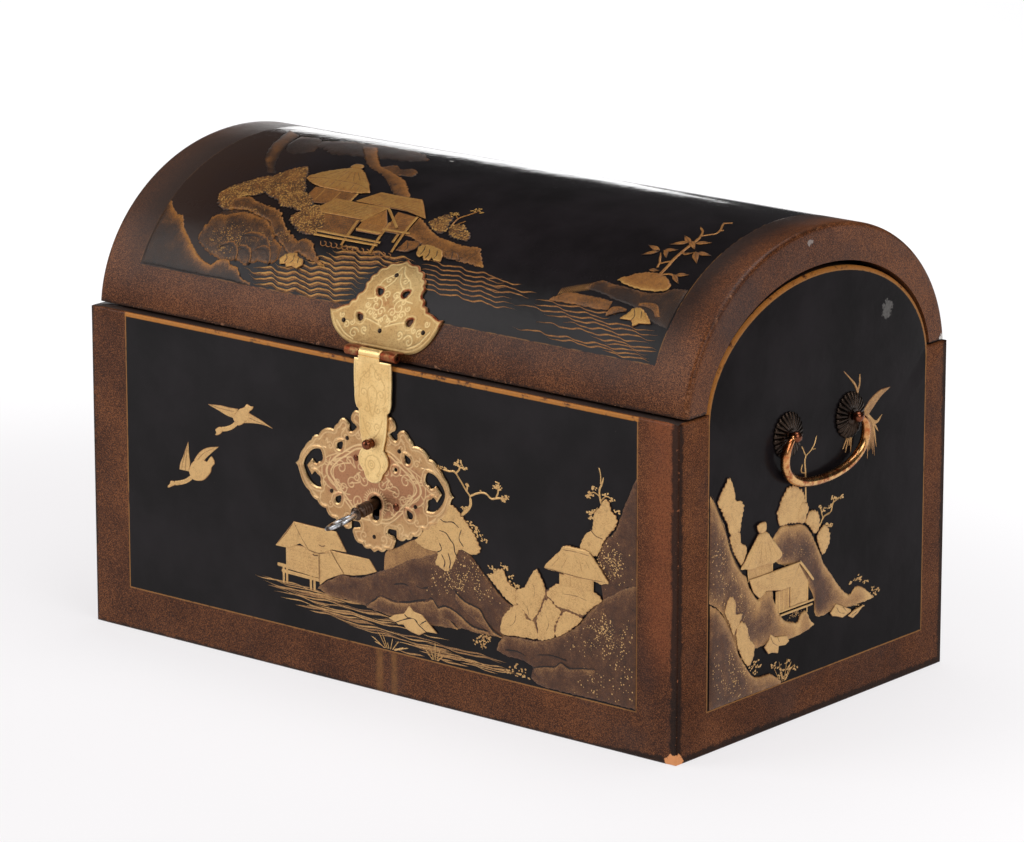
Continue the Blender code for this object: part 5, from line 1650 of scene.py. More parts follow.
class EndPicture(Relief):
    """An end: a thatched hut and a gabled house among hills, bushes and rocks; the left end is plainer."""

    def __init__(self, seed: int, full: bool) -> None:
        """Starts empty.

        Args:
            seed: the start of its random numbers.
            full: whether it has the houses, the bird and the slope behind them.
        """
        super().__init__(seed)
        self.full = full

    def hills(self) -> None:
        """Slopes that come down from the left, and one behind the houses."""
        if self.full:
            behind = self.band([(-49, 137), (-42, 142.6), (-36, 144), (-28, 142), (-18, 141), (-10, 137),
                                (-4, 130), (0, 124), (6, 115), (10, 107), (18, 98), (26, 89), (34, 81),
                                (42, 77), (48, 81), (55, 79.6), (62, 75), (70, 68.4)],
                               [(-46, 120), (-38, 116), (-30, 114), (-24, 112), (-16, 106), (-10, 98),
                                (-4, 90), (0, 82), (0, 75), (3, 69.5), (8, 68.6), (14, 68.8), (22, 70),
                                (32, 69), (42, 67.6), (50, 67.6), (60, 67.6), (70, 68)], 0.9,
                               (0.84, 0.14, 0.62), 0.0, 8.0, ragged=0.3)
            self.seams(0.92, [(3, 70), (9, 77), (16, 81), (19, 85)], width=0.8, gold=0.3)
            self.cloud(behind, (-20, 122), (20, 16), 120, 0.34, 0.9, 0.7)
        slope = self.band([(-119.8, 183), (-114, 176), (-110, 168), (-105, 161), (-101, 150), (-97, 140),
                           (-91, 130), (-84, 121), (-79, 117), (-76, 110), (-70, 102), (-65, 97.6),
                           (-60, 102), (-50, 101), (-48, 94), (-42, 84), (-35, 76), (-27, 73), (-20, 71),
                           (-16, 76), (-10, 77), (-6, 70), (0, 65)],
                          [(-119.6, 107), (-114, 104), (-109, 100), (-104, 95), (-100, 89), (-97, 84),
                           (-94, 78), (-91, 72), (-88, 67), (-84, 64), (-78, 63), (-72, 63), (-66, 63),
                           (-58, 63), (-50, 63), (-42, 62.4), (-34, 61.4), (-27, 61), (-20, 61), (-14, 61.6),
                           (-8, 62.4), (-4, 63.4), (0, 64.6)], 1.0, (0.82, 0.26, 0.56), 0.2, 9.0, ragged=0.3)
        foot = self.band([(-119.6, 106), (-110, 100), (-100, 89), (-94, 78), (-88, 65), (-80, 54), (-72, 45),
                          (-64, 42), (-52, 41.4), (-46, 38), (-38, 33)],
                         [(-119.6, 31.4), (-110, 31.4), (-102, 31.4), (-94, 31.4), (-86, 31.4), (-78, 31.4),
                          (-70, 31.4), (-62, 31.4), (-54, 31.4), (-46, 31.4), (-38, 31.4)], 1.1,
                         (0.66, 0.22, 0.26), 0.6, 8.0, ragged=0.3)
        clouds = ((slope, (-104, 128), (22, 40), 260, 1.2), (slope, (-84, 92), (20, 20), 160, 1.2),
                  (foot, (-92, 52), (26, 22), 260, 1.7))
        for form, centre, spread, count, base in clouds:
            self.cloud(form, centre, spread, count, 0.40, base, 0.9)
        self.seams(1.2, [(-119, 183), (-110, 167), (-101, 149), (-92, 131), (-84, 120.6)], width=0.6,
                   gold=0.1)

    def bushes(self) -> None:
        """Leafy masses on the slopes."""
        self.bush([(-98, 151), (-97, 143), (-91, 133), (-85, 126.6), (-80, 133), (-80, 139), (-86, 143),
                   (-88, 151)], 0.84, 0.9, 0.6, 0.7)
        self.bush([(-112, 176), (-108, 169), (-102, 160), (-98, 151), (-88, 151), (-86, 158), (-83, 167),
                   (-86, 172), (-92, 174), (-94, 181), (-98, 189), (-101, 191), (-105, 186), (-109, 183)],
                  0.9, 1.0, 0.6, 0.9)
        self.bush([(-104, 97), (-99, 89), (-94, 79), (-91, 82), (-86, 87), (-84, 92), (-91, 93), (-92, 102),
                   (-96, 107), (-101, 105)], 0.84, 1.2, 0.6, 0.7)
        self.bush([(-91, 81), (-89, 70), (-83, 59), (-76, 52.6), (-71, 59), (-70, 66), (-76, 73), (-79, 82),
                   (-86, 87)], 0.88, 1.3, 0.6, 0.7, 60)
        if self.full:
            self.bush([(-45, 155), (-44, 149), (-41, 144.6), (-32, 144), (-22, 142.6), (-14, 142), (-12, 150),
                       (-13, 158), (-15, 163), (-23, 169), (-31, 171), (-38, 166), (-42, 160)], 0.9, 0.6, 0.6,
                      0.9)
            self.bush([(-21, 143), (-14, 141), (-11, 146), (-9, 151), (-13, 156), (-18, 156), (-22, 150)],
                      0.86, 0.8, 0.6, 0.6)
            self.bush([(-13, 141.6), (-8, 137), (-2, 130.4), (3, 133), (4, 140), (1, 146), (-7, 148.4)], 0.88,
                      0.9, 0.6, 0.6)
            self.bush([(1, 128), (4, 119), (8, 113.4), (14, 118), (16, 125), (13, 132.6), (7, 134)], 0.88,
                      1.0, 0.6, 0.7)
            self.twig([[(-11, 152), (-11.6, 164), (-12, 176), (-13, 184), (-12, 188)],
                       [(-12, 188), (-15, 193), (-17, 196)], [(-12, 188), (-6, 191), (-2, 195), (0, 200)],
                       [(-13, 176), (-17, 178), (-16, 183)], [(-5, 191.4), (-1, 191)]], [], 1.6, 0.84, 0.1)
            self.twig([[(5, 134), (10, 140), (18, 142), (21, 148), (30, 150)], [(9, 139), (7, 144), (6, 148)],
                       [(21, 148), (21, 151)], [(12, 132), (17, 133)]],
                      [(5, 148), (10, 145), (21, 152), (25, 150), (30, 150), (14, 133.4), (18, 132),
                       (17, 146)], 1.3, 0.84, 0.1, 9, 1.7)

    def houses(self) -> None:
        """The conical thatched hut and the gabled house in front of it."""
        self.band([(-78, 122), (-49, 121)], [(-77, 113), (-49, 113)], 0.3, (0.74, 0.74, 0.74), 0.8,
                  sharp=True)
        self.posts([(-64, 121, 114), (-50, 120, 114)], 1.4, 0.86, 0.9)
        self.band([(-86, 125), (-78, 133), (-70, 141), (-66, 144.6), (-58, 144.6), (-50, 137), (-43, 129.6),
                   (-39.6, 125)],
                  [(-86, 123.6), (-79, 122), (-72, 120.4), (-66, 121), (-58, 120.6), (-51, 120), (-45, 121),
                   (-39.6, 123.6)], 0.9, (0.96, 0.9, 0.84), 1.2, ragged=0.3)
        self.blob([(-66, 145), (-59, 145), (-58, 149.6), (-60, 152), (-66, 152), (-69, 150)], 0.6,
                  (0.94, 0.86), 1.6)
        self.seams(2.12, *([(-62 + (x + 62) * 0.35, 140), (x, 124)] for x in (-79, -72, -65, -58, -51, -45)),
                   width=0.3, gold=0.62)
        self.band([(-46, 99), (-30, 99)], [(-46, 83.6), (-30, 83.6)], 0.3, (0.74, 0.74, 0.74), 1.1,
                  sharp=True)
        self.blob([(-19.6, 113), (-30, 99), (-30, 84), (-9, 84), (-9, 99)], 0.4, (0.88, 0.86), 1.1,
                  sharp=True)
        self.blob([(-77, 114.4), (-72, 104), (-65, 98.4), (-58, 102), (-48, 100), (-40, 98.4), (-29, 98.4),
                   (-18.6, 114.6)], 0.6, (0.9, 0.86), 1.3, sharp=True)
        self.ruled([(-73, 112), (-70, 105)], [(-22, 113), (-29, 100)], 6, 0.64, 1.86, 0.3)
        self.ruled([(-29, 97), (-29, 85)], [(-10, 97), (-10, 85)], 5, 0.66, 1.46, 0.3)
        self.stroke([(-19, 114.6), (-11, 106.6), (-3, 98)], 2.0, 0.4, 0.94, 1.5, (1.0, 0.8), True, 12)
        self.posts([(-42, 98, 83), (-37, 98, 83), (-32, 98, 83), (-9.4, 98, 83), (-10, 81, 76)], 1.1, 0.94,
                   1.4)
        self.boards((-42, 83.4, -2, 83.4), (-41, 80.6, -4, 80.6), width=1.6, gold=0.94, base=1.5)
        self.cloud(np.array([(-36, 70), (-8, 70), (-8, 82), (-36, 82)]), (-22, 77), (8, 3), 40, 0.4, 0.1, 0.7)

    def rocks(self) -> None:
        """Low gold rocks and leaves on the water's edge."""
        stones = (([(-59, 62), (-54, 56), (-50, 56), (-43, 54), (-42, 59), (-34, 58), (-30, 60), (-33, 64.6),
                    (-40, 66), (-47, 67), (-52, 70), (-54, 66)],
                   ([(-52, 68), (-49, 63), (-44, 60)], [(-44, 66), (-42, 62)])),
                  ([(17, 69), (20, 66), (24, 65), (32, 62), (42, 64.4), (42, 66), (32, 71), (24, 74.4)],
                   ([(24, 72), (28, 67), (34, 65)], [(32, 70), (36, 66)])),
                  ([(38, 62), (44, 59), (50, 61), (57, 66), (46, 65)], ([(42, 61.4), (48, 63)],)))
        for outline, lines in stones:
            self.blob(outline, 0.6, (0.96, 0.9), 1.2, sharp=True)
            self.seams(1.82, *lines, width=0.6, gold=0.35)
        self.leaves([(-46, 46), (-41, 43), (-36, 40), (-30, 45), (-28, 40), (-34, 35), (-22, 38), (-40, 36),
                     (-72, 50), (-66, 53), (-64, 50), (-68, 46), (44, 85), (49, 87), (54, 85), (60, 81),
                     (66, 71), (70, 75), (76, 73), (72, 70), (52, 66), (56, 64)], 2.4, 8, 0.6, 0.4, 0.8)
        for u, v in ((-47, 46), (-40, 47), (-31, 47), (-22, 41), (-26, 44)):
            self.stroke([(-35 + (u + 35) * 0.2, 32), (-35 + (u + 35) * 0.6, 38), (u, v)], 0.5, 0.2, 0.76, 0.3,
                        (1.0, 0.2))

    def bird(self) -> None:
        """A long-tailed bird flying behind the rosette."""
        self.band([(31, 240), (38, 234), (44, 229), (49, 222)],
                  [(31, 239), (39, 231.6), (44, 226), (47, 219)], 0.4, (0.62, 0.66, 0.6), 0.1)
        self.stroke([(47, 221), (49.6, 227), (49.6, 234)], 1.7, 0.4, 0.66, 0.1, (1.0, 0.2))
        self.band([(55, 208), (63, 214), (74, 218), (86, 218)],
                  [(57, 200), (65, 206), (75, 213), (86, 217.4)], 0.4, (0.6, 0.55, 0.5), 0.1)
        for share in np.linspace(0, 1, 9):
            tip = (60 + 17 * share, 171 + 26 * share ** 2 + 6 * math.sin(share * 9))
            path = [(57 + 3 * share, 203), ((58 + tip[0]) / 2 + 2, 192 + 4 * share), tip]
            self.stroke(path, 1.6, 0.3, 0.5 + 0.2 * (share > 0.5), 0.1, (1.0, 0.1))
        for u, v in ((31, 184), (34, 181), (38, 185), (40, 180)):
            self.stroke([(42, 199), ((u + 42) / 2, 192), (u, v)], 1.5, 0.3, 0.62, 0.1, (1.0, 0.2))

    def build(self, finish: bpy.types.Material) -> None:
        """Lays the picture on its end: the left one has water where the right one has houses and a bird.

        Args:
            finish: its material.
        """
        self.hills()
        self.bushes()
        if self.full:
            self.houses()
        self.rocks()
        if self.full:
            self.bird()
            self.settle("right_end_picture", RIGHT, finish, Body.CASE)
            return
        for number in range(14):
            self.water(-30 + 6 * number, 40 + 5 * number, 62 - 1.6 * number, 0.5, 0.7, 0.6, 40.0, 1.0)
        self.settle("left_end_picture", LEFT, finish, Body.CASE)


class BackPicture(Relief):
    """The back, plainer than the front: far hills, a few bushes and rocks by calm water, and a goose."""

    def build(self, finish: bpy.types.Material) -> None:
        """Lays it on the back.

        Args:
            finish: its material.
        """
        left = self.band([(-234, 96), (-210, 92), (-188, 78), (-160, 70), (-136, 56), (-110, 50), (-90, 42)],
                         [(-234, 34), (-210, 34), (-188, 34), (-160, 34), (-136, 34), (-110, 34), (-90, 34)],
                         0.7, (0.42, 0.2, 0.2), 0.0, 5.0, ragged=0.6)
        right = self.band([(30, 70), (60, 84), (88, 98), (116, 92), (140, 104), (170, 120), (200, 112),
                           (234, 126)],
                          [(30, 66), (60, 62), (88, 58), (116, 60), (140, 58), (170, 60), (200, 58),
                           (234, 60)], 0.6, (0.4, 0.2, 0.2), 0.0, 5.0, ragged=0.6)
        for u, v, size in ((-200, 86, 11), (-176, 76, 8), (86, 98, 9), (168, 118, 12), (200, 114, 9)):
            for side, lift, share in ((-0.9, 0.45, 0.7), (0.95, 0.35, 0.62), (0.0, 1.0, 1.0)):
                a = np.linspace(0, 2 * math.pi, 11, endpoint=False)
                reach = share * size * (1 + 0.16 * np.sin(3 * a + u + side) + 0.12 * np.cos(5 * a + v))
                across = u + side * size + reach * np.cos(a)
                up = v + lift * size + 1.15 * reach * np.sin(a)
                outline = np.column_stack([across, up])
                self.bush(outline.tolist(), 0.84, 0.4 + 0.3 * share, 0.6, 0.9)
        for u, v, lean in ((-176, 84, 1), (176, 132, -1)):
            self.twig([[(u, v), (u + 3 * lean, v + 9), (u + 2 * lean, v + 18)],
                       [(u + 3 * lean, v + 9), (u + 9 * lean, v + 13), (u + 17 * lean, v + 14)],
                       [(u + 2 * lean, v + 14), (u - 5 * lean, v + 19), (u - 8 * lean, v + 25)]],
                      [(u + 2 * lean, v + 20), (u + 17 * lean, v + 15), (u - 8 * lean, v + 26),
                       (u + 10 * lean, v + 15)], 1.8, 0.86, 0.1, 10)
        for u, v in ((-60, 46), (10, 60), (-20, 40)):
            self.blob([(u - 9, v), (u - 3, v - 4), (u + 5, v - 2), (u + 9, v + 3), (u + 2, v + 7),
                       (u - 6, v + 5)], 0.5, (0.9, 0.86), 0.2, sharp=True)
        for number in range(16):
            self.water(-84 + 5 * number, 60 + 9 * number, 56 - 1.3 * number, 0.5, 0.8, 0.7, 40.0, 1.0)
        self.cloud(left, (-196, 62), (34, 22), 260, 0.42, 0.75)
        self.cloud(right, (160, 84), (80, 24), 300, 0.42, 0.65)
        self.band([(-16, 176), (-6, 180), (6, 178)], [(-16, 175), (-6, 174), (6, 173)], 0.4, (0.9, 0.9, 0.9),
                  0.1)
        self.blob([(-2, 168), (8, 171), (14, 178), (8, 180), (0, 175)], 0.5, (0.94, 0.86), 0.2)
        self.settle("back_picture", BACK, finish, Body.CASE)


class LidPicture(Relief):
    """The lid: mountains, a village on stilts, rocks, water and an islet, in browner gold."""

    def mountains(self) -> None:
        """Dark slopes in the upper left, an orange ridge and a shore that runs down to the right."""
        self.band([(-204, 198), (-197, 180), (-188, 160), (-178, 142), (-169, 131)],
                  [(-224, 210), (-213, 188), (-204, 166), (-192, 146), (-176, 130)], 0.2, (0.1, 0.36, 0.05),
                  0.0, 3.0, ragged=0.6)
        self.band([(-200, 196), (-190, 200), (-180, 196), (-172, 184), (-166, 172)],
                  [(-196, 176), (-190, 168), (-184, 162), (-176, 162), (-168, 168)], 0.2, (0.34, 0.14, 0.1),
                  0.0, 4.0, ragged=0.8)
        self.band([(-176, 196), (-160, 206), (-148, 208), (-134, 212), (-118, 211), (-100, 210), (-86, 203),
                   (-76, 193)],
                  [(-176, 180), (-162, 178), (-148, 172), (-132, 176), (-114, 178), (-98, 182), (-86, 184),
                   (-76, 190)], 0.3, (0.40, 0.14, 0.1), 0.0, 4.0, ragged=1.6)
        self.blob([(-94, 160), (-80, 154), (-70, 157), (-61, 158), (-62, 165), (-70, 170), (-78, 166),
                   (-86, 171), (-93, 167)], 0.4, (0.3, 0.46), 0.1, 1.0)
        self.band([(-132, 203), (-118, 187), (-104, 172), (-94, 164), (-84, 160), (-74, 156), (-64, 152),
                   (-54, 144), (-41, 131)],
                  [(-144, 200), (-130, 185), (-115, 170), (-102, 160), (-92, 156), (-82, 151), (-71, 143),
                   (-60, 134), (-52, 130)], 0.5, (0.66, 0.34, 0.3), 0.2, 3.0, ragged=0.8)
        self.band([(-235.8, 86), (-224, 76), (-216, 74), (-210, 66), (-200, 58), (-190, 50), (-180, 44),
                   (-171, 41.5), (-166, 46), (-158, 48), (-152, 44), (-146, 43), (-139, 36), (-130, 34)],
                  [(-235.8, 33), (-230, 32.8), (-224, 32.8), (-216, 32.8), (-208, 32.8), (-196, 32.8),
                   (-182, 32.8), (-170, 32.6), (-162, 32.6), (-155, 32.6), (-148, 32.6), (-142, 32.4),
                   (-136, 32.2), (-130, 32)], 0.6, (0.78, 0.20, 0.0), 0.0, 4.0, ragged=0.5)

    def village(self) -> None:
        """A conical thatched hut, two pavilions on stilts and their rail."""
        self.band([(-124, 124), (-84, 124)], [(-124, 106), (-84, 110)], 0.3, (0.5, 0.46, 0.46), 0.5,
                  sharp=True)
        self.posts([(-113.6, 122, 110), (-84.6, 124, 114), (-99, 122, 112)], 2.2, 0.8, 0.6)
        self.band([(-139, 133), (-130, 143), (-118, 152), (-108, 155.6), (-96, 148), (-84, 137),
                   (-75.6, 128)],
                  [(-139, 131), (-128, 126), (-118, 124), (-106, 123.6), (-96, 123.6), (-84, 124.4),
                   (-75.6, 127)], 0.8, (0.84, 0.78, 0.7), 0.8, ragged=0.4)
        self.blob([(-116, 154), (-107, 154), (-106, 158), (-110, 161), (-116, 160)], 0.4, (0.8, 0.7), 1.2)
        thatch = [[(-110 + (x + 108) * 0.4, 148), (x, 136)] for x in (-126, -119, -112, -105, -98, -91)]
        eaves = [[(x, 132), (x + (x + 108) * 0.08, 126)] for x in range(-130, -82, 6)]
        self.seams(1.62, [(-136, 131), (-124, 134), (-108, 134), (-92, 133.6), (-79, 130)], *thatch, *eaves,
                   width=0.4, gold=0.34)
        self.blob([(-67, 130), (-80, 115.4), (-30, 114.4), (-10, 110.4), (-22, 124), (-28, 130)], 0.6,
                  (0.76, 0.72), 0.7, sharp=True)
        self.blob([(-38, 113), (-36, 92), (-18, 92), (-18, 111)], 0.3, (0.5, 0.56), 0.5, sharp=True)
        self.band([(-98, 100), (-62, 100)], [(-92, 82), (-62, 82)], 0.3, (0.44, 0.42, 0.42), 0.6, sharp=True)
        self.blob([(-48, 113), (-60, 98), (-60, 88), (-37, 88), (-37, 99)], 0.4, (0.62, 0.64), 0.8,
                  sharp=True)
        self.blob([(-97, 114.6), (-105, 104), (-100, 98.4), (-61, 98.4), (-47, 114.6)], 0.6, (0.78, 0.74),
                  0.9, sharp=True)
        self.ruled([(-66, 128), (-78, 116)], [(-29, 128), (-14, 112)], 8, 0.3, 1.28, 0.45)
        self.ruled([(-96, 113), (-102, 100)], [(-50, 113), (-61, 100)], 8, 0.3, 1.48, 0.45)
        self.ruled([(-96, 98), (-92, 84)], [(-64, 98), (-64, 84)], 7, 0.22, 0.88, 0.4)
        self.ruled([(-58, 97), (-58, 89)], [(-38, 97), (-38, 89)], 5, 0.3, 1.18, 0.4)
        self.ruled([(-35, 111), (-35, 94)], [(-19, 109), (-19, 94)], 8, 0.3, 0.8, 0.4)
        self.stroke([(-61, 97), (-48, 114.6), (-27, 97)], 2.0, 0.4, 0.84, 1.2, (0.9, 0.9), True, 16)
        self.posts([(-64, 98, 74), (-36.4, 101, 72), (-18.6, 111, 76), (-22.6, 92, 84), (-92, 82, 78)], 2.4,
                   0.8, 0.9)
        self.boards((-92, 82.4, -32, 82), (-92, 79, -33, 79.4), (-38, 94, -13, 94.4), (-60, 90, -36, 90),
                    width=1.9, gold=0.84, base=1.2)
        self.seams(1.7, [(-92, 80.8), (-62, 80.8), (-33, 80.8)], width=0.5, gold=0.2)
        for u in np.linspace(-84, -24, 13):
            self.stroke([(u, 75), (u + 2, 72), (u + 5, 71.6), (u + 6, 74), (u + 3, 75.4)], 0.7, 0.2, 0.56,
                        0.3, (0.6, 0.6))

    def trees(self) -> None:
        """Round leafy trees left of the village and a bush behind the shore."""
        for outline, dots in (([(-168, 126), (-164, 112), (-156, 106), (-144, 104), (-134, 110), (-129, 118),
                                (-137, 128), (-144, 140), (-151, 146), (-160, 138)], 120),
                              ([(-198, 100), (-195, 93), (-188, 87), (-179, 86), (-178, 93), (-174, 101),
                                (-165, 104), (-158, 112), (-162, 124), (-171, 126), (-182, 118), (-192, 109)],
                               150),
                              ([(-144, 104), (-138, 98), (-128, 98), (-117, 97), (-112, 104), (-118, 112),
                                (-130, 116), (-140, 112)], 90),
                              ([(-122, 88), (-114, 82), (-104, 78), (-92, 79), (-89, 88), (-96, 99),
                                (-104, 105), (-112, 104), (-119, 96)], 110),
                              ([(-6, 108), (0, 103), (8, 100), (14, 102), (12, 110), (10, 117), (4, 119.4),
                                (-2, 115)], 60),
                              ([(14, 108), (18, 100), (26, 98), (36, 97.4), (37, 102), (29, 108), (22, 112)],
                               50)):
            self.bush(outline, 0.39, 0.4, 0.6, 1.2, 3 * dots, 0.54)
        self.twig([[(14, 108), (14, 117), (19, 123), (24, 129)], [(14, 117), (9, 121)],
                   [(16, 110), (22, 116)]], [(9, 122), (6, 121), (20, 129), (26, 128.6), (22, 131)], 1.4,
                  0.62, 0.3, 8, 1.9)

    def rocks(self) -> None:
        """The big rock with rolled orange edges, the small gold ones and the far bank's stones."""
        self.blob([(-190, 60), (-176, 50), (-150, 49), (-128, 51), (-112, 54), (-90, 60), (-100, 68),
                   (-118, 78), (-134, 88), (-158, 94), (-176, 92), (-188, 78)], 0.2, (0.26, 0.2))
        rock = self.band([(-193, 62), (-190, 72), (-188, 80), (-176, 83), (-166, 87), (-154, 86), (-142, 84),
                          (-132, 78), (-124, 70), (-114, 64)],
                         [(-193, 60), (-186, 54), (-176, 49), (-168, 47), (-160, 46), (-150, 48), (-140, 46),
                          (-130, 50), (-120, 50), (-112, 54)], 0.8, (0.72, 0.27, 0.5), 0.1, 2.4, ragged=0.9)
        ridge = self.band([(-180, 90), (-179, 98), (-170, 101), (-160, 98), (-150, 96), (-138, 94),
                           (-130, 90), (-122, 82), (-112, 76), (-104, 72), (-96, 74), (-88, 71), (-84, 66),
                           (-76, 60), (-69, 56.6)],
                          [(-180, 86), (-173, 88), (-165, 89), (-156, 87.4), (-146, 85), (-137, 82),
                           (-129, 75), (-120, 69), (-111, 64), (-104, 60), (-97, 62), (-90, 60), (-84, 58),
                           (-76, 56.6), (-69, 56)], 0.9, (0.74, 0.29, 0.6), 0.5, 2.2, ragged=0.9)
        for upper in ([(-168, 57), (-163, 61), (-156, 61), (-151, 56), (-149, 50)],
                      [(-151, 60), (-144, 60), (-138, 56), (-136, 49)],
                      [(-135, 61), (-127, 63), (-121, 59), (-118, 52)],
                      [(-152, 70), (-142, 72), (-132, 70), (-124, 64)]):
            self.band(upper, [(u - 1.6, v - 3.4) for u, v in upper], 0.5, (0.8, 0.2, 0.1), 0.8, 1.2,
                      ragged=0.5)
        clouds = ((rock, (-168, 62), (16, 12), 180, 0.9), (ridge, (-160, 88), (22, 6), 130, 1.4),
                  (ridge, (-114, 76), (12, 8), 80, 1.4), (rock, (-150, 66), (22, 10), 90, 0.9))
        for form, centre, spread, count, base in clouds:
            self.cloud(form, centre, spread, count, 0.38, base, 0.8)
        self.band([(-18, 112), (-10, 108), (0, 102), (10, 97), (22, 95), (36, 93), (50, 94), (56, 88),
                   (63, 79)],
                  [(-18, 93), (-8, 91), (0, 88), (10, 84), (22, 82), (34, 80), (46, 79), (54, 78.6),
                   (63, 78)], 0.6, (0.68, 0.36, 0.6), 0.1, 3.0, ragged=0.7)
        stones = (([(-16, 78), (-6, 78), (0, 82), (2, 88), (-4, 89), (-12, 88)], 0.4,
                   ([(-10, 87), (-7, 82), (-8, 79)],)),
                  ([(1, 85), (3, 78), (7, 76), (9, 78), (12, 74.6), (17, 75), (18, 78), (21, 75.6),
                    (27, 75.6), (26, 81), (23, 85), (15, 87.4), (7, 88)], 0.86,
                   ([(7, 86), (8, 82), (7, 78)], [(12, 84), (14, 80), (13, 76)],
                    [(19, 84), (21, 80), (20, 77)])),
                  ([(26, 84), (30, 79), (42, 79.6), (37, 85), (30, 86)], 0.42, ([(32, 85), (35, 80)],)),
                  ([(-111, 55), (-109, 51), (-104, 52), (-102, 49.6), (-97, 51), (-92, 50), (-88, 54),
                    (-90, 58), (-95, 59), (-98, 62), (-104, 61), (-108, 59)], 0.86,
                   ([(-106, 59), (-104, 56), (-105, 53)], [(-99, 60), (-98, 56), (-100, 53)],
                    [(-94, 58), (-93, 54)])))
        for outline, gold, lines in stones:
            self.blob(outline, 0.6, (gold, gold + 0.06), 0.9, 0.3, sharp=True)
            self.seams(1.52, *lines, width=0.8, gold=0.0)

    def islet(self) -> None:
        """The islet on the right with a mound, grasses and a leafy plant."""
        self.band([(154, 77), (160, 84), (165, 86), (176, 84.6), (186, 84), (200, 83), (214, 84), (224, 90),
                   (235, 91)],
                  [(154, 76.6), (166, 76), (176, 74), (186, 72), (200, 70), (210, 67), (218, 62), (226, 60),
                   (235, 58)], 0.5, (0.4, 0.2, 0.2), 0.0, 3.0, ragged=0.6)
        self.band([(131, 64), (138, 69), (146, 72), (158, 71.6), (170, 72), (182, 71)],
                  [(131, 63), (144, 63), (154, 63), (164, 63), (174, 63), (182, 64)], 0.6, (0.5, 0.4, 0.5),
                  0.2, 3.0, ragged=0.5)
        self.band([(176, 89), (182, 93), (188, 97), (196, 99.6), (206, 100), (214, 97), (220, 92)],
                  [(176, 88), (184, 86), (192, 84.6), (202, 84), (210, 84.6), (216, 86), (220, 88.4)], 0.7,
                  (0.6, 0.56, 0.9), 0.4, 3.0, ragged=0.5)
        self.blob([(195, 59), (204, 59), (208, 55.6), (213, 58), (221, 59.4), (218, 63), (213, 67),
                   (208, 69.4), (203, 69), (199, 64)], 0.6, (0.9, 0.9), 0.8, 0.5)
        self.seams(1.42, [(203, 68), (206, 63), (205, 59)], [(210, 67), (212, 62)], width=0.6, gold=0.25)
        self.band([(182, 60), (184, 66), (190, 68), (197, 67)], [(183, 59), (187, 61), (191, 63), (197, 65)],
                  0.5, (0.6, 0.4, 0.3), 0.6, 2.0)
        self.band([(204, 73), (212, 75), (220, 74), (226, 66)], [(204, 71), (212, 71), (218, 69), (222, 65)],
                  0.5, (0.56, 0.4, 0.4), 0.6, 2.0)
        self.twig([[(205, 99), (206, 108), (206, 117), (207, 128), (208, 140), (207, 147)],
                   [(207, 146), (204, 153), (198, 158.6)],
                   [(207, 147), (212, 151), (215, 154), (214, 160), (211, 166), (208, 172)],
                   [(206, 114), (202, 112), (198, 110.6), (192, 120)], [(198, 110), (199, 105)],
                   [(207, 124), (211, 124), (216, 126.6)], [(207, 100), (212, 101.6), (216, 101)],
                   [(214, 158), (217, 160)], [(209, 171), (214, 174)]], [], 2.6, 0.62, 0.2)
        for root, tip in (((190, 122), (177, 125.6)), ((190, 121), (179, 114.4)), ((193, 125), (200, 115.4)),
                          ((192, 122.6), (203, 126.6)), ((205, 137), (192, 130)), ((206, 135.6), (195, 144)),
                          ((204, 139), (214.6, 129.6)), ((209, 136.6), (221, 141)),
                          ((216, 128), (226, 115.6)), ((218, 127), (231, 126.4)), ((209, 122), (216, 126)),
                          ((194, 102), (203, 103)), ((217, 101.6), (227.6, 104)), ((215, 102), (224.6, 94.4)),
                          ((200, 104), (199, 99))):
            root, tip = np.array(root), np.array(tip)
            way = tip - root
            middle, side = (root + tip) / 2, np.array((-way[1], way[0])) * 0.16
            self.band([root, middle + side - way * 0.12, tip], [root, middle - side - way * 0.12, tip], 0.4,
                      (0.6, 0.5, 0.56), 0.4, 2.0)
            self.stroke([root, tip], 0.4, 0.12, 0.25, 0.78, sharp=True, count=5)
        for u in np.linspace(136, 158, 16):
            self.stroke([(u, 68 + (u - 136) * 0.35), (u + 1, 74 + (u - 136) * 0.4)], 0.5, 0.15, 0.7, 0.3,
                        sharp=True, count=4)

    def waves(self) -> None:
        """Rolling waves before the village and calmer lines round the islet."""
        for number in range(11):
            height = 74 - 3.9 * number
            left = np.interp(height, (34, 44, 56, 66, 75), (-126, -142, -96, -74, -66))
            right = np.interp(height, (34, 50, 62, 75), (-34, -30, -22, 8))
            for below, gold, width in ((0.0, 0.74, 1.1), (0.9, 0.5, 0.7), (1.8, 0.4, 0.5)):
                self.water(left + 3 * below, right - 4 * below, height - below, gold, width, 1.3, 25.0, 0.6,
                           0.12)
        for number in range(7):
            self.water(14 - 2 * number, 84 + 4 * number, 75.6 - 3.6 * number, 0.56, 1.0, 0.9, 24.0, 3.0, 0.12)
        waves = ((70, 102, 71), (66, 118, 66.6), (72, 114, 63), (120, 190, 61.8), (120, 186, 58.6),
                 (103, 226, 55.4), (132, 230, 52.6), (150, 230, 49.4), (128, 226, 46.2), (176, 234, 43),
                 (190, 234, 41), (110, 228, 39), (140, 230, 36.8), (190, 231, 34.6))
        for left, right, height in waves:
            self.water(left, right, height, 0.55, 0.95, 0.8, 27.0, 0.6)

    def build(self, finish: bpy.types.Material) -> None:
        """Lays the whole picture on the lid.

        Args:
            finish: its material.
        """
        self.waves()
        self.mountains()
        self.trees()
        self.rocks()
        self.village()
        self.islet()
        self.settle("lid_picture", LID, finish, Body.LID)


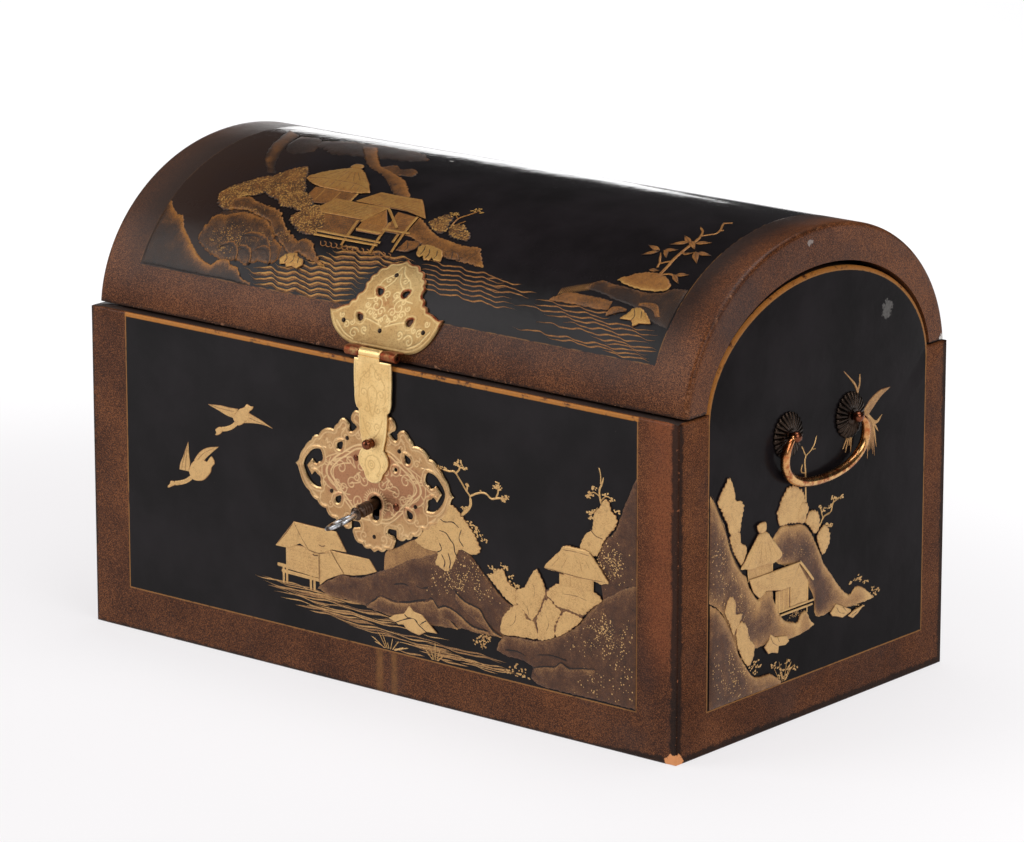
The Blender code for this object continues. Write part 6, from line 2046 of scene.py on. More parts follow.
@dataclass
class SheetMetal:
    """A pierced and chased plate.

    Its top is a grid of points. Those just outside the outline are drawn onto its nearest point, so the edge
    is true, and the distance to the edge gives the bevel, the rim and the lines that follow it.
    """
    outline: Array
    holes: list[Array]
    thickness: float
    cell: float = 0.5
    bevel: float = 0.45
    batch: int = 4000

    def nearest(self, where: Array, lines: Sequence[Array], closed: bool = True) -> tuple[Array, Array]:
        """The distance from points to the nearest of some lines, and the nearest point itself.

        Args:
            where: the points.
            lines: the lines, each an array of points.
            closed: whether each line runs back to its start.

        Returns:
            The distances and the nearest points.
        """
        starts = np.vstack([line if closed else line[:-1] for line in lines])
        ends = np.vstack([np.roll(line, -1, axis=0) if closed else line[1:] for line in lines])
        along = ends - starts
        square = np.maximum((along ** 2).sum(1), 1e-12)
        best = np.empty(len(where))
        spot = np.empty((len(where), 2))
        for first in range(0, len(where), self.batch):
            p = where[first:first + self.batch, None, :]
            share = np.clip(((p - starts) * along).sum(2) / square, 0, 1)
            foot = starts + share[..., None] * along
            apart = ((p - foot) ** 2).sum(2)
            pick = apart.argmin(1)
            rows = np.arange(len(pick))
            best[first:first + self.batch] = np.sqrt(apart[rows, pick])
            spot[first:first + self.batch] = foot[rows, pick]
        return best, spot

    def within(self, where: Array) -> Array:
        """Whether points are in the metal: an odd number of edges lies to their right.

        Args:
            where: the points.

        Returns:
            True or false for each.
        """
        odd = np.zeros(len(where), bool)
        for line in [self.outline, *self.holes]:
            for (u0, v0), (u1, v1) in zip(line, np.roll(line, -1, axis=0)):
                if v0 != v1:
                    crossed = (v0 > where[:, 1]) != (v1 > where[:, 1])
                    odd ^= crossed & (where[:, 0] < u0 + (where[:, 1] - v0) / (v1 - v0) * (u1 - u0))
        return odd

    def build(self, chase: Chase) -> tuple[Array, list, Array, Array]:
        """Makes the plate.

        Args:
            chase: gives the added height and the groove's darkness at u, v and distance from the edge.

        Returns:
            The points as u, v, w, the faces, and the groove and rub values at the points.
        """
        low, high = self.outline.min(0) - self.cell, self.outline.max(0) + self.cell
        us = np.arange(low[0], high[0] + self.cell, self.cell)
        vs = np.arange(low[1], high[1] + self.cell, self.cell)
        where = np.stack(np.meshgrid(us, vs), -1).reshape(-1, 2)
        distance, spot = self.nearest(where, [self.outline, *self.holes])
        deep = np.where(self.within(where), distance, -distance)
        faces = quads(len(vs), len(us))
        faces = faces[(deep[faces] > 0.3 * self.cell).any(1)]
        used, faces = np.unique(faces, return_inverse=True)
        faces = faces.reshape(-1, 4)
        where, deep, spot = where[used], deep[used], spot[used]
        on_edge = deep < 0.3 * self.cell
        where[on_edge] = spot[on_edge]
        deep = np.where(on_edge, 0.0, deep)
        raised, groove = chase(where[:, 0], where[:, 1], deep)
        w = self.thickness - self.bevel * np.exp(-(deep / self.bevel) ** 2) + raised
        edges = np.concatenate([faces[:, [i, (i + 1) % 4]] for i in range(4)])
        code = edges[:, 0] * len(where) + edges[:, 1]
        back = edges[:, 1] * len(where) + edges[:, 0]
        rim = edges[~np.isin(code, back)]
        rim_points, rim_index = np.unique(rim, return_inverse=True)
        rim_index = rim_index.reshape(-1, 2) + len(where)
        walls = np.column_stack([rim_index, rim[:, ::-1]])
        bottom = self.underside(where[rim_points], rim_index - len(where), len(where))
        foot = np.column_stack([where[rim_points], np.zeros(len(rim_points))])
        points = np.vstack([np.column_stack([where, w]), foot])
        values = [np.concatenate([a, np.zeros(len(rim_points))]) for a in (groove, np.exp(-deep / 0.8))]
        return points, faces.tolist() + walls.tolist() + bottom, *values

    def underside(self, rim: Array, edges: Array, start: int) -> list[list[int]]:
        """Flat triangles that close the back between the rim's points.

        Args:
            rim: the rim's points.
            edges: pairs of point numbers along it.
            start: what is added to the point numbers.

        Returns:
            The triangles.
        """
        places = [Vector(place) for place in rim.tolist()]
        found, _, triangles, _, _, _ = delaunay_2d_cdt(places, edges.tolist(), [], 0, 1e-9)
        if len(found) != len(rim):
            log.warning("the back of a plate has %d points for %d", len(found), len(rim))
            return []
        corners = np.array([list(t) for t in triangles])
        keep = self.within(rim[corners].mean(1))
        return (corners[keep][:, ::-1] + start).tolist()

    def lines(self, where: Array, strokes: Sequence[Array], width: float) -> Array:
        """1 on the middle of some lines, falling to 0 at about their width."""
        distance, _ = self.nearest(where, strokes, closed=False)
        return np.exp(-(distance / width) ** 2)


def arc_between(start: Array, end: Array, bulge: float, steps: int) -> Array:
    """Points from start towards end on a low arc, whose rise is bulge times the chord.

    Args:
        start: where it starts.
        end: where it would end.
        bulge: its rise for its chord.
        steps: how many points.

    Returns:
        The points, without the end.
    """
    share = np.linspace(0, 1, steps, endpoint=False)[:, None]
    chord = end - start
    side = np.array((chord[1], -chord[0]))
    return start + chord * share + side * bulge * 4 * share * (1 - share)


def lobed(nodes: Sequence[tuple[float, float, float]], wide: float, tall: float,
          mirror: bool = True) -> Array:
    """An outline through nodes of u, v and the bulge of the arc to the next, doubled about the middle line.

    Args:
        nodes: shares of the size, and bulges.
        wide: what a u of 1 is.
        tall: what a v of 1 is.
        mirror: whether the other half is added.

    Returns:
        The outline.
    """
    nodes = [(u * wide, v * tall, bulge) for u, v, bulge in nodes]
    if mirror:
        nodes = nodes[:-1] + [(-u, v, before[2]) for before, (u, v, _) in zip(nodes, nodes[1:])][::-1]
    parts = []
    for (u, v, bulge), following in zip(nodes, nodes[1:] + nodes[:1]):
        steps = 1 if abs(bulge) < 0.01 else 8
        parts.append(arc_between(np.array((u, v)), np.array(following[:2]), bulge, steps))
    return np.vstack(parts)


def comma(u: float, v: float, radius: float, turn: float) -> Array:
    """A round hole with a short curled tail.

    Args:
        u: its middle across.
        v: its middle up.
        radius: the round part's radius.
        turn: where the tail points.

    Returns:
        The outline.
    """
    a = np.linspace(0, 2 * math.pi, 20, endpoint=False)
    reach = radius * (1 + 0.75 * np.exp(-((a - math.pi) / 0.45) ** 2))
    a = a + turn + math.pi
    return np.column_stack([u + reach * np.cos(a), v + reach * np.sin(a)])


def circle(u: float, v: float, radius: float, count: int = 24) -> Array:
    """A round outline."""
    a = np.linspace(0, 2 * math.pi, count, endpoint=False)
    return np.column_stack([u + radius * np.cos(a), v + radius * np.sin(a)])


def scroll(u: float, v: float, radius: float, turn: float, hand: int, turns: float = 1.4) -> Array:
    """A spiral that starts at its eye and opens out.

    Args:
        u: its eye across.
        v: its eye up.
        radius: its reach.
        turn: where it ends.
        hand: 1 or -1, the way it winds.
        turns: how many times it winds.

    Returns:
        Its points.
    """
    s = np.linspace(0.12, 1, 28)
    a = turn + hand * turns * 2 * math.pi * (1 - s)
    return np.column_stack([u + radius * s * np.cos(a), v + radius * s * np.sin(a)])


def revolve(profile: Knots, sides: int, centre: Sequence[float], axis: Sequence[float]) -> tuple[Array, list]:
    """A turned form: a profile of (along, radius) in millimetres carried round an axis.

    Args:
        profile: its points from one pole to the other.
        sides: points round it.
        centre: where along = 0 lies.
        axis: the direction of along.

    Returns:
        The points in metres and the faces.
    """
    way = Vector(axis).normalized()
    one = np.array(way.orthogonal().normalized())
    way = np.array(way)
    two = np.cross(way, one)
    along, radius = np.asarray(profile, float).T
    a = np.linspace(0, 2 * math.pi, sides, endpoint=False)
    ring = np.cos(a)[:, None] * one + np.sin(a)[:, None] * two
    points = np.array(centre) + along[:, None, None] * way + radius[:, None, None] * ring[None]
    return MM * points.reshape(-1, 3), quads(len(along), sides, loop=True).tolist()


def tube(path: Array, radius: Array, sides: int) -> tuple[Array, list]:
    """A round bar along a path that lies in one plane, its ends closed on the path.

    Args:
        path: the middle line in millimetres.
        radius: the radius at each point.
        sides: points round it.

    Returns:
        The points in metres and the faces.
    """
    way = np.gradient(path, axis=0)
    way /= np.linalg.norm(way, axis=1)[:, None]
    normal = np.cross(path[0] - path[len(path) // 2], path[-1] - path[len(path) // 2])
    normal /= np.linalg.norm(normal)
    side = np.cross(way, normal)
    a = np.linspace(0, 2 * math.pi, sides, endpoint=False)
    ring = normal * np.cos(a)[:, None]
    rings = ring[None] + np.sin(a)[None, :, None] * side[:, None, :]
    points = path[:, None, :] + radius[:, None, None] * rings
    first, last = (np.tile(end, (sides, 1))[None] for end in (path[:1], path[-1:]))
    points = np.concatenate([first, points, last])
    return MM * points.reshape(-1, 3), quads(len(path) + 2, sides, loop=True).tolist()


def joined(*forms: tuple[Array, list]) -> tuple[Array, list]:
    """Several forms' points and faces as one.

    Args:
        forms: the points and faces of each.

    Returns:
        All the points and all the faces.
    """
    points, faces, start = [], [], 0
    for form_points, form_faces in forms:
        points.append(form_points)
        faces += [[i + start for i in face] for face in form_faces]
        start += len(form_points)
    return np.vstack(points), faces


def nail(face: Face, u: float, v: float, base: float, radius: float = 1.6,
         height: float = 0.8) -> tuple[Array, list]:
    """A domed nail head on a face.

    Args:
        face: the face it is driven into.
        u: its middle across, in millimetres.
        v: its middle up.
        base: how high it starts.
        radius: its radius.
        height: how far it stands proud.

    Returns:
        The points in metres and the faces.
    """
    rise = np.linspace(0, math.pi / 2, 6)
    a = np.linspace(0, 2 * math.pi, 18, endpoint=False)
    r = (radius * np.concatenate([[1.0], np.cos(rise)]))[:, None]
    w = base + height * np.concatenate([[-0.5], np.sin(rise)])[:, None]
    points = face.place(u + r * np.cos(a), v + r * np.sin(a), w + 0 * a)
    return points, quads(7, 18, loop=True).tolist()


def bare(points: Array) -> dict[str, Array]:
    """Groove and rub values of a piece without either."""
    return {"groove": np.zeros(len(points)), "rub": np.zeros(len(points))}


@dataclass
class LockPlate:
    """The pierced lozenge plate with its raised rim, chased cartouche and scrolls."""
    wide: float = 73.3
    tall: float = 51.0
    offset: float = 2.0
    thickness: float = 1.2
    keyhole: float = 5.3
    slot: float = 3.3
    drop: float = 12.5
    below: float = 12.8

    def holes(self) -> list[Array]:
        """The crescents at both ends, the commas, the empty nail hole and the keyhole.

        Returns:
            Their outlines.
        """
        crescent = lobed([(0.65, 0.28, -0.10), (0.68, 0.35, -0.14), (0.83, 0.245, -0.08),
                          (0.893, 0.09, -0.08), (0.81, -0.13, -0.14), (0.665, -0.19, 0.0),
                          (0.68, -0.12, -0.3), (0.72, -0.02, -0.3), (0.765, 0.0, 0.0), (0.79, -0.045, 0.0),
                          (0.85, 0.08, 0.0), (0.778, 0.19, 0.0), (0.75, 0.145, -0.3), (0.70, 0.165, -0.3)],
                         self.wide, self.tall, mirror=False)
        found = [crescent, (crescent * (-1, 1))[::-1]]
        for u, v in ((0.43, 0.455), (0.455, -0.32)):
            found += [comma(s * u * self.wide, v * self.tall, 2.6, math.pi / 2 + s * 0.7) for s in (-1, 1)]
        found.append(circle(20.5, 14.7, 1.5, 16))
        gap = math.asin(self.slot / self.keyhole)
        a = np.linspace(-math.pi / 2 + gap, 1.5 * math.pi - gap, 40)
        b = np.linspace(math.pi, 2 * math.pi, 14)
        low = -self.below - self.drop + self.slot
        bow = np.column_stack([1.8 + self.keyhole * np.cos(a), -self.below + self.keyhole * np.sin(a)])
        foot = np.column_stack([1.8 + self.slot * np.cos(b), low + self.slot * np.sin(b)])
        return [*found, np.vstack([bow, foot])]

    def chased(self) -> tuple[list[Array], list[Array]]:
        """The chased lines, deep ones and fine ones.

        Returns:
            The deep lines and the fine ones.
        """
        deep, fine = [], []
        for grow in (1.0, 0.90):
            half = spline([(0.0, -26.0 * grow), (14, -25 * grow), (26 * grow, -16 * grow),
                           (36 * grow, -6 * grow), (44 * grow, 3), (37 * grow, 13 * grow),
                           (27 * grow, 20 * grow), (14, 27 * grow), (0.0, 28.0 * grow)], 60)
            deep += [half, half * (-1, 1)]
        for s in (-1, 1):
            for grow in (1.0, 0.76, 0.5):
                a = np.linspace(-1.9, 1.9, 40)
                up = 3 + 17 * grow * np.sin(a) * (1 + 0.12 * np.cos(3 * a))
                fine.append(np.column_stack([27 + 21 * grow * np.cos(a), up]) * (s, 1))
            curls = ((30, 8, 5.5, 0.4, 1), (16, 3, 3, 1.8, 1), (33, -3, 3, 4.0, 1), (6, 20, 4, 0.8, -1),
                     (4, -22, 3.5, 2.8, 1), (36, 12, 3, 5.4, -1), (44, 10, 3, 3.0, 1), (46, -6, 3, 1.4, -1),
                     (58, 26, 3, 4.6, 1), (34, -34, 3, 2.0, 1), (14, 34, 3, 3.4, 1), (18, -40, 3, 0.4, -1),
                     (20, -2, 5, 2.5, -1), (12, 12, 5, 1.0, 1), (22, 14, 4, 3.4, -1), (14, -14, 5, 5.2, 1),
                     (28, -6, 4, 4.6, -1), (8, 2, 4.5, 0.2, -1), (50, 17, 4, 2.2, 1), (52, -12, 3.6, 4.0, -1),
                     (24, -27, 4, 5.0, 1), (26, 31, 4, 1.2, -1), (9, -38, 4, 4.4, 1), (40, 22, 3, 0.6, 1),
                     (40, -20, 3, 5.6, -1))
            for u, v, size, turn, hand in curls:
                curl = scroll(u, v, size, turn, hand)
                bend = curl[-1] + (3.5 * math.cos(turn + 0.9), 3.5 * math.sin(turn + 0.9))
                fine += [curl * (s, 1), spline([curl[-1], bend, (u * 1.1, v * 1.15)], 8) * (s, 1)]
        for a in np.linspace(-0.9, math.pi + 0.9, 26):
            aim = np.array((math.cos(a), math.sin(a)))
            fine.append(np.array((1.8, -self.below)) + np.outer((7.2, 10.8), aim))
        return deep, fine

    def build(self, finishes: Finishes) -> None:
        """Makes the plate, its nails and its copper rivets.

        Args:
            finishes: the coffer's materials.
        """
        shares = [(0.0, -0.955, 0.0), (0.05, -0.91, 0.22), (0.15, -0.875, 0.22), (0.262, -0.76, 0.24),
                  (0.25, -0.665, 0.0), (0.17, -0.64, -0.3), (0.225, -0.57, 0.0), (0.283, -0.57, 0.0),
                  (0.285, -0.675, 0.24), (0.40, -0.66, 0.22), (0.485, -0.60, 0.20), (0.61, -0.48, 0.16),
                  (0.72, -0.395, 0.13), (0.82, -0.285, 0.10), (0.93, -0.10, 0.0), (0.958, 0.0, -0.10),
                  (1.0, 0.078, -0.10), (0.948, 0.155, 0.08), (0.88, 0.33, 0.08), (0.79, 0.455, 0.18),
                  (0.70, 0.545, 0.17), (0.50, 0.675, 0.15), (0.45, 0.77, 0.38), (0.30, 0.795, 0.0),
                  (0.305, 0.735, -0.35), (0.25, 0.715, 0.0), (0.205, 0.775, 0.0), (0.235, 0.81, 0.30),
                  (0.27, 0.94, 0.25), (0.17, 1.0, 0.0), (0.0, 1.0, 0.0)]
        step = 0.5
        metal = SheetMetal(lobed(shares, self.wide, self.tall), self.holes(), self.thickness, step)
        deep_lines, fine_lines = self.chased()

        def chase(u: Array, v: Array, edge: Array) -> tuple[Array, Array]:
            """A raised rim inside a groove, then the cartouche and the scrolls.

            Args:
                u: places across, in millimetres.
                v: places up.
                edge: the distance from the edge.

            Returns:
                The height added and the groove's darkness.
            """
            where = np.column_stack([u, v])
            rim = np.exp(-((edge - 1.3) / 0.8) ** 2) * 0.35
            beside = np.exp(-((edge - 2.9) / 0.45) ** 2)
            cut = np.maximum(metal.lines(where, deep_lines, 0.55), 0.85 * metal.lines(where, fine_lines, 0.4))
            cut = np.maximum(cut * (edge > 2.6), 0.7 * beside)
            swell = 0.12 * np.clip(1 - np.hypot(u / 44, v / 28), 0, 1)
            return np.minimum(rim + swell + 0.04 * mottle(u, v, 3.5, 4), 0.42) - 0.30 * cut, cut

        points, faces, groove, rub = metal.build(chase)
        face = FlatFace((self.offset, -SIZES.half_depth - SIZES.gap, SIZES.plate_height), (1.0, 0.0, 0.0),
                        (0.0, -1.0, 0.0))
        from_middle = np.hypot((points[:, 0] - 2) / 56, (points[:, 1] - 2) / 26)
        rosy = 1.1 * np.exp(-from_middle ** 4) * (1 - 0.8 * groove)
        make("chased_lock_plate", face.place(*points.T), faces, [finishes.rose], Body.CASE, Slot.GILT,
             ["lock_plate"], values={"groove": groove, "rub": rub, "bare": rosy})
        nails = ((-22, 181), (26, 179.5), (-37, 140), (40.5, 142), (2.5, 113.5))
        places = [(u - self.offset, v - SIZES.plate_height) for u, v in nails]
        heads = joined(*(nail(face, u, v, self.thickness) for u, v in places))
        make("lock_plate_nails", *heads, [finishes.bronze], Body.CASE, Slot.GILT, values=bare(heads[0]))
        rivets = joined(nail(face, 21.0, -12.3, self.thickness, 3.0, 0.9),
                        nail(face, -16.0, 17.2, self.thickness, 2.4, 0.8))
        make("lock_plate_rivets", *rivets, [finishes.red], Body.CASE, Slot.COPPER, values=bare(rivets[0]))


@dataclass
class Hasp:
    """The bell-shaped leaf on the lid, the strap that hangs from it, their knuckles and the knob."""
    pivot: tuple[float, float, float] = (0.0, -154.6, 245.0)
    sheet: float = 1.5
    barrel: float = 3.6
    bore: float = 1.7
    leaf_wide: float = 50.8
    leaf_start: float = 5.8
    leaf_tall: float = 66.8
    skew: float = 0.065
    knuckle_half: float = 9.7
    barrel_half: float = 23.2
    strap_wide: float = 17.0
    strap_long: float = 88.0
    offset: float = 3.2
    strap_back: float = -156.7

    def knuckle(self, low: float, high: float) -> tuple[Array, list]:
        """A bored barrel about the pivot between two places on X, its ends softened.

        Args:
            low: where it starts.
            high: where it ends.

        Returns:
            The points in metres and the faces.
        """
        soft = 0.4
        profile = [(low, self.bore), (low, self.barrel - soft), (low + soft, self.barrel),
                   (high - soft, self.barrel), (high, self.barrel - soft), (high, self.bore),
                   (low, self.bore)]
        return revolve(profile, 32, self.pivot, (1.0, 0.0, 0.0))

    def tab(self, corners: Sequence[tuple[float, float]], low: float, high: float) -> tuple[Array, list]:
        """A block between two places on X; its section's corners go anticlockwise seen from the right."""
        points = np.array([(x, y, z) for x in (low, high) for y, z in corners])
        return MM * points, [[3, 2, 1, 0], [4, 5, 6, 7], *quads(2, 4, loop=True).tolist()]

    def leaf(self, finishes: Finishes) -> None:
        """The leaf: chased scrolls between its nails, converging lines under the point.

        Args:
            finishes: the coffer's materials.
        """
        shares = [(0.0, 0.0, 0.0), (0.47, 0.0, 0.05), (0.70, 0.055, 0.06), (0.905, 0.20, 0.03),
                  (1.0, 0.375, -0.12), (0.86, 0.39, 0.05), (0.69, 0.44, 0.22), (0.60, 0.50, 0.22),
                  (0.52, 0.585, -0.08), (0.505, 0.64, 0.25), (0.48, 0.715, 0.25), (0.41, 0.80, 0.25),
                  (0.29, 0.885, 0.22), (0.15, 0.945, -0.10), (0.0, 1.0, 0.0)]
        outline = lobed(shares, self.leaf_wide, self.leaf_tall) + (0.0, self.leaf_start)
        holes = []
        for u, v in ((0.215, 0.60), (0.43, 0.305)):
            up = self.leaf_start + v * self.leaf_tall
            holes += [comma(s * u * self.leaf_wide, up, 2.4, math.pi / 2 - s * 0.9) for s in (-1, 1)]
        metal = SheetMetal(outline, holes, self.sheet, 0.5)
        curls = ((10, 36, 5.5, 1.2, 1), (5, 32, 3.5, 3.0, -1), (14, 31, 3.2, 0.0, 1),
                 (25, 14.5, 4.5, 2.8, -1), (33, 20, 3, 1.0, 1), (16, 18, 3, 4.4, 1), (7, 55, 3, 2.4, -1),
                 (38, 27, 2.4, 0.4, -1), (4, 44, 3, 0.6, 1), (12, 40, 2.6, 2.0, -1), (3, 26, 2.6, 5.0, 1),
                 (9, 29, 2.4, 1.0, -1), (18, 36, 2.4, 3.0, 1), (8, 48, 2.4, 4.2, 1), (28, 22, 2.4, 2.0, 1))
        stems = ([(1, 66), (4, 60), (12, 54), (15, 44)], [(1, 60), (3, 54), (8, 49)],
                 [(2, 22), (8, 24), (17, 26), (24, 24)], [(25, 10), (34, 14), (42, 22)],
                 [(3, 40), (8, 44), (14, 41), (20, 40)], [(0.6, 30), (5, 26), (10, 27)])
        lines = []
        for s in (-1, 1):
            lines += [scroll(*curl) * (s, 1) for curl in curls]
            lines += [spline(stem, 14) * (s, 1) for stem in stems]

        def chase(u: Array, v: Array, edge: Array) -> tuple[Array, Array]:
            """A line along the edge and the scrolls.

            Args:
                u: places across, in millimetres.
                v: places up.
                edge: the distance from the edge.

            Returns:
                The height added and the groove's darkness.
            """
            cut = 0.85 * metal.lines(np.column_stack([u, v]), lines, 0.5) * (edge > 1.5)
            cut = np.maximum(cut, 0.5 * np.exp(-((edge - 2.3) / 0.35) ** 2))
            return 0.03 * mottle(u, v, 4.0, 8) - 0.25 * cut, cut

        points, faces, groove, rub = metal.build(chase)
        shoulder = 0.35 * self.leaf_tall
        u, v, w = points.T
        v = v + self.skew * u * np.minimum(1.0, (v - self.leaf_start) / shoulder)
        knuckles = []
        y, z = self.pivot[1:]
        lift = LID.place(0.0, self.leaf_start, SIZES.gap + self.sheet / 2)[0] / MM
        block = [(y, z + self.bore), (lift[1], z + self.bore), (lift[1], lift[2] + 0.6), (y, z + self.barrel)]
        inner = self.knuckle_half + 0.4
        for low, high in ((-self.barrel_half, -inner), (inner, self.barrel_half)):
            knuckles += [self.knuckle(low, high), self.tab(block, low, high)]
        points, faces = joined((LID.place(u, v, w + SIZES.gap), faces), *knuckles)
        extra = np.zeros(len(points) - len(groove))
        middle = 0.42 * np.exp(-np.hypot(u / 20, (v - 36) / 13) ** 4)
        worn = np.maximum(np.clip((v - 22) / 8, 0, 1) * np.minimum(1.0, 2.2 * rub), middle)
        make("chased_hasp_leaf", points, faces, [finishes.leaf], Body.LID, Slot.GILT, ["hasp_leaf"],
             values={"groove": np.concatenate([groove, extra]), "rub": np.concatenate([0.5 * rub, extra]),
                     "bare": np.concatenate([worn, extra + 0.66])})
        nails = ((-36, 21), (-3, 59), (-2, 18.5), (36.5, 23))
        heads = joined(*(nail(LID, u, v, SIZES.gap + self.sheet, 1.7) for u, v in nails))
        make("hasp_leaf_nails", *heads, [finishes.bronze], Body.LID, Slot.GILT, values=bare(heads[0]))

    def strap(self, finishes: Finishes) -> None:
        """The strap: its knuckle, scrolls down its length, a trefoil foot and the copper knob.

        Args:
            finishes: the coffer's materials.
        """
        shares = [(0.0, -1.0, 0.20), (0.48, -0.932, 0.0), (0.52, -0.915, 0.27), (0.54, -0.72, 0.0),
                  (0.60, -0.67, 0.03), (0.75, -0.50, 0.0), (0.77, -0.415, 0.0), (0.88, -0.40, 0.07),
                  (0.985, -0.28, 0.02), (0.99, 0.0, 0.0), (0.0, 0.0, 0.0)]
        top = self.pivot[2] - self.barrel - 0.3
        knob_z = self.pivot[2] - 63.5
        outline = lobed(shares, self.strap_wide, self.strap_long)
        step = 0.38
        metal = SheetMetal(outline, [circle(-1.5, knob_z - top, 3.1)], self.sheet, step)
        curls = ((6, -10, 4.2, 2.0, 1), (8, -24, 4.0, 4.0, -1), (5, -35, 3.6, 1.6, 1),
                 (4.5, -47, 3.0, 4.2, -1), (5, -82, 2.4, 5.0, 1), (11, -33, 2.0, 1.0, -1))
        stems = ([(0.5, -3), (4, -8), (11, -16), (12, -28)], [(0.5, -18), (4, -22), (3, -32), (0.5, -40)],
                 [(9, -42), (6, -50), (1, -56)], [(0.6, -68), (5, -70), (7, -76), (4, -82)])
        lines = [circle(-1.2, -75.0, 3.0, 20), circle(-1.2, -75.0, 1.2, 12)]
        for s in (-1, 1):
            lines += [scroll(*curl) * (s, 1) for curl in curls]
            lines += [spline(stem, 14) * (s, 1) for stem in stems]

        def chase(u: Array, v: Array, edge: Array) -> tuple[Array, Array]:
            """A line along the edge and the scrolls.

            Args:
                u: places across, in millimetres.
                v: places up.
                edge: the distance from the edge.

            Returns:
                The height added and the groove's darkness.
            """
            cut = 0.8 * metal.lines(np.column_stack([u, v]), lines, 0.45) * (edge > 1.4)
            cut = np.maximum(cut, 0.45 * np.exp(-((edge - 1.9) / 0.3) ** 2))
            return -0.22 * cut, cut

        points, faces, groove, rub = metal.build(chase)
        face = FlatFace((self.offset, self.strap_back, top), (1.0, 0.0, 0.0), (0.0, -1.0, 0.0))
        front = self.strap_back - self.sheet
        foot, head, half = top - 1.0, self.pivot[2] - self.bore, self.knuckle_half
        block = [(front, foot), (self.strap_back, foot), (self.strap_back, head), (front, head)]
        points, faces = joined((face.place(*points.T), faces), self.knuckle(-half, half),
                               self.tab(block, -half, half))
        extra = np.zeros(len(points) - len(groove))
        make("chased_hasp_strap", points, faces, [finishes.gilt], Body.HASP, Slot.GILT, ["hasp_strap"],
             values={"groove": np.concatenate([groove, extra]), "rub": np.concatenate([rub, extra])})
        a = np.linspace(0.25 * math.pi, math.pi, 12)
        profile = [(0.0, 0.0), (0.0, 2.8), (2.6, 2.8), *zip(5.7 - 3.7 * np.cos(a), 3.7 * np.sin(a))]
        knob = revolve(profile, 32, (self.offset - 1.5, self.strap_back, knob_z), (0.0, -1.0, 0.0))
        make("copper_knob", *knob, [finishes.red], Body.HASP, Slot.COPPER, ["hasp_knob"],
             values=bare(knob[0]))

    def build(self, finishes: Finishes) -> None:
        """Makes both halves of the hasp.

        Args:
            finishes: the coffer's materials.
        """
        self.leaf(finishes)
        self.strap(finishes)
        dress("hasp_pin", finishes.red)


@dataclass
class Key:
    """The key in its lock: a turned and ringed shaft, a flat oval bow and a bit inside the lock."""
    place: tuple[float, float, float] = (3.8, -156.3, 138.0)
    reach: float = 47.3
    bow_long: float = 26.5
    bow_wide: float = 22.0
    wire: float = 2.2
    depth: float = 7.5

    def build(self, finishes: Finishes) -> None:
        """Makes the key along its own axis and turns it into place.

        Args:
            finishes: the coffer's materials.
        """
        turn = Matrix.Rotation(math.radians(-4.5), 3, "Z") @ Matrix.Rotation(math.radians(11.5), 3, "X")
        turn = np.array(turn @ Matrix.Rotation(math.radians(-22.0), 3, "Y"))
        start = self.reach - self.bow_long
        profile = [(-self.depth, 0.0), (-self.depth, 3.7), (-self.depth + 0.3, 4.0), (0.26 * start, 4.0)]
        for ring in (0.34, 0.46, 0.58, 0.68):
            a = np.linspace(-0.5, 0.5, 7)
            profile += [(ring * start + 1.9 * s, 4.15 + 0.75 * math.cos(math.pi * s)) for s in a[1:-1]]
        profile += [(0.76 * start, 3.9), (0.84 * start, 3.9)]
        profile += [(0.92 * start + 2.2 * s, 3.9 + 1.0 * math.cos(math.pi * s / 1.2))
                    for s in np.linspace(-0.6, 0.6, 9)]
        profile += [(start + 0.4, 3.5), (start + 2.4, 2.0), (start + 3.0, 0.0)]
        shaft, shaft_faces = revolve(profile, 40, (0, 0, 0), (0, -1, 0))
        long_half, wide_half = self.bow_long / 2 - self.wire, self.bow_wide / 2 - self.wire
        t = np.linspace(0, 2 * math.pi, 72, endpoint=False)[:, None]
        a = np.linspace(0, 2 * math.pi, 16, endpoint=False)[None, :]
        normal = np.stack([np.cos(t) / wide_half, np.sin(t) / long_half])
        normal = normal / np.hypot(*normal)
        across = wide_half * np.cos(t) + normal[0] * self.wire * np.cos(a)
        along = self.reach - self.bow_long / 2 + long_half * np.sin(t) + normal[1] * self.wire * np.cos(a)
        thick = 0.75 * self.wire * np.sin(a) + 0 * t
        bow = MM * np.stack([across, -along, thick], -1).reshape(-1, 3)
        rows = quads(73, 16, loop=True)
        bow_faces = np.where(rows >= 72 * 16, rows - 72 * 16, rows).tolist()
        bit = MM * np.array([(x, y, z) for x in (0, 8.0) for y in (self.depth, self.depth - 3.0)
                             for z in (-1.2, 1.2)])
        bit_faces = [(0, 1, 3, 2), (4, 6, 7, 5), (0, 4, 5, 1), (2, 3, 7, 6), (0, 2, 6, 4), (1, 5, 7, 3)]
        points, faces = joined((shaft, shaft_faces), (bow, bow_faces), (bit, bit_faces))
        out = -points[:, 1] / MM
        rub = np.clip((out - start) / 6, 0, 1)
        # The groove value here darkens the shaft towards and inside the keyhole; the key has no groove there.
        groove = np.clip(1 - (out + 3) / 8, 0, 1) * 0.5
        points = points @ turn.T + MM * np.array(self.place)
        make("turned_key", points, faces, [finishes.steel], Body.CASE, Slot.STEEL, ["key"],
             values={"groove": groove, "rub": rub})


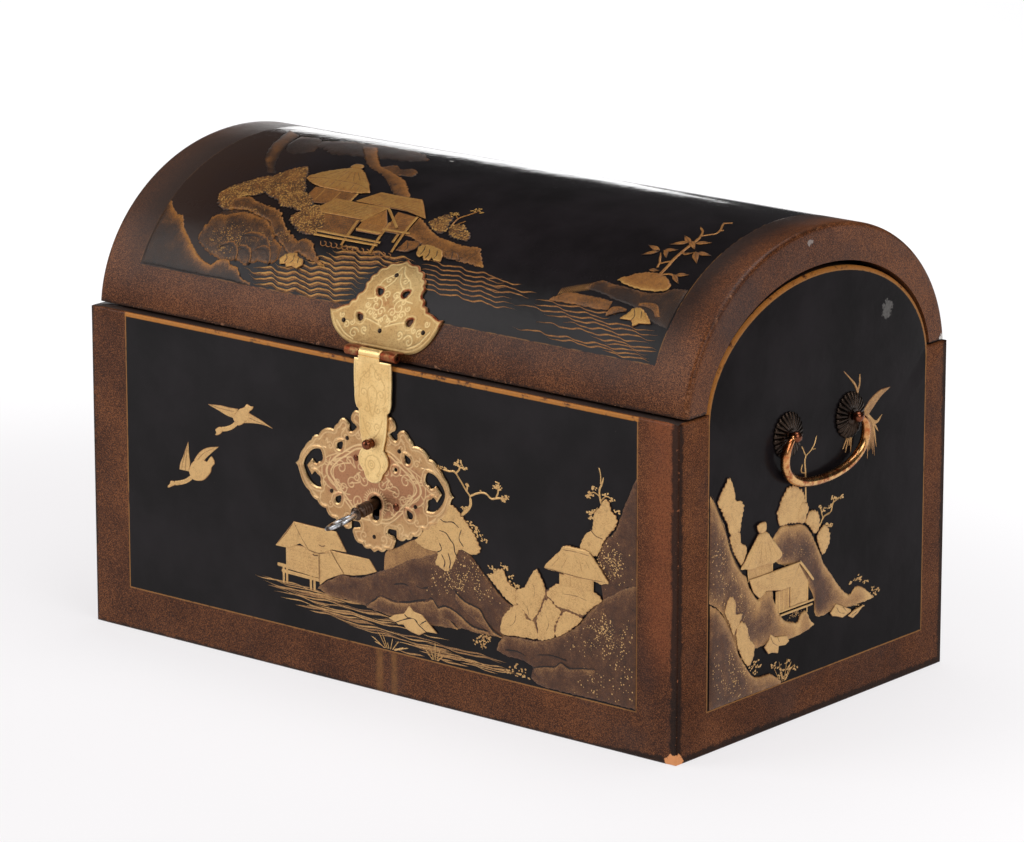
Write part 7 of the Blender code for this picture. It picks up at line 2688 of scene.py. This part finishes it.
@dataclass
class Handles:
    """Both bail handles: fluted rosettes, studs with ball eyes, and bails."""
    rosette: float = 16.5
    height: float = 4.2
    petals: int = 24
    stud: float = 2.0
    ball: float = 4.0
    reach: float = 8.0
    bail: float = 3.3
    pin: float = 1.8
    half_width: float = 46.6
    drop: float = 37.5
    shoulder: float = 14.0
    lean: float = math.radians(5.0)

    def flower(self, side: int, y: float) -> tuple[Array, list, Array]:
        """A domed flower of petals: each petal is rounded across, and a raised boss stands in the middle.

        Args:
            side: 1 on the right end and -1 on the left.
            y: where it sits.

        Returns:
            The points, the faces and the groove values.
        """
        a = np.linspace(0, 2 * math.pi, self.petals * 12, endpoint=False)[None, :]
        share = np.array((0.0, 0.02, 0.10, 0.18, 0.24, 0.30, 0.42, 0.55, 0.68, 0.80, 0.90, 0.96, 1.0,
                          1.0))[:, None]
        across = np.abs(np.sin(a * self.petals / 2)) ** 0.55
        petal = share > 0.26
        radius = 2.3 + (self.rosette - 2.3) * share
        radius = radius * np.where(petal, 1 - 0.055 * (1 - across) * share, 1)
        height = self.height * np.sqrt(np.maximum(0, 1 - 0.93 * share ** 2.4))
        height = height - np.where(petal, 1.1 * (1 - across) * np.minimum(1, (share - 0.26) * 4), 0.0)
        height = height - 0.9 * np.exp(-((share - 0.26) / 0.035) ** 2)
        height = np.maximum(height + 0 * a, 0.15)
        height[-1] = 0.0
        groove = np.where(petal, (1 - across) * 0.9, 0.2) + 0 * height
        face = RIGHT if side > 0 else LEFT
        u, v = side * y + radius * np.cos(a), SIZES.handle_height + radius * np.sin(a)
        points = face.place(u, v, height + SIZES.gap)
        return points, quads(*height.shape, loop=True, flip=True).tolist(), groove.ravel()

    def peg(self, side: int, y: float) -> tuple[Array, list]:
        """A stud: its shank, a collar on the rosette and the ball eye.

        Args:
            side: 1 on the right end and -1 on the left.
            y: where it sits.

        Returns:
            The points in metres and the faces.
        """
        a = np.linspace(0.22 * math.pi, math.pi, 14)
        profile = [(-8.0, 0.0), (-8.0, self.stud), (4.0, self.stud), (4.9, self.stud), (4.9, 2.5), (5.2, 2.7),
                   (5.5, 2.4), *zip(self.reach - self.ball * np.cos(a), self.ball * np.sin(a))]
        return revolve(profile, 28, (side * SIZES.half_length, y, SIZES.handle_height), (side, 0, 0))

    def bow(self, side: int) -> tuple[Array, list, Array]:
        """The bail: pins turned in through the eyes, round shoulders and a long flat belly.

        Args:
            side: 1 on the right end and -1 on the left.

        Returns:
            The points, the faces and the rub values.
        """
        eye = SIZES.handle_pitch / 2
        shoulder = self.half_width - eye
        a = np.linspace(math.pi / 2, 0, 12)[3:]
        b = np.linspace(0, math.pi / 2, 26)[1:]
        belly_y = self.half_width * np.cos(b) ** 0.9
        belly_z = -self.shoulder - (self.drop - self.shoulder) * np.sin(b) ** 0.9
        y = np.concatenate([[eye - 1.0, eye + 2.0, eye + 4.2], eye + shoulder * np.cos(a), belly_y])
        z = np.concatenate([[0.0, 0.0, 0.0], self.shoulder * (np.sin(a) - 1), belly_z])
        widths = (self.pin, self.pin, self.bail * 0.8, self.bail, self.bail)
        thick = np.interp(np.arange(len(y)), (0, 2, 5, 9, len(y)), widths)
        half = np.column_stack([y, z])
        line = np.vstack([half, (half * (-1, 1))[-2::-1]])
        thick = np.concatenate([thick, thick[-2::-1]])
        line = spline(line, 3 * len(line))
        thick = np.interp(np.linspace(0, 1, len(line)), np.linspace(0, 1, len(thick)), thick)
        path = np.column_stack([np.zeros(len(line)), line[:, 0] + SIZES.handle_offset, line[:, 1]])
        points, faces = tube(path, thick, 24)
        lean = np.array(Matrix.Rotation(side * self.lean, 3, "Y"))
        centre = MM * np.array((side * (SIZES.half_length + self.reach), 0.0, SIZES.handle_height))
        rub = np.clip(0.35 + points[:, 2] / MM / -60, 0, 0.9)
        return points @ lean.T + centre, faces, rub

    def build(self, finishes: Finishes) -> None:
        """Makes both handles.

        Args:
            finishes: the coffer's materials.
        """
        for word, side, body in (("left", -1, Body.LEFT_BAIL), ("right", 1, Body.RIGHT_BAIL)):
            for where, y in (("front", -SIZES.handle_pitch / 2), ("back", SIZES.handle_pitch / 2)):
                y += SIZES.handle_offset
                points, faces, groove = self.flower(side, y)
                make(f"{word}_{where}_flower", points, faces, [finishes.bronze], Body.CASE, Slot.BRONZE,
                     [f"{word}_{where}_rosette"], values={"groove": groove, "rub": np.zeros(len(groove))},
                     sharp=70)
                points, faces = self.peg(side, y)
                make(f"{word}_{where}_eye", points, faces, [finishes.red], Body.CASE, Slot.COPPER,
                     [f"{word}_{where}_stud"], values=bare(points))
            points, faces, rub = self.bow(side)
            make(f"{word}_bow", points, faces, [finishes.copper], body, Slot.COPPER, [f"{word}_bail"],
                 values={"groove": np.zeros(len(rub)), "rub": rub})


class Hinges:
    """The two plain hinges on the back, from the CAD nodes, with nails added."""

    def build(self, finishes: Finishes) -> None:
        """Finishes the leaves and sets nails in them.

        Args:
            finishes: the coffer's materials.
        """
        case_heads, lid_heads = [], []
        for word, x in (("left", -155.0), ("right", 155.0)):
            for part in ("hinge_lid_leaf", "hinge_case_leaf", "hinge_pin"):
                dress(f"{word}_{part}", finishes.rose)
            for u, v in ((-11, 16), (11, 16), (0, 34)):
                case_heads.append(nail(BACK, -x + u, 239.6 - v, 1.8, 1.5))
                lid_heads.append(nail(LID, x + u, LID.arc[-1] + 0.8 - v, 1.8, 1.5))
        sets = (("case_hinge_nails", case_heads, Body.CASE), ("lid_hinge_nails", lid_heads, Body.LID))
        for name, heads, body in sets:
            points, faces = joined(*heads)
            make(name, points, faces, [finishes.gilt], body, Slot.GILT, values=bare(points))


@dataclass
class Studio:
    """A pale floor, soft lights and the camera of the photograph."""
    target: tuple[float, float, float] = (-0.00142, 0.0, 0.16500)
    distance: float = 3.9377
    azimuth: float = math.radians(39.554)
    elevation: float = math.radians(14.743)
    roll: float = math.radians(-0.016)
    lens: float = 192.37
    sensor: float = 36.0
    floor_half: float = 9.0
    floor_back: float = 3.4
    shade_centre: tuple[float, float, float] = (-140.0, -260.0, 0.0)
    shade_from: float = 480.0
    shade_to: float = 1100.0

    def floor(self) -> None:
        """One large sheet, lit and glowing, that ends just behind the picture's edge; its glow is dimmed
        round the coffer, a painted shadow.
        """
        w = Wiring("paper_floor")
        # Painted shadow: the floor's glow is dimmer near the coffer and brighter far from it.
        shade = w.step(w.apart(self.shade_centre), self.shade_from, self.shade_to)
        tint = w.mix(w.noise(0.002, 2), linear(128, 127, 128), linear(134, 133, 134))
        glow = w.mix(shade, linear(223, 221, 222), linear(247, 247, 248))
        w.set(Base_Color=tint, Roughness=0.9, Specular_IOR_Level=0.0, Emission_Color=glow,
              Emission_Strength=0.97)
        mesh = bpy.data.meshes.new("floor")
        half, back = self.floor_half, self.floor_back
        points = np.array([(-half, -half, 0.0), (half, -half, 0.0), (half, back, 0.0), (-half, back, 0.0)])
        turn = np.array(Matrix.Rotation(self.azimuth, 3, "Z"))
        mesh.from_pydata((points @ turn.T).tolist(), [], [(0, 1, 2, 3)])
        mesh.materials.append(w.material)
        floor = bpy.data.objects.new("floor", mesh)
        bpy.context.scene.collection.objects.link(floor)

    def light(self, name: str, place: Sequence[float], size: tuple[float, float], power: float,
              tilt: float = 0.0) -> None:
        """A soft oblong light aimed at the coffer, turned in its own plane by its tilt.

        Args:
            name: its name.
            place: where it hangs, in metres.
            size: its width and height.
            power: its watts.
            tilt: how far it is turned in its own plane.
        """
        lamp = bpy.data.lights.new(name, "AREA")
        lamp.shape = "RECTANGLE"
        lamp.size, lamp.size_y = size
        lamp.energy = power
        thing = bpy.data.objects.new(name, lamp)
        thing.location = place
        aim = Vector(self.target) - Vector(place)
        turn = aim.to_track_quat("-Z", "Y").to_matrix() @ Matrix.Rotation(tilt, 3, "Z")
        thing.rotation_euler = turn.to_euler()
        thing.visible_camera = False
        bpy.context.scene.collection.objects.link(thing)

    def build(self) -> None:
        """Sets up the floor, the lights, the surroundings and the camera."""
        scene = bpy.context.scene
        scene.view_settings.view_transform = "Standard"
        self.floor()
        self.light("left_softbox", (-1.7, -1.9, 1.5), (2.2, 2.0), 46)
        self.light("right_softbox", (2.2, -0.9, 1.5), (1.6, 1.6), 30)
        self.light("top_softbox", (0.2, 0.3, 2.4), (2.0, 1.4), 36)
        self.light("back_softbox", (-2.05, 2.0, 0.46), (1.2, 0.5), 4.5, math.radians(20.0))
        world = bpy.data.worlds.new("studio")
        world.use_nodes = True
        world.node_tree.nodes["Background"].inputs["Color"].default_value = (0.98, 0.99, 1.0, 1.0)
        world.node_tree.nodes["Background"].inputs["Strength"].default_value = 0.05
        scene.world = world
        back = Vector((math.sin(self.azimuth) * math.cos(self.elevation),
                       -math.cos(self.azimuth) * math.cos(self.elevation), math.sin(self.elevation)))
        camera = bpy.data.cameras.new("camera")
        camera.lens = self.lens
        camera.sensor_width = self.sensor
        thing = bpy.data.objects.new("camera", camera)
        thing.location = Vector(self.target) + self.distance * back
        turn = back.to_track_quat("Z", "Y").to_matrix() @ Matrix.Rotation(self.roll, 3, "Z")
        thing.rotation_euler = turn.to_euler()
        scene.collection.objects.link(thing)
        scene.camera = thing


def main() -> None:
    """Builds the coffer's looks in order."""
    logging.basicConfig(level=logging.INFO, format="%(message)s")
    finishes = Finishes()
    Studio().build()
    Case().build(finishes)
    Vault().build(finishes)
    FrontPicture(seed=11).build(finishes.gold)
    EndPicture(seed=23, full=True).build(finishes.gold)
    EndPicture(seed=29, full=False).build(finishes.gold)
    BackPicture(seed=53).build(finishes.gold)
    LidPicture(seed=37).build(finishes.dull_gold)
    LockPlate().build(finishes)
    Hasp().build(finishes)
    Key().build(finishes)
    Handles().build(finishes)
    Hinges().build(finishes)
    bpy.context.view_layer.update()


if __name__ == "__main__":
    main()
